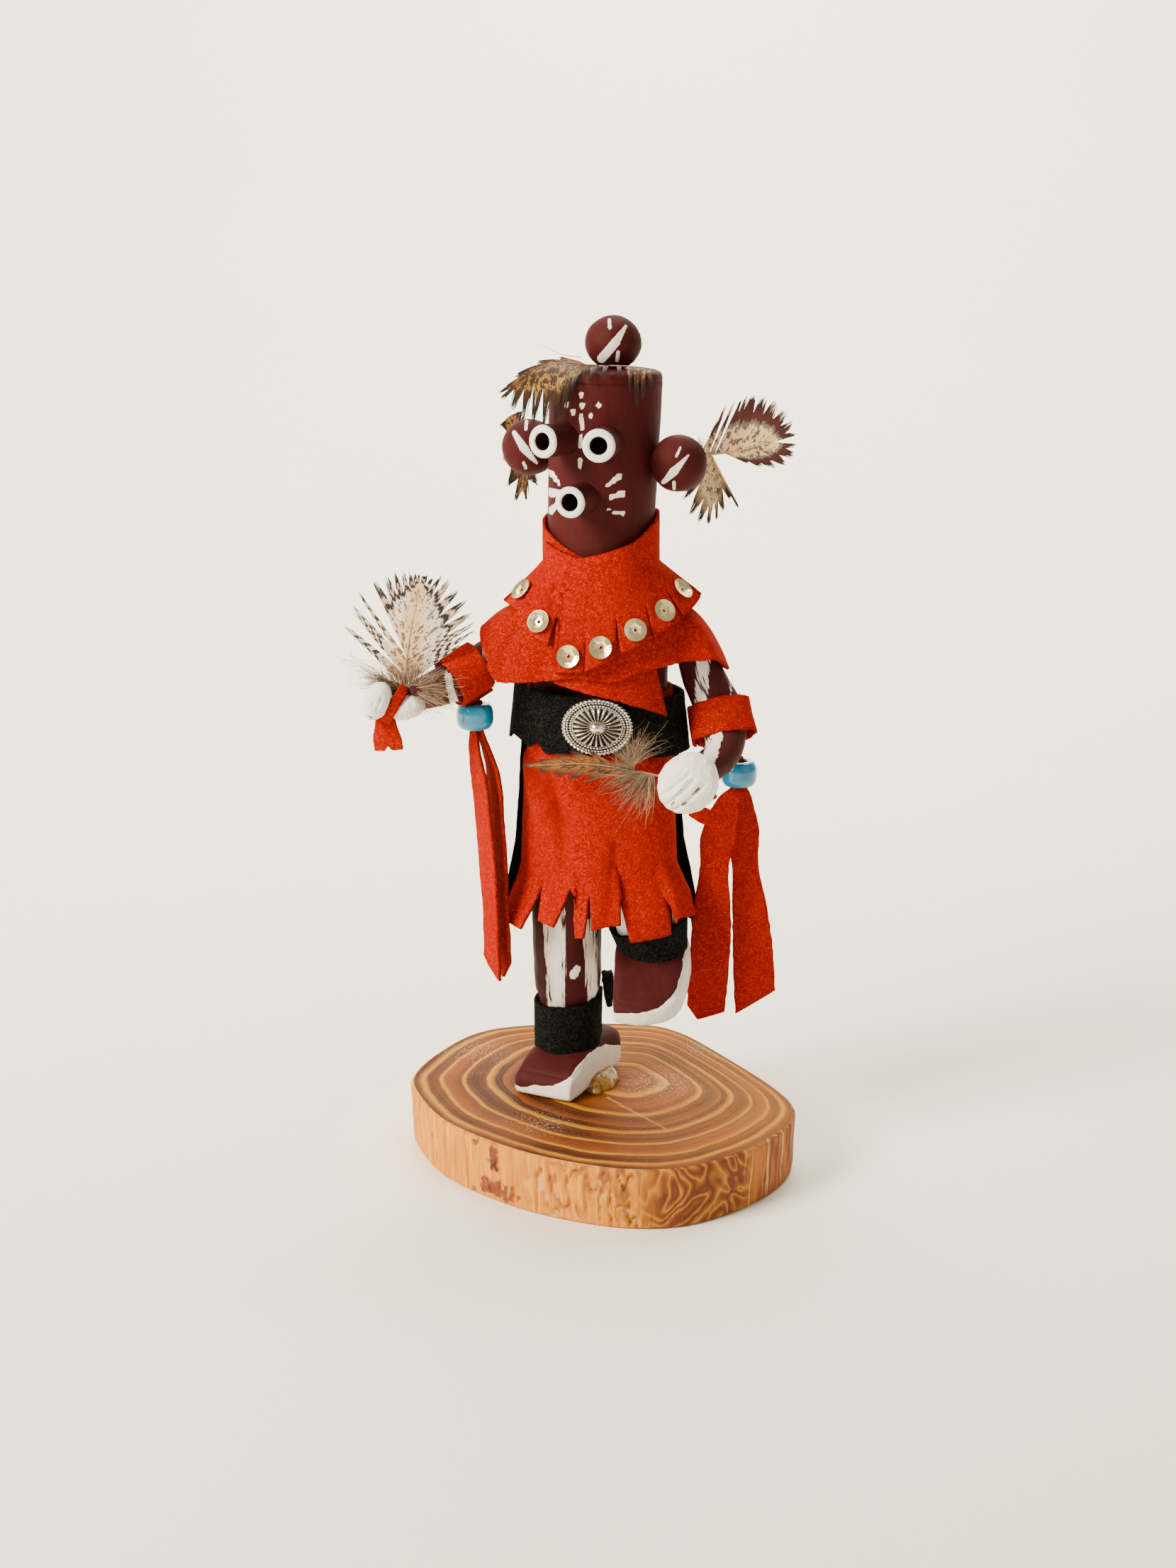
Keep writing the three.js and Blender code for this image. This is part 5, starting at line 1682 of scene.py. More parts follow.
@dataclass
class Wardrobe:
    """The suede garments: kilt, sash, back flap, lower cape and collar."""

    red: bpy.types.Material
    red_edge: bpy.types.Material
    black: bpy.types.Material
    black_edge: bpy.types.Material
    body: tuple[float, float] = (0.3, 4.4)
    neck: tuple[float, float] = (0.6, 3.0)
    waist: tuple[float, float] = (17.9, 14.5)

    def kilt(self) -> Wrap:
        """Gives the red kilt, its hem cut into tabs of uneven length and lifted over the raised knee.

        Returns:
            The kilt.
        """
        hem_line = (
            (-180, 66), (-112, 67), (-88, 65), (-49, 68), (-48, 63.6), (-17, 62.6), (-16, 67.6),
            (8, 66), (9, 64), (20, 63.4), (21, 67), (30, 66), (53, 66.4), (54, 63), (88, 64.8),
            (140, 66), (180, 66),
        )
        flare = ((0, 0), (0.26, 0), (0.4, 0.16), (0.78, 0.24), (1, 1))
        knee_flare = ((0, 0), (0.26, 0), (0.4, 0.16), (0.76, 0.3), (0.9, 0.88), (1, 1))

        def shape(v: Points, b: Points) -> tuple[Points, Points]:
            """Flares the kilt faster where the raised knee pushes it out."""
            knee = swell(b, -55, 75)
            return between(flare, v) * (1 - knee) + between(knee_flare, v) * knee, v

        def folds(b: Points, v: Points, points: Points) -> tuple[Points, Points]:
            """Presses the kilt's folds: in over the thigh, tucked in front, sagging beside the knee.

            Args:
                b: The bearings.
                v: How far down, from 0 to 1.
                points: The places.

            Returns:
                How far out each place goes, and how much painted shade it gets in the crease, tuck and sag.
            """
            pull = ease(v, 0.3, 0.9)
            crease = (
                np.exp(-(((b - 50) + 46 * (v - 0.35)) / 7.0) ** 2)
                * ease(v, 0.28, 0.4) * (1 - ease(v, 0.62, 0.86))
            )
            tuck = np.exp(-(((b + 14) - 30 * (v - 0.7)) / 6.0) ** 2) * ease(v, 0.55, 0.75)
            sag = (
                np.exp(-(((b - 72) + 150 * (v - 0.3)) / 9.0) ** 2)
                * ease(v, 0.24, 0.32) * (1 - ease(v, 0.5, 0.66))
            )
            ridge = (
                np.exp(-(((b - 86) + 150 * (v - 0.3)) / 10.0) ** 2)
                * ease(v, 0.24, 0.34) * (1 - ease(v, 0.5, 0.66))
            )
            wave = 0.75 * np.sin(np.radians(b * 5 + 40)) * pull
            push = wave - 1.2 * crease - 0.8 * tuck - 1.0 * sag + 0.9 * ridge
            # The crease, tuck and sag are also darkened as painted shade.
            return push, 0.7 * crease + 0.5 * tuck + 0.7 * sag

        lengths = {-48: (10.5, 0.5), -17: (9.0, 2.2), 8: (8.5, 1.6), 24: (9.0, 5.5), 54: (12.0, 4.2)}
        bearings = (-166, -140, -112, -88, -48, -17, 8, 24, 54, 88, 116, 144, 168)
        cuts = tuple(Cut(b, *lengths.get(b, (11.0, 1.6))) for b in bearings)
        return Wrap(
            "kilt", self.body, -179.7, 179.7,
            top=lambda b: (ellipse_out(*self.waist, b), 125.0 + 0 * b),
            hem=lambda b: (ellipse_out(22.8, 19.4, b) + 3.6 * swell(b, -44, 56), between(hem_line, b)),
            shape=shape, cuts=cuts, folds=folds, curl=1.5, seed=91,
        )

    def sash(self) -> Wrap:
        """Gives the black sash that bags out at both sides.

        Returns:
            The sash.
        """

        def out(b: Points, bag: float) -> Points:
            """Gives how far out the sash stands.

            Args:
                b: The bearings.
                bag: How much of its bagging shows.

            Returns:
                The distance from the body's middle.
            """
            behind = ease(-np.cos(np.radians(b)), -0.5, -0.1)
            round_out = ellipse_out(19.1, 15.8, b) * (1 - behind) + ellipse_out(20.3, 17.2, b) * behind
            return round_out + bag * (2.6 * swell(b, 82, 26) + 2.2 * swell(b, -76, 34))

        tilt = 1.2
        ragged = ((-180, 0), (-100, 0.8), (-60, -0.6), (-20, 0.5), (30, -0.2), (50, -1.4), (58, 1.4),
            (64, -0.4), (76, 2.4), (84, 0.6), (100, 2.6), (180, 0))
        return Wrap(
            "sash", self.body, -179.6, 179.6,
            top=lambda b: (out(b, 0.3), 124.8 + tilt * np.sin(np.radians(b))),
            hem=lambda b: (out(b, 1.0), 110.2 + tilt * np.sin(np.radians(b)) + between(ragged, b)),
            folds=lambda b, v, p: (0.35 * np.sin(np.radians(b * 7)) * v, 0 * b), curl=0.5, seed=92,
        )

    def back_flap(self) -> Wrap:
        """Gives the black flap that hangs behind the kilt.

        Returns:
            The flap.
        """
        hem_line = ((84, 56), (92, 51.6), (110, 58), (140, 60), (180, 58), (220, 60), (250, 58), (272, 55))
        flare = ((0, 0), (0.16, 0.1), (0.3, 0.16), (0.5, 0.3), (0.75, 0.75), (1, 1))
        return Wrap(
            "back_flap", self.body, 88, 270,
            top=lambda b: (ellipse_out(19.1, 15.8, b), 114.0 + 0 * b),
            hem=lambda b: (ellipse_out(25.8, 21.8, b) + 1.2 * swell(b, 232, 40), between(hem_line, b)),
            shape=lambda v, b: (between(flare, v), v),
            cuts=tuple(Cut(b, 16.0, 1.8) for b in (110, 140, 165, 195, 222, 250)), curl=1.0, seed=93,
        )

    def cape(self) -> Wrap:
        """Gives the lower cape: its inner end hangs to a point, its outer end lies over one arm.

        Returns:
            The cape.
        """
        table = np.array([
            (-33, 119.8, 19.8), (0, 125, 18), (40, 130, 20.4), (61.5, 128.8, 28.6), (64, 133, 30.7),
            (69, 136.8, 31.4), (74, 139.2, 31), (80, 140.4, 30.2), (90, 140, 29.4), (105, 137.4, 27),
            (150, 131, 20.5), (180, 129, 18.5), (210, 131, 20), (240, 133, 24), (262, 130, 29.6),
            (272, 129.4, 32), (291, 134, 30), (300, 133.6, 22.4), (328, 132.6, 18.9),
            (353, 129.6, 17.6), (378, 131.2, 19), (400, 129.8, 20.6), (421.5, 128.8, 28.6),
            (424, 133, 30.7),
        ])

        def lift(b: Points) -> Points:
            """Lifts the wound end off the layer below."""
            return LAP * ease(b, 270, 325)

        def shape(v: Points, b: Points) -> tuple[Points, Points]:
            """Bows the cape between its neck and its hem."""
            side = np.sin(np.radians(b)) ** 2
            return v ** (0.75 - 0.15 * side), v ** (1.3 + 0.15 * side)

        return Wrap(
            "cape_lower", self.neck, -33, 424,
            top=lambda b: (12.6 + 3.6 * np.abs(np.sin(np.radians(b))) + lift(b), 146.4 + 0 * b),
            hem=lambda b: (
                np.interp(b, table[:, 0], table[:, 2]) + lift(b), np.interp(b, table[:, 0], table[:, 1])
            ),
            shape=shape, slant=lambda b: -21 * (1 - ease(b, -33, 40)), curl=0.2, seed=94,
        )

    def collar(self) -> Wrap:
        """Gives the collar, wound into a V and cut into tabs along its hem.

        Returns:
            The collar.
        """
        top_line = (
            (-15, 158.4), (20, 160.2), (60, 164.8), (90, 167.3), (135, 169.6), (270, 169.8),
            (300, 167.6), (330, 163.6), (360, 161.2), (380, 160), (400, 161.4), (422, 163),
        )
        hem_table = np.array([
            (-15, 152, 15.6), (30, 152, 16.4), (45, 149, 18), (58, 145.6, 22), (72, 146.6, 23.2),
            (87, 147, 23.8), (135, 142, 22), (180, 139, 19.8), (225, 142, 21), (272, 148.5, 24.8),
            (299, 145.3, 22.4), (324, 140.9, 21), (348, 137.3, 20.2), (371, 132.8, 20),
            (392, 132.4, 21.2), (394, 138.6, 21.4), (415, 142.4, 22.7), (422, 144.6, 23.4),
        ])
        shoulder = 157.0

        def hem(b: Points, k: int) -> Points:
            """Reads a column of the hem's table."""
            return np.interp(b, hem_table[:, 0], hem_table[:, k])

        def lift(b: Points) -> Points:
            """Lifts the wound end off the layer below."""
            return LAP * ease(b, 270, 340)

        def shape(v: Points, b: Points) -> tuple[Points, Points]:
            """Keeps the collar close to the neck down to the shoulder, then lets it slope out.

            Args:
                v: How far down, from 0 to 1.
                b: The bearings.

            Returns:
                The share of the way out, and of the way down.
            """
            top = between(top_line, b)
            neck = (top - shoulder) / (top - hem(b, 1))
            return np.maximum(0, (v - neck) / (1 - neck)), v

        def folds(b: Points, v: Points, points: Points) -> tuple[Points, Points]:
            """Ripples the collar in front and sinks its notch.

            Args:
                b: The bearings.
                v: How far down, from 0 to 1.
                points: The places.

            Returns:
                How far out each place goes, and how much painted shade it gets in the ripples' hollows and
                the notch.
            """
            front = np.exp(-(((b - 372) / 26) ** 2)) * ease(v, 0.04, 0.2) * (1 - ease(v, 0.35, 0.7))
            ripple = np.sin(v * 46 + (b - 360) * 0.11) * front
            notch = np.exp(-(((b - 401) / 4.5) ** 2)) * ease(v, 0.3, 0.45) * (1 - ease(v, 0.6, 0.8))
            # The ripples' hollows and the notch are also darkened as painted shade.
            return 0.22 * ripple - 0.8 * notch, 0.3 * np.maximum(-ripple, 0) + 0.8 * notch

        lengths = {302: (8.5, 0.8), 325: (9.0, 0.6), 349: (9.0, 1.0), 371: (9.0, 0.6), 394: (7.0, 0.8)}
        bearings = (57, 85, 110, 135, 160, 185, 210, 240, 275, 302, 325, 349, 371, 394)
        return Wrap(
            "collar", self.neck, -15, 422,
            top=lambda b: (13.9 + lift(b), between(top_line, b)),
            hem=lambda b: (hem(b, 2) + lift(b), hem(b, 1)),
            shape=shape, cuts=tuple(Cut(b, *lengths.get(b, (9.0, 1.0))) for b in bearings), folds=folds,
            curl=0.7, seed=95,
        )

    def build(self) -> None:
        """Builds each garment in place of its CAD solid."""
        red, black = [self.red, self.red_edge], [self.black, self.black_edge]
        cloths = (
            (self.kilt(), red, "red_suede", (134.0, 63.0), ("torso_carved", "leg_right_carved")),
            (self.sash(), black, "black_suede", (122.0, 18.0), ("kilt",)),
            (self.back_flap(), black, "black_suede", (76.0, 64.0), ("sash",)),
            (self.cape(), red, "red_suede", (190.0, 34.0), ("arm_right_carved", "arm_left_carved")),
            (self.collar(), red, "red_suede", (166.0, 34.0), ("cape_lower",)),
        )
        for wrap, finishes, slot, size, rests_on in cloths:
            surface = wrap.surface()
            log.info("%s: %.0f square mm of suede", wrap.name, face_area(surface))
            add_suede(f"{wrap.name}_suede", surface, finishes, [wrap.name], size)


@dataclass(frozen=True)
class Strip:
    """A strip of suede wound once round a limb."""

    node: str
    start: tuple[float, float, float]
    end: tuple[float, float, float]
    start_radius: float
    end_radius: float
    seam: float = 270.0
    slope: float = 0.0
    wave: float = 0.25
    slot: str = "red_suede"

    def surface(self) -> Shape:
        """Builds the strip's inner face, a little uneven along both edges.

        Returns:
            The face, with its fields.
        """
        start, end = np.array(self.start), np.array(self.end)
        axis = end - start
        way = unit(axis)
        across = np.array([1.0, 0.0, 0.0]) if abs(axis[0]) <= abs(axis[2]) else np.array([0.0, 0.0, 1.0])
        across = unit(across - way * (across @ way))
        forward = np.cross(way, across)
        long = float(np.linalg.norm(axis))
        rows = max(6, int(long / 0.6))
        columns = int(2 * math.pi * self.start_radius / 0.6)
        share = np.linspace(-0.02, 1.02, columns + 1)
        turn = share * 2 * math.pi + math.radians(self.seam)
        v = np.linspace(0.0, 1.0, rows + 1)[:, None]
        noise = Noise(hash_of(self.node))
        line = np.column_stack([np.cos(turn), np.sin(turn), 0 * turn]) * self.start_radius
        radius = self.start_radius + (self.end_radius - self.start_radius) * v
        radius = radius + self.wave * noise.at(line, 5.0, 2)[None, :] * (0.3 + np.abs(2 * v - 1))
        radius = radius + LAP * ease(share, 0.72, 0.98)[None, :]
        ragged = 0.35 * noise.at(line + 30.0, 2.2, 3)[None, :] * (2 * v - 1) * np.abs(2 * v - 1)
        points = start + axis * v[..., None] + way * ragged[..., None]
        around = np.cos(turn)[:, None] * across + np.sin(turn)[:, None] * forward
        points = points + radius[..., None] * around
        points[..., 2] += (1 - v) * self.slope * np.cos(turn)
        shape = Shape(points.reshape(-1, 3), grid(rows + 1, columns + 1))
        return shape.with_field("crease", 0.0)


def hash_of(name: str) -> int:
    """Gives a small steady number for a name."""
    return sum(ord(c) * (i + 1) for i, c in enumerate(name)) % 1000


STRIPS = (
    Strip("ankle_cuff_left", (-8.1, 9.4, 39.6), (-8.2, 9.9, 25.2), 8.2, 8.0, 330.0, 0.9, slot="black_suede"),
    Strip("ankle_cuff_right", (12.8, -2.8, 64.8), (15.2, -1.2, 53), 9.6, 7.3, slot="black_suede"),
    Strip("arm_band_left", (-30, -3.8, 132), (-37.2, -7.6, 128), 5.7, 5.9, 180.0, wave=0.5),
    Strip("arm_band_right", (30.8, 2.2, 120.6), (32.4, -2, 112.6), 6.7, 7.1, 200.0, wave=0.5),
)


@dataclass
class Ribbon:
    """A strip of suede along a line, as wide as its widths say and cut to its tip."""

    node: str
    line: tuple[tuple[float, float, float], ...]
    widths: tuple[float, ...]
    across: tuple[float, float, float]
    tip: tuple[tuple[float, float], ...]  # across the width, the share of the line that the end reaches
    curl: float = 0.5
    cut_size: tuple[float, float] | None = None
    fine: float = 0.6

    def surface(self) -> Shape:
        """Builds the ribbon's inner face, slightly rolled along its edges and waved down its length.

        Returns:
            The face, with its crease field, which paints shade near its top below the bead.
        """
        line = np.array(self.line)
        long = float(np.sum(np.linalg.norm(np.diff(line, axis=0), axis=1)))
        rows = int(long / self.fine)
        fine_line = smooth_line(line, 400)
        places = np.arange(len(self.widths))
        spread = smooth_line(np.column_stack([places, self.widths, 0 * places]), 400)
        knots = self._knots(fine_line)
        side = unit(np.array(self.across))
        columns = max(4, int(max(self.widths) / self.fine))
        u = np.linspace(0.0, 1.0, columns + 1)
        reach = between(self.tip, u)
        points = []
        for row in np.linspace(0.0, 1.0, rows + 1):
            share = row * reach
            run = share * knots[-1]
            centre = np.stack([np.interp(run, knots, fine_line[:, k]) for k in range(3)], axis=1)
            knot = np.interp(run, knots, np.linspace(0, len(line) - 1, 400))
            wide = np.maximum(np.interp(knot, spread[:, 0], spread[:, 1]), 0.5)
            points.append(centre + side * ((u - 0.5) * wide)[:, None])
        flat = np.array(points).reshape(-1, 3)
        shape = Shape(flat, grid(rows + 1, columns + 1))
        noise = Noise(hash_of(self.node))
        out = np.tile(2 * u - 1, rows + 1)
        down = np.repeat(np.linspace(0, 1, rows + 1), columns + 1)
        waves = 0.7 * self.curl * noise.at(flat * [0.2, 0.2, 1.0], 16.0, 2) * down
        push = self.curl * (0.5 * out**2 - 0.25) + waves
        push = push + 0.12 * noise.at(flat, 3.0, 2)
        shape.pushed(push)
        ragged = 0.22 * noise.at(flat * [0, 0, 1.0] + 7.0, 3.0, 3) * out**3 * ease(down, 0.1, 0.25)
        shape.points += side * ragged[:, None]
        # Painted shade: darker near the top, where the ribbon comes out of the bead.
        return shape.with_field("crease", 0.8 * (1 - ease(down, 0.02, 0.14)))

    @staticmethod
    def _knots(fine_line: Points) -> Points:
        """Gives the run of a fine line from its start, in millimetres."""
        return np.concatenate([[0.0], np.cumsum(np.linalg.norm(np.diff(fine_line, axis=0), axis=1))])


LEFT_BEAD = (-31.2, -4.0, 118.9)
RIGHT_BEAD = (36.1, 4.0, 102.0)
RIBBON_CUT = (10.0, 82.0)


def hanging(
    node: str, bead: tuple[float, float, float], shift: tuple[float, float],
    path: tuple[tuple[float, float, float], ...],
    across: tuple[float, float, float], tip: tuple[tuple[float, float], ...], full: tuple[float, ...],
) -> Ribbon:
    """Makes a ribbon that comes through a bead and hangs down a path.

    Args:
        node: The CAD solid that it stands for.
        bead: The bead's middle.
        shift: How far beside that middle it runs, along x and y.
        path: The points that it hangs through below the bead.
        across: Which way its width runs.
        tip: How its end is cut, as (share of width, share of length) pairs.
        full: Its width at each point of the path.

    Returns:
        The ribbon.
    """
    x, y, z = bead
    neck = tuple((x + shift[0], y + shift[1], z + rise) for rise in (4.1, -1.4, -3.9))
    return Ribbon(node, (*neck, *path), (2.4, 5.0, 9.0, *full), across, tip, cut_size=RIBBON_CUT)


RIBBONS = (
    hanging(
        "ribbon_left_outer", LEFT_BEAD, (-0.7, 0),
        ((-31.8, -4.6, 110), (-30.8, -4.8, 103), (-29.6, -5, 90), (-28.4, -5, 72), (-28.0, -5, 50)),
        (0.5, -1, 0), ((0, 0.94), (1, 1)), (9.0, 10.0, 9.0, 8.6, 9.6),
    ),
    hanging(
        "ribbon_left_inner", LEFT_BEAD, (0.7, 0),
        ((-28.9, -3.4, 110), (-27.2, -3, 103), (-26.2, -3, 90), (-25.4, -3, 72), (-24.8, -2.8, 49)),
        (0.42, -1, 0), ((0, 0.97), (0.5, 1), (1, 0.93)), (8.6, 9.6, 8.6, 8.6, 9.6),
    ),
    hanging(
        "ribbon_right_inner", RIGHT_BEAD, (0, -0.7),
        ((33.6, 2.4, 95.6), (31.6, 1.8, 89), (30.0, 1.2, 78), (29.3, 0.8, 58), (28, -0.2, 36)),
        (1, -0.1, -0.08), ((0, 0.95), (0.3, 1), (1, 0.96)), (7.6, 9.6, 10.4, 10.4, 10.0),
    ),
    hanging(
        "ribbon_right_outer", RIGHT_BEAD, (0, 0.7),
        ((36.9, 5.0, 95.6), (37.2, 5.4, 89), (38.2, 5.4, 78), (40.4, 5.0, 58), (41.6, 3.2, 37)),
        (1, 0.2, 0), ((0, 1), (1, 0.92)), (7.0, 9.0, 10.4, 11.0, 11.0),
    ),
    Ribbon(
        "hand_tie_left", ((-53.0, -13.8, 120.4), (-52.8, -13.6, 116), (-52.4, -13.0, 111.6)),
        (5.0, 7.0, 7.6), (1, -0.2, 0),
        ((0, 1), (0.4, 0.97), (0.5, 0.8), (0.6, 0.95), (1, 0.92)), curl=0.7, fine=0.35,
    ),
    Ribbon(
        "hand_tie_right", ((23, -14, 96.4), (26, -13, 95.2), (29.4, -12, 93.4)), (2.4, 4.4, 3.8),
        (0.4, -0.2, 1),
        ((0, 1), (0.35, 0.84), (0.65, 1), (1, 0.94)), curl=0.5, fine=0.35,
    ),
)


@dataclass
class SuedeTrim:
    """The cuffs, arm bands, ribbons and ties."""

    red: bpy.types.Material
    red_edge: bpy.types.Material
    black: bpy.types.Material
    black_edge: bpy.types.Material

    def build(self) -> None:
        """Builds each strip and ribbon in place of its CAD solid."""
        for strip in STRIPS:
            dark = strip.slot == "black_suede"
            finishes = [self.black, self.black_edge] if dark else [self.red, self.red_edge]
            round_size = ANKLE_CUFF_CUT if dark else None
            add_suede(
                f"{strip.node}_suede", strip.surface(), finishes, [strip.node], round_size,
            )
        for ribbon in RIBBONS:
            red = [self.red, self.red_edge]
            add_suede(
                f"{ribbon.node}_suede", ribbon.surface(), red, [ribbon.node], ribbon.cut_size,
            )
        self.cuff_end()
        self.hand_loops()

    def cuff_end(self) -> None:
        """Builds the free end of the left cuff, a folded scrap of black suede."""
        shape = carved_copy("ankle_cuff_end", 0.35, 4)
        noise = Noise(77)
        shape.pushed(0.25 * noise.at(shape.points, 2.0, 3))
        # Patches of painted shade over the scrap's folds.
        shape.with_field("crease", ease(noise.at(shape.points + 5.0, 2.4), 0.1, 0.5))
        add_piece("ankle_cuff_end_suede", shape, [self.black], ["ankle_cuff_end"])

    def hand_loops(self) -> None:
        """Builds the loops of red suede that tie the feathers to the hands."""
        loops = {
            "hand_loop_left": ((-50.6, -13.6, 124.0), (3.4, 4.6), 30.0),
            "hand_loop_right": ((25.6, -16.6, 105.0), (4.6, 4.6), -30.0),
        }
        for name, (middle, radii, lean) in loops.items():
            turn = np.linspace(0.0, 2 * math.pi, 49)
            spin = np.array(Matrix.Rotation(math.radians(lean), 3, "Y"))
            rings = []
            for way in np.linspace(-1.3, 1.3, 5):
                flat = np.column_stack([way + 0 * turn, radii[0] * np.cos(turn), radii[1] * np.sin(turn)])
                rings.append(flat @ spin.T + np.array(middle))
            # The whole loop is a little darkened as painted shade.
            shape = Shape(np.array(rings).reshape(-1, 3), grid(5, 49)).with_field("crease", 0.2)
            add_suede(name, shape, [self.red, self.red_edge], [])


# ---- Metal, sequins and beads ----


@dataclass
class Concho:
    """The stamped oval concho on the sash."""

    half: tuple[float, float] = (8.8, 7.1)
    middle: tuple[float, float, float] = (-0.4, -12.7, 118.0)
    flutes: int = 24
    beads: tuple[tuple[float, int], ...] = ((0.765, 54), (0.865, 60))
    scallops: int = 48

    def relief(self, share: Points, turn: Points) -> Points:
        """Gives the stamped height, in millimetres, at a share of the way out and an angle.

        Args:
            share: How far out from the middle, from 0 to 1.
            turn: The angle round the middle, in radians.

        Returns:
            One height a point.
        """
        dome = 2.3 * np.sqrt(np.clip(1 - (share / 0.25) ** 2, 0, 1))
        petal = np.clip(1.8 * np.abs(np.cos(turn * self.flutes / 2)) - 0.8, 0, 1) ** 0.7
        slope = 1.0 + 0.5 * np.sin(np.clip((share - 0.25) / 0.45, 0, 1) * math.pi)
        fluted = slope * (0.08 + 0.92 * petal) * ease(share, 0.22, 0.3) * (1 - ease(share, 0.66, 0.71))
        height = np.maximum(dome, fluted)
        ridge = 0.55 * np.exp(-(((share - 0.705) / 0.018) ** 2))
        height = np.maximum(height, ridge)
        for ring, count in self.beads:
            step = 2 * math.pi / count
            across = ((turn / step + 0.5) % 1 - 0.5) * step * ring
            away = np.hypot(share - ring, across)
            ball = 0.62 * np.sqrt(np.clip(1 - (away / 0.046) ** 2, 0, 1))
            height = np.maximum(height, ball)
        rim = 0.5 * ease(share, 0.9, 0.925) * (1 - 0.4 * ease(share, 0.985, 1.0))
        scallop = 0.18 * np.cos(turn * self.scallops) * ease(share, 0.92, 0.96)
        return np.maximum(height, rim + scallop) + 0.3

    def finish(self) -> bpy.types.Material:
        """Makes bright white metal with painted shade in its hollows.

        Returns:
            The material.
        """
        material, tree, shader = new_material("concho_metal")
        place = tree.place()
        low = tree.field("low")
        stain = tree.noise(place, 500.0, 3.0)
        # Painted shade: the hollows are coloured near black.
        tone = tree.mix(tree.times(low, 0.95), "ece6dc", "1a120d")
        colour = tree.mix(tree.times(tree.step(stain, 0.5, 0.75), 0.2), tone, "c8a98c")
        rough = tree.times_plus(low, 0.4, 0.2)
        feed(tree, shader, Base_Color=colour, Metallic=1.0, Roughness=rough)
        feed(tree, shader, Normal=tree.bump(tree.noise(place, 900.0, 2.0), 0.00002, 0.3))
        return material

    def build(self) -> None:
        """Builds the concho in place of its CAD solid."""
        around, out = 600, 120
        turn = np.linspace(0.0, 2 * math.pi, around, endpoint=False)
        share = np.concatenate([np.linspace(0.0005, 1.0, out), [1.0]])
        ring, angle = np.meshgrid(share, turn, indexing="ij")
        height = self.relief(ring, angle)
        height[-1] = 0.0
        edge = 1 + 0.016 * np.cos(angle * self.scallops) * ease(ring, 0.93, 1.0)
        bow = 0.35 * (1 - ring**2)
        points = np.stack([
            self.half[0] * ring * edge * np.cos(angle), -(height + bow),
            self.half[1] * ring * edge * np.sin(angle)
        ], axis=2).reshape(-1, 3)
        shape = Shape(points, grid(len(share), around, wrap=True))
        # The stamped hollows, coloured dark in the finish as painted shade.
        hollow_shade = 1 - ease(height, 0.4, 0.85)
        shape.with_field("low", (hollow_shade * ease(ring, 0.2, 0.3)).ravel())
        back = Shape(
            np.stack([self.half[0] * np.cos(turn), 0 * turn, self.half[1] * np.sin(turn)], axis=1),
            [tuple(reversed(range(around)))],
        )
        shape = shape.plus(back).placed(
            Matrix.Translation(self.middle) @ Matrix.Rotation(math.radians(4), 4, "Y")
        )
        add_piece("concho_plate", shape, [self.finish()], ["concho"])


@dataclass
class Sequins:
    """The cup sequins on the collar's tabs, each set by its CAD solid."""

    radius: float = 2.85
    cup: float = 1.75
    flat: float = 1.0
    hole: float = 0.42
    dish: float = 0.6

    def finish(self) -> bpy.types.Material:
        """Makes pale gold foil under clear plastic.

        Returns:
            The material.
        """
        material, tree, shader = new_material("sequin_foil")
        place = tree.place()
        tone = tree.mix(tree.noise(place, 300.0, 2.0), "e6cf86", "f6e9bf")
        feed(tree, shader, Base_Color=tone, Metallic=0.92, Roughness=0.2, Coat_Weight=0.5,
            Coat_Roughness=0.08)
        feed(tree, shader, Normal=tree.bump(tree.noise(place, 700.0, 2.0), 0.00003, 0.5))
        return material

    def cup_shape(self) -> Shape:
        """Builds one sequin facing +Z: a flat round brim, a six-sided cup and a hole.

        Returns:
            The sequin.
        """
        turn6 = np.arange(24) * math.pi / 12
        flatten = math.cos(math.pi / 6) / np.cos((turn6 + math.pi / 6) % (math.pi / 3) - math.pi / 6)
        rings = [
            (self.hole + 0 * turn6, 0.05), (self.hole + 0.06 + 0 * turn6, 0.0),
            (self.flat * flatten, 0.0), (self.cup * flatten, 0.32),
            (self.radius - 0.12 + 0 * turn6, self.dish), (self.radius + 0 * turn6, self.dish + 0.02),
            (self.radius + 0 * turn6, self.dish - 0.1), (self.cup * flatten, 0.18),
            (self.hole + 0 * turn6, -0.14),
        ]
        points = np.array([
            np.column_stack([r * np.cos(turn6), r * np.sin(turn6), z + 0 * turn6]) for r, z in rings
        ])
        shape = Shape(points.reshape(-1, 3), grid(len(rings), 24, wrap=True))
        return shape

    def build(self) -> None:
        """Builds each sequin in place of its CAD solid."""
        finish = self.finish()
        for i in range(1, 12):
            node = f"sequin_{i:02d}"
            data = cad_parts[node].data
            points = np.empty(len(data.vertices) * 3)
            data.vertices.foreach_get("co", points)
            points = points.reshape(-1, 3) / MM
            middle = points.mean(axis=0)
            _, _, axes = np.linalg.svd(points - middle)
            normal = axes[2]
            radial = middle - np.array([0.6, 3.0, middle[2]])
            normal = normal if normal @ radial > 0 else -normal
            spin = Vector(normal).to_track_quat("Z", "Y").to_matrix().to_4x4()
            lean = Matrix.Rotation(0.9 * i, 4, "Z")
            shape = self.cup_shape().placed(Matrix.Translation(middle - normal * 0.45) @ spin @ lean)
            piece = add_piece(f"{node}_cup", shape, [finish], [node])
            piece.data.polygons.foreach_set("use_smooth", [False] * len(piece.data.polygons))


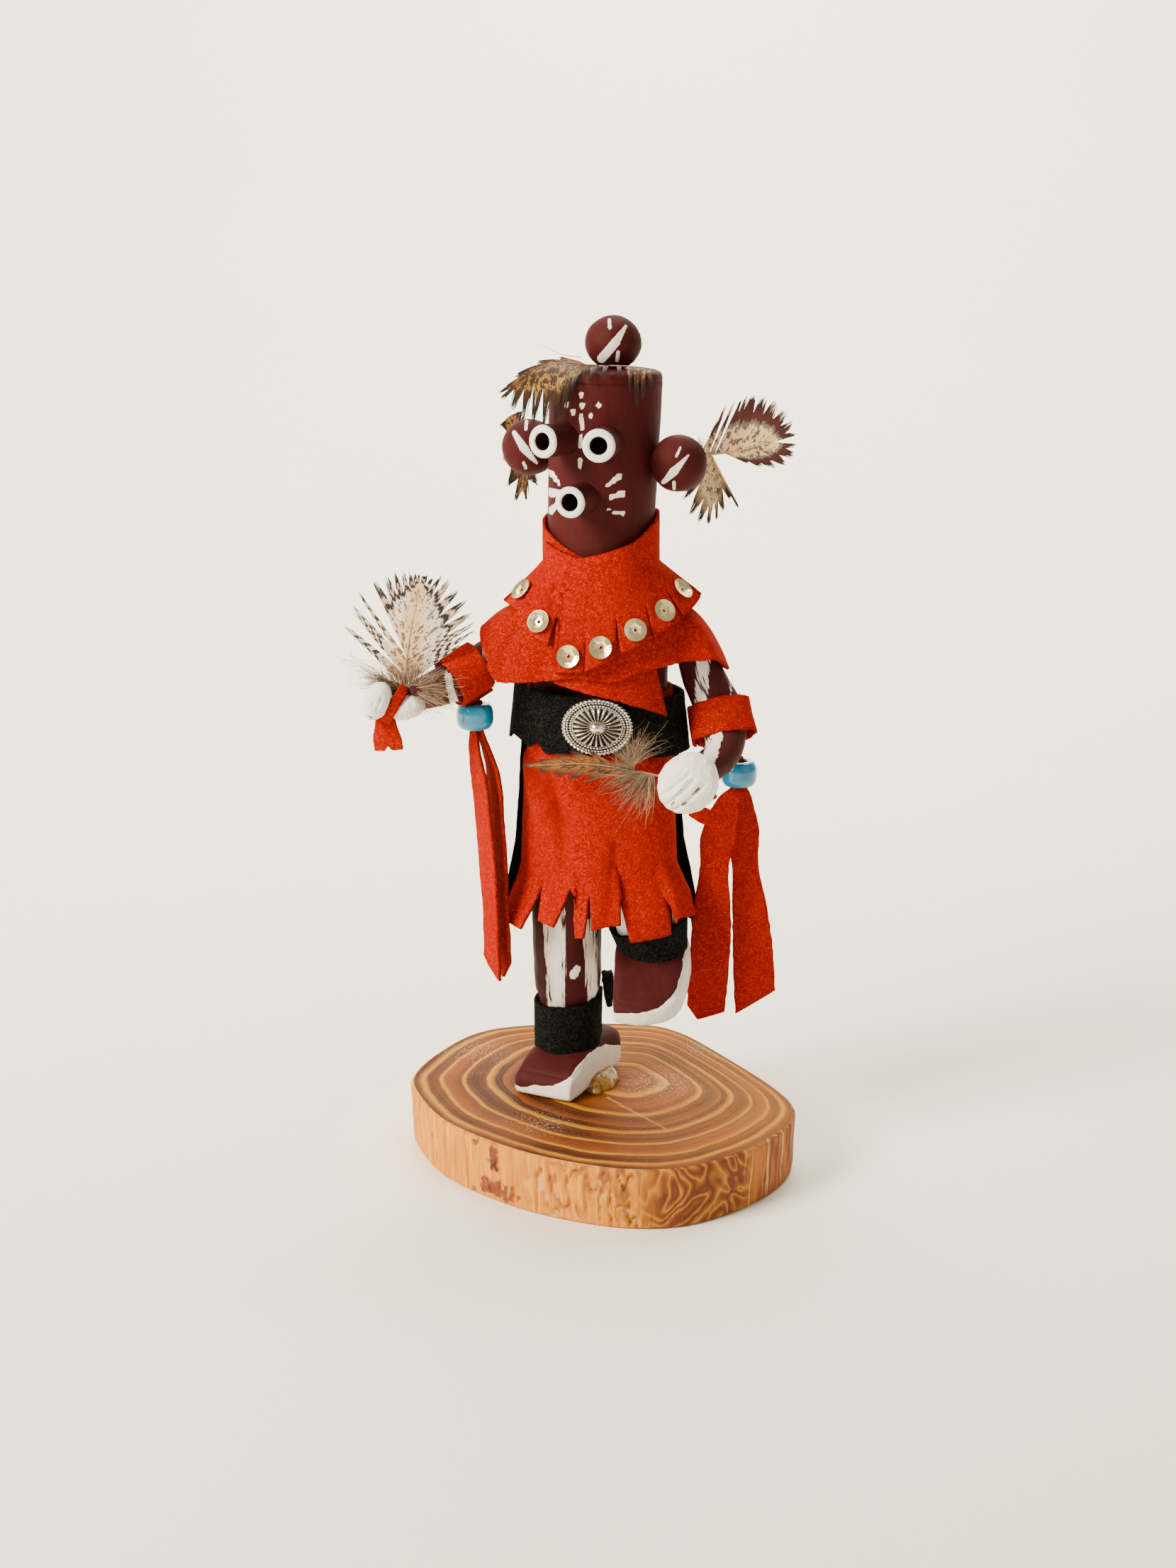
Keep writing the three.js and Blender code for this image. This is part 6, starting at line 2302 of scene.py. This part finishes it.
@dataclass
class Beads:
    """The turquoise barrel beads under the elbows."""

    radius: float = 4.7
    height: float = 6.6
    hole: float = 1.9

    def finish(self) -> bpy.types.Material:
        """Makes glossy turquoise plastic, a little cloudy.

        Returns:
            The material.
        """
        material, tree, shader = new_material("turquoise_bead")
        cloud = tree.noise(tree.place(), 160.0, 2.0, 0.4)
        colour = tree.mix(tree.step(cloud, 0.35, 0.65), "0078a2", "0494be")
        feed(tree, shader, Base_Color=colour, Roughness=0.16, Coat_Weight=0.5, Coat_Roughness=0.05)
        feed(tree, shader, Subsurface_Weight=0.25, Subsurface_Radius=(0.001, 0.002, 0.003))
        feed(tree, shader, Normal=tree.bump(cloud, 0.00005, 0.4))
        return material

    def build(self) -> None:
        """Builds both beads in place of their CAD solids."""
        finish = self.finish()
        half = self.height / 2
        profile = [
            (self.hole, 0.0), (self.hole, half * 0.7), (self.hole + 0.3, half), (self.hole + 1.2, half),
            (self.radius - 0.7, half * 0.92), (self.radius, half * 0.45), (self.radius, 0.0),
            (self.radius, -half * 0.45),
            (self.radius - 0.7, -half * 0.92), (self.hole + 1.2, -half), (self.hole + 0.3, -half),
            (self.hole, -half * 0.7),
            (self.hole, 0.0),
        ]
        for name, middle, lean in (("bead_left", LEFT_BEAD, 0.0), ("bead_right", RIGHT_BEAD, 0.0)):
            shape = lathe(list(reversed(rounded(profile, 3))), 72)
            shape.placed(Matrix.Translation(middle) @ Matrix.Rotation(math.radians(lean), 4, "Y"))
            add_piece(f"{name}_glass", shape, [finish], [name])


# ---- Feathers ----


class Pattern(Enum):
    """How a feather is marked from its shaft out to its tips."""

    BARRED = "barred"
    SPECKLED = "speckled"
    MOTTLED = "mottled"


@dataclass(frozen=True)
class Plume:
    """A feather's colouring: pale and marked near the shaft, banded further out, dark at its tips."""

    name: str
    pattern: Pattern
    cream: str = "e6c79c"
    pale: str = "efe4d4"
    dark: str = "2e1d14"
    fleck: str = "6b4526"
    tip: str = "241c18"
    outer: str = "d9bfa8"
    marked: float = 0.53
    down: str = "a2876a"
    down_dark: str = "4c3a2b"

    def build(self) -> bpy.types.Material:
        """Makes the material from the mesh's fields; "out" and "run" are in mm, the others are shares.

        Returns:
            The material.
        """
        material, tree, shader = new_material(self.name)
        out, run, tone = tree.field("out"), tree.field("run"), tree.field("tone")
        shift = tree.times(tree.minus(tone, 0.5), 0.1)
        tip = tree.plus(tree.field("tip"), shift)
        spots = tree.noise(tree.vector(tree.times(run, 1.1), tree.times(out, 0.55), 0.0), 1.0, 2.0, 0.8)
        marks = tree.step(tree.plus(spots, shift), self.marked, self.marked + 0.07)
        base = tree.mix(tree.step(out, 2.0, 9.0), self.cream, self.pale)
        inner = tree.mix(tree.times(marks, 0.9), base, self.fleck)
        if self.pattern is Pattern.BARRED:
            colour = self._band(tree, inner, tip, 0.6, 0.71, self.tip, self.outer)
            colour = self._band(tree, colour, tip, 0.8, 0.84, self.tip, self.tip)
            bars = tree.step(tree.math("PINGPONG", tree.plus(tree.times(out, 0.36), shift), 0.5), 0.2, 0.3)
            barred = tree.mix(bars, self.pale, self.dark)
            low = tree.times(tree.minus(1.0, tree.step(run, 6.0, 10.0)), tree.step(out, 6.0, 9.0))
            colour = tree.mix(low, colour, barred)
        elif self.pattern is Pattern.SPECKLED:
            colour = self._band(tree, inner, tip, 0.46, 0.56, "756a63", self.outer)
            streak = tree.step(tree.noise(tree.vector(tree.times(run, 3.0), 0.0, tone), 1.0, 1.0), 0.44, 0.56)
            dark = tree.times(tree.step(tip, 0.66, 0.9), tree.times_plus(streak, 0.6, 0.4))
            colour = tree.mix(dark, colour, self.tip)
        else:
            colour = tree.mix(tree.step(tip, 0.44, 0.62), inner, self.outer)
            colour = tree.mix(tree.step(tip, 0.6, 0.85), colour, self.tip)
        shade = tree.mix(tree.times(tone, 0.35), colour, self.outer, "MULTIPLY")
        loose = tree.mix(tree.step(tone, 0.3, 0.8), self.down_dark, self.down)
        colour = tree.mix(tree.field("fluff"), shade, loose)
        feed(tree, shader, Base_Color=colour, Roughness=0.55, Specular_IOR_Level=0.35, Sheen_Weight=0.15)
        return material

    @staticmethod
    def _band(
        tree: Tree, inner: Socket, tip: Socket, start: float, end: float, band: Value, beyond: Value
    ) -> Socket:
        """Puts a band across the barbs, and another colour beyond it."""
        colour = tree.mix(tree.step(tip, start - 0.02, start + 0.02), inner, band)
        return tree.mix(tree.step(tip, end - 0.02, end + 0.02), colour, beyond)


Clump = tuple[float, float, tuple[float, float, float]]
BARB_FIELDS = ("out", "run", "tip", "tone", "fluff")


def strips(
    lines: Sequence[Points], widths: Sequence[Points], facing: Sequence[float], values: Sequence[dict]
) -> Shape:
    """Lays a thin strip along each line.

    Args:
        lines: The strips' middles.
        widths: The width at each point of each strip.
        facing: Which way their flat sides look.
        values: The fields of each strip, each one value or one a point.

    Returns:
        All the strips as one shape.
    """
    points, faces = [], []
    fields: dict[str, list[Points]] = {key: [] for key in BARB_FIELDS}
    start = 0
    for line, wide, value in zip(lines, widths, values):
        side = unit(np.cross(unit(np.gradient(line, axis=0)), np.array(facing))) * wide[:, None] / 2
        points.append(np.stack([line - side, line + side], axis=1).reshape(-1, 3))
        for key in BARB_FIELDS:
            fields[key].append(np.repeat(np.broadcast_to(value[key], (len(line),)), 2))
        faces += [(a, a + 1, a + 3, a + 2) for a in range(start, start + 2 * len(line) - 2, 2)]
        start += 2 * len(line)
    return Shape(np.concatenate(points), faces, {key: np.concatenate(parts) for key, parts in fields.items()})


def vane(
    bone: Callable[[float], Points], long: float, clumps: Sequence[Clump], each: int, seed: int,
    width: float = 0.34, bow: Sequence[float] = (0.0, 0.0, 0.0),
    part: tuple[float, float, float] = (0.6, 1.0, 0.5), facing: Sequence[float] = (0, -1, 0),
) -> Shape:
    """Builds one side of a feather: barbs that lie side by side near the shaft and part into pointed clumps.

    Args:
        bone: Gives a place on the shaft by its share.
        long: The shaft's length in millimetres.
        clumps: For each, where it starts and ends on the shaft, and its tip.
        each: How many barbs a clump has.
        seed: Makes its unevenness its own.
        width: A barb's width.
        bow: How far the barbs arch, as a share of their length.
        part: Between which shares of their length a clump's barbs draw together, and how far.
        facing: Which way the vane looks.

    Returns:
        The barbs.
    """
    rng = np.random.default_rng(seed)
    middles = np.array([0.5 * (c[0] + c[1]) for c in clumps])
    tips = np.array([c[2] for c in clumps])
    k = np.linspace(0.0, 1.0, BARB_POINTS)
    together = part[2] * ease(k, part[0], part[1])[:, None]
    arch = (np.array(bow) * 4)[None, :] * (k * (1 - k))[:, None]
    lines, widths, values = [], [], []
    for start, end, tip in clumps:
        mood = rng.uniform(0, 1)
        for i in range(each):
            t = start + (end - start) * (i + 0.5) / each
            root = bone(t)
            even = np.array([np.interp(t, middles, tips[:, axis]) for axis in range(3)])
            point = np.array(tip) + rng.normal(0, 0.22, 3) * np.array([1, 0.5, 1])
            reach = 1 + rng.normal(0, 0.035) - 0.09 * abs(2 * (i + 0.5) / each - 1) ** 2
            aim = even + (point - even) * together
            span = float(np.linalg.norm(point - root))
            line = root + (aim - root) * (k * reach)[:, None] + arch * span
            lines.append(line + rng.normal(0, 0.05, 3) * k[:, None])
            widths.append(width * (1 - 0.8 * k**3))
            tone = 0.6 * mood + 0.4 * rng.uniform(0, 1)
            values.append({"out": k * span, "run": t * long, "tip": k, "tone": tone, "fluff": 0.0})
    return strips(lines, widths, facing, values)


def down(
    roots: Sequence[Sequence[float]], tips: Sequence[Sequence[float]], count: int, seed: int,
    short: float = 0.4, loose: float = 0.1, width: float = 0.13, facing: Sequence[float] = (0, -1, 0),
) -> Shape:
    """Builds loose down: fine curling strands of uneven length.

    Args:
        roots: A line that the strands grow from.
        tips: A line that the longest of them reach.
        count: How many strands.
        seed: Makes them their own.
        short: The shortest strand, as a share of the longest.
        loose: How untidy they are, as a share of their length.
        width: A strand's width.
        facing: Which way their flat sides look.

    Returns:
        The strands.
    """
    rng = np.random.default_rng(seed)
    start, end = smooth_line(roots, BONE_POINTS), smooth_line(tips, BONE_POINTS)
    k = np.linspace(0.0, 1.0, BARB_POINTS)
    lines, widths, values = [], [], []
    for i in range(count):
        place = int(BONE_POINTS * ((i + 0.5) / count + rng.normal(0, 0.02)))
        place = min(BONE_POINTS - 1, max(0, place))
        root = start[place]
        span = (end[place] - root) * rng.uniform(short, 1.0)
        long = float(np.linalg.norm(span))
        span = span + rng.normal(0, loose * long, 3)
        curl = rng.normal(0, 0.11 * long, 3)
        swing = np.sin(k * rng.uniform(3.0, 7.5) + rng.uniform(0, 6.28))
        line = root + span * k[:, None] + curl * (swing * k)[:, None]
        line[:, 2] += -0.05 * long * k**2
        lines.append(line)
        widths.append(width * (1 - 0.7 * k))
        values.append({"out": k * long, "run": 0.0, "tip": k, "tone": rng.uniform(0, 1), "fluff": 1.0})
    return strips(lines, widths, facing, values)


def shaft(line: Sequence[Sequence[float]], thick: float, end: float = 0.12) -> Shape:
    """Builds a feather's shaft, thinning to its tip.

    Args:
        line: The points that it runs through.
        thick: How thick it is at its root.
        end: How thick it is at its tip.

    Returns:
        The shaft.
    """
    fine = smooth_line(line, SHAFT_POINTS)
    shape = tube(fine, np.linspace(thick / 2, end / 2, SHAFT_POINTS), 8)
    for key, value in (("out", 0.0), ("tip", 0.0), ("run", 0.0), ("tone", 0.9), ("fluff", 0.6)):
        shape.with_field(key, value)
    return shape


def bone_of(points: Sequence[Sequence[float]]) -> Callable[[float], Points]:
    """Gives places along a smooth line through points, by share of its length.

    Args:
        points: The points that the line runs through.

    Returns:
        A function from a share of the length to a place.
    """
    line = smooth_line(points, BONE_POINTS)
    places = np.arange(BONE_POINTS)
    return lambda t: np.array([np.interp(t * places[-1], places, line[:, axis]) for axis in range(3)])


@dataclass
class Feathers:
    """The feathers at the hands, ears and head."""

    def fan_feather(self) -> Shape:
        """Builds the spread feather in the left hand.

        Returns:
            The feather.
        """
        line = [(-48.4, -12.4, 127.0), (-46.9, -11.4, 140.0), (-43.9, -9.7, 153.4)]
        split = [(0.06, 0.14, -62.6, 142.6), (0.16, 0.24, -60.6, 147.6), (0.25, 0.31, -58.6, 150.6)]
        left = [
            (0.32, 0.44, -55.4, 153.6), (0.44, 0.53, -52.2, 155.1), (0.53, 0.62, -50.0, 155.7),
            (0.62, 0.71, -48.0, 156.0), (0.71, 0.8, -46.4, 155.7), (0.8, 0.88, -45.2, 155.8),
            (0.88, 0.97, -44.2, 155.6),
        ]
        right = [
            (0.06, 0.14, -34.2, 138.4), (0.14, 0.21, -31.6, 141.4), (0.21, 0.28, -30.9, 143.5),
            (0.28, 0.36, -31.9, 146.0), (0.36, 0.45, -33.0, 149.2), (0.45, 0.54, -34.8, 151.6),
            (0.54, 0.64, -37.1, 154.0), (0.64, 0.73, -39.2, 154.9), (0.73, 0.82, -40.9, 154.9),
            (0.82, 0.9, -42.3, 155.4), (0.9, 0.97, -43.3, 155.3),
        ]
        shape = shaft(line, 0.8)
        sides = (
            (split, 206, (0.1, 0.9, 0.6)), (left, 201, (0.62, 1.0, 0.5)), (right, 202, (0.55, 1.0, 0.55)),
        )
        for side, seed, part in sides:
            clumps = [(a, b, (x, -12.4 + 0.1 * (z - 128.0), z)) for a, b, x, z in side]
            shape = shape.plus(vane(bone_of(line), 27.5, clumps, 15, seed, 0.38, part=part))
        near = [(-50.6, -13.4, 128.6), (-48.4, -13.8, 127.4), (-45.4, -13.8, 128.4)]
        far = [
            (-64, -13, 136), (-60, -14.5, 131.4), (-56.4, -16, 127.6), (-51, -17.4, 123.2),
            (-45, -17.6, 121.6), (-38.4, -16.8, 123.4), (-33.6, -15.6, 128), (-37, -14.6, 132.4),
            (-42, -14.2, 134.4),
        ]
        shape = shape.plus(down(near, far, 900, 203, 0.25, 0.16, 0.13))
        shape = shape.plus(down(near, far, 90, 204, 0.8, 0.2, 0.1))
        up = [(-55, -13.6, 135.4), (-51, -13.8, 137), (-47.6, -14, 138), (-44.4, -13.8, 136.6)]
        return shape.plus(down(near, up, 240, 205, 0.3, 0.16, 0.12))

    def ear_right_up(self) -> Shape:
        """Builds the speckled feather that stands out beside the right ear.

        Returns:
            The feather.
        """
        line = [(24.6, 5.0, 183.2), (34.0, 4.2, 184.4), (43.0, 3.4, 186.8)]
        loose = [
            (0.02, 0.06, (29.6, 4.8, 191.6)), (0.08, 0.14, (31.4, 4.6, 195.8)),
            (0.16, 0.22, (33.6, 4.5, 196.6)),
        ]
        upper = [
            (0.24, 0.34, (35.0, 4.6, 196.6)), (0.34, 0.44, (36.4, 4.4, 197.4)),
            (0.44, 0.56, (38.0, 4.2, 197.9)), (0.56, 0.66, (40.8, 4.0, 197.6)),
            (0.66, 0.76, (43.8, 3.6, 196.8)), (0.76, 0.84, (46.0, 3.4, 194.2)),
            (0.84, 0.91, (47.6, 3.2, 191.2)), (0.91, 0.98, (48.6, 3.0, 188.6)),
        ]
        lower = [
            (0.36, 0.5, (36.6, 4.4, 181.6)), (0.5, 0.62, (40.0, 4.2, 180.6)),
            (0.62, 0.74, (43.4, 3.8, 180.4)), (0.74, 0.83, (46.2, 3.4, 181.2)),
            (0.83, 0.91, (48.2, 3.2, 183.4)), (0.91, 0.98, (48.8, 3.0, 186.2)),
        ]
        shape = shaft(line, 0.7)
        shape = shape.plus(vane(bone_of(line), 19.0, loose, 9, 214, 0.3, part=(0.2, 0.8, 0.8)))
        shape = shape.plus(vane(bone_of(line), 19.0, upper, 20, 211, 0.38, part=(0.7, 1.0, 0.4)))
        shape = shape.plus(vane(bone_of(line), 19.0, lower, 18, 212, 0.38, part=(0.7, 1.0, 0.4)))
        tuft = [(22.4, 3.4, 187.6), (24.4, 3.2, 188.8), (26.6, 3.4, 188.4)]
        return shape.plus(down([(24.4, 4.6, 184.4), (25.4, 4.6, 184.2)], tuft, 40, 213, 0.4))

    def ear_right_down(self) -> Shape:
        """Builds the mottled feather that hangs behind the right ear.

        Returns:
            The feather.
        """
        line = [(27.4, 6.6, 184.6), (29.2, 6.6, 179.4), (29.0, 6.6, 172.0)]
        left = [
            (0.0, 0.24, (21.6, 7.4, 172.6)), (0.24, 0.5, (23.0, 7.2, 168.4)),
            (0.5, 0.74, (25.2, 7.0, 166.6)), (0.74, 0.97, (27.6, 6.9, 166.0)),
        ]
        right = [
            (0.0, 0.1, (34.9, 6.2, 170.4)), (0.12, 0.36, (33.0, 6.4, 172.6)),
            (0.36, 0.66, (31.4, 6.6, 169.4)), (0.66, 0.97, (29.6, 6.8, 167.2)),
        ]
        shape = shaft(line, 0.4)
        for side, seed in ((left, 221), (right, 222)):
            shape = shape.plus(vane(bone_of(line), 13.0, side, 24, seed, 0.36, part=(0.45, 1.0, 0.62)))
        return shape

    def ear_left(self) -> Shape:
        """Builds the feather that hangs behind the left ear.

        Returns:
            The feather.
        """
        line = [(-22.8, 17.8, 191.6), (-19.2, 18.2, 182.0), (-19.4, 17.6, 172.6)]
        left = [
            (0.0, 0.16, (-24.8, 17.4, 189.6)), (0.16, 0.4, (-24.4, 17.4, 180.8)),
            (0.4, 0.66, (-23.2, 17.4, 174.2)), (0.66, 0.97, (-21.2, 17.4, 170.4)),
        ]
        right = [
            (0.0, 0.2, (-19.6, 17.4, 193.0)), (0.2, 0.45, (-15.0, 17.8, 182.6)),
            (0.45, 0.7, (-15.6, 17.6, 174.8)), (0.7, 0.97, (-18.4, 17.4, 170.6)),
        ]
        shape = shaft(line, 0.5)
        for side, seed in ((left, 231), (right, 232)):
            shape = shape.plus(vane(bone_of(line), 19.5, side, 20, seed, 0.34, part=(0.4, 0.95, 0.75)))
        return shape

    def head_left(self) -> Shape:
        """Builds the feather that lies over the head's rim on the left.

        Returns:
            The feather.
        """
        line = [(-2.6, -2.6, 206.0), (-9.0, -5.2, 206.8), (-15.6, -6.6, 205.2), (-20.8, -7.2, 200.6)]
        lower = [
            (0.02, 0.14, (-6.4, -13.6, 200.8)), (0.14, 0.26, (-8.6, -13.4, 195.2)),
            (0.26, 0.38, (-10.6, -13.0, 192.6)), (0.38, 0.5, (-13.4, -12.2, 192.0)),
            (0.5, 0.62, (-16.0, -11.2, 192.2)), (0.62, 0.73, (-18.4, -10.0, 193.8)),
            (0.73, 0.85, (-21.0, -8.8, 196.0)), (0.85, 0.97, (-23.6, -7.8, 198.4)),
        ]
        upper = [
            (0.02, 0.3, (-9.4, -2.2, 207.8)), (0.3, 0.5, (-14.6, -3.8, 207.2)),
            (0.5, 0.75, (-20.0, -5.4, 204.0)), (0.75, 0.97, (-24.0, -6.8, 199.8)),
        ]
        shape = shaft(line, 0.5)
        bone = bone_of(line)
        shape = shape.plus(vane(bone, 20.5, lower, 13, 241, 0.34, (0.0, -0.12, 0.1), (0.35, 0.95, 0.72)))
        return shape.plus(vane(bone, 20.5, upper, 15, 242, 0.34, (0.0, 0.0, 0.05), (0.4, 0.95, 0.7)))

    def head_right(self) -> Shape:
        """Builds the broken feather that lies over the rim in front and on the right.

        Returns:
            The feather.
        """
        line = [(-3.0, -6.0, 206.0), (4.0, -7.6, 206.3), (9.4, -7.4, 206.0), (13.6, -5.6, 205.3)]
        front = [
            (0.0, 0.08, (-4.2, -13.6, 203.6)), (0.1, 0.17, (-2.4, -13.8, 202.6)),
            (0.26, 0.33, (1.0, -13.7, 204.0)), (0.44, 0.5, (4.6, -13.5, 204.2)),
            (0.58, 0.65, (7.4, -13.1, 200.4)), (0.67, 0.75, (9.0, -12.6, 197.0)),
            (0.76, 0.83, (10.6, -12.0, 198.6)), (0.86, 0.93, (12.6, -10.8, 201.6)),
        ]
        shape = shaft(line, 0.45)
        shape = shape.plus(vane(bone_of(line), 17.5, front, 9, 251, 0.28, (0.0, -0.1, 0.16), (0.2, 0.9, 0.7)))
        far = [(12.6, 6, 208), (11.6, 4, 212), (12.4, 2, 216), (10.6, 0, 217)]
        wisps = down([(6.6, 4.0, 206.2), (8.6, 2.0, 206.2)], far, 14, 252, 0.7, 0.16, 0.1)
        quill = shaft([(-4.2, 2.0, 207.6), (-9.0, 1.0, 208.4), (-15.5, 0.0, 211.2)], 0.22, 0.08)
        return shape.plus(wisps).plus(quill)

    def hand_right(self) -> Shape:
        """Builds the feather held in the right fist, with its down in front of the sash.

        Returns:
            The feather, with its down.
        """
        line = [(16.0, -18.4, 106.6), (8.0, -18.8, 108.4), (-4.0, -19.2, 110.2), (-17.2, -17.8, 109.2)]
        upper = [
            (0.3, 0.42, (-2.0, -19.0, 113.4)), (0.42, 0.54, (-6.4, -18.8, 113.2)),
            (0.54, 0.66, (-10.4, -18.6, 112.4)), (0.66, 0.8, (-14.6, -18.2, 111.0)),
            (0.8, 0.97, (-18.6, -17.6, 109.4)),
        ]
        lower = [
            (0.3, 0.42, (-3.0, -19.4, 105.4)), (0.42, 0.54, (-7.4, -19.2, 106.2)),
            (0.54, 0.66, (-11.0, -18.8, 107.0)), (0.66, 0.8, (-14.6, -18.4, 107.8)),
            (0.8, 0.97, (-18.4, -17.6, 108.7)),
        ]
        shape = shaft(line, 0.55)
        for side, seed in ((upper, 261), (lower, 262)):
            bow = (-0.05, 0.0, 0.0)
            shape = shape.plus(vane(bone_of(line), 34.0, side, 20, seed, 0.3, bow, (0.4, 0.95, 0.6)))
        near = [(13.6, -18.4, 107.0), (10.0, -19.0, 108.0), (6.0, -19.2, 108.8)]
        far = [
            (12.6, -19.6, 96.6), (7.6, -20.6, 97.6), (2.6, -21.0, 101.4), (0.4, -21.2, 106.4),
            (2.6, -20.8, 112.4), (6.8, -20.2, 117.8), (11.6, -19.4, 119.4), (15.8, -18.6, 116.4),
        ]
        shape = shape.plus(down(near, far, 620, 263, 0.3, 0.16, 0.13))
        return shape.plus(down(near, far, 70, 264, 0.8, 0.2, 0.1))

    def build(self) -> None:
        """Builds each feather in place of its CAD solid."""
        barred = Plume("barred_feather", Pattern.BARRED).build()
        speckled = Plume(
            "speckled_feather", Pattern.SPECKLED, outer="4c1a12", pale="e8d2ae", fleck="4a3020", tip="1c0f0c",
        ).build()
        mottled = Plume(
            "mottled_feather", Pattern.MOTTLED, cream="dcc194", pale="e6d3ae", outer="a08564", fleck="3a2a1c",
        ).build()
        dark = Plume(
            "dark_feather", Pattern.MOTTLED, cream="9c6a30", pale="c09450", outer="3c2410", tip="180e08",
            fleck="241509", marked=0.46,
        ).build()
        brown = Plume(
            "brown_feather", Pattern.MOTTLED, cream="8e5816", pale="a8702a", outer="74461a", tip="3a200c",
            fleck="2c1a0c", marked=0.48,
        ).build()
        feathers = (
            ("feather_fan", self.fan_feather(), barred),
            ("feather_ear_right_up", self.ear_right_up(), speckled),
            ("feather_ear_right_down", self.ear_right_down(), mottled),
            ("feather_ear_left", self.ear_left(), dark),
            ("feather_head_left", self.head_left(), dark),
            ("feather_head_right", self.head_right(), dark),
            ("feather_hand_right", self.hand_right(), brown),
        )
        for node, shape, finish in feathers:
            add_piece(f"{node}_vane", shape, [finish], [node])
            log.info("%s: %d faces", node, len(shape.faces))


# ---- Studio ----


@dataclass
class Studio:
    """A pale floor that curves up behind, soft light from the left, and the camera."""

    eye: tuple[float, float, float] = (-2.7, -584.0, 250.0)
    tilt: float = 14.4
    lens: float = 54.11

    def floor(self) -> None:
        """Builds the floor and its curved back as one sheet."""
        line = [(-1.6, 0.0), (0.2, 0.0), (0.5, 0.02), (0.8, 0.1), (1.05, 0.28), (1.18, 0.6), (1.2, 1.0),
            (1.2, 1.8)]
        profile = smooth_line([(0.0, y, z) for y, z in line], 60)
        profile[:, 2] = np.maximum(profile[:, 2], 0.0)
        across = np.linspace(-2.0, 2.0, 9)
        points = np.array([(x, y, z) for _, y, z in profile for x in across]) / MM
        shape = Shape(points, grid(60, 9))
        material, tree, shader = new_material("pale_floor")
        tone = tree.mix(tree.noise(tree.place(), 4.0, 2.0), "f6f1e2", "fdf9ec")
        feed(tree, shader, Base_Color=tone, Roughness=0.8)
        feed(tree, shader, Normal=tree.bump(tree.noise(tree.place(), 260.0, 3.0), 0.0003, 0.4))
        floor = bpy.data.objects.new("floor", shape.mesh("floor"))
        bpy.context.scene.collection.objects.link(floor)
        floor.data.materials.append(material)

    def light(
        self, name: str, place: Sequence[float], aim: Sequence[float], size: float, power: float, tint: str
    ) -> None:
        """Adds a soft square light.

        Args:
            name: The light's name.
            place: Where it hangs, in metres.
            aim: What it faces, in metres.
            size: Its side, in metres.
            power: Its power in watts.
            tint: Its colour.
        """
        data = bpy.data.lights.new(name, "AREA")
        data.shape, data.size, data.energy = "SQUARE", size, power
        data.color = srgb(tint)[:3]
        lamp = bpy.data.objects.new(name, data)
        bpy.context.scene.collection.objects.link(lamp)
        lamp.location = place
        lamp.rotation_euler = (Vector(aim) - Vector(place)).to_track_quat("-Z", "Y").to_euler()

    def build(self) -> None:
        """Builds the floor, lights, surroundings and camera."""
        self.floor()
        self.light("window", (-0.95, -0.6, 0.8), (0.0, 0.0, 0.1), 0.5, 44.0, "fff0dc")
        self.light("room", (1.1, -0.9, 0.7), (0.0, 0.0, 0.1), 1.2, 3.0, "fff1e0")
        self.light("above", (0.1, 0.5, 1.1), (0.0, 1.3, 0.3), 0.9, 36.0, "fff8ec")
        world = bpy.data.worlds.new("room_air")
        world.use_nodes = True
        world.node_tree.nodes["Background"].inputs[0].default_value = srgb("f1ebdc")
        world.node_tree.nodes["Background"].inputs[1].default_value = 0.45
        bpy.context.scene.world = world
        data = bpy.data.cameras.new("camera")
        data.sensor_width, data.lens = 36.0, self.lens
        data.clip_start, data.clip_end = 0.05, 20.0
        camera = bpy.data.objects.new("camera", data)
        bpy.context.scene.collection.objects.link(camera)
        camera.location = Vector(self.eye) * MM
        camera.rotation_euler = (math.radians(90.0 - self.tilt), 0.0, 0.0)
        bpy.context.scene.camera = camera


def main() -> None:
    """Builds every piece of the doll and the studio round it."""
    logging.basicConfig(level=logging.INFO, format="%(name)s: %(message)s")
    red = Suede("red_suede", "860900", "aa1400", "ca2a00", "920f00").build()
    red_edge = Suede("red_suede_edge", "640800", "921400", "c02c04", "7c0e00").build()
    black = Suede("black_suede", "030303", "0c0e0c", "262a26", "060706", sheen=0.15).build()
    black_edge = Suede("black_suede_edge", "030303", "090a09", "181a18", "050505").build()
    Studio().build()
    builders = {
        "slab": Slab().build,
        "glue": Glue().build,
        "feet": build_feet,
        "body": Body().build,
        "head": Head().build,
        "hands": Hands().build,
        "garments": Wardrobe(red, red_edge, black, black_edge).build,
        "cuffs, bands and ribbons": SuedeTrim(red, red_edge, black, black_edge).build,
        "concho": Concho().build,
        "sequins": Sequins().build,
        "beads": Beads().build,
        "feathers": Feathers().build,
    }
    for name, build in builders.items():
        build()
        log.info("built the %s", name)


if __name__ == "__main__":
    main()
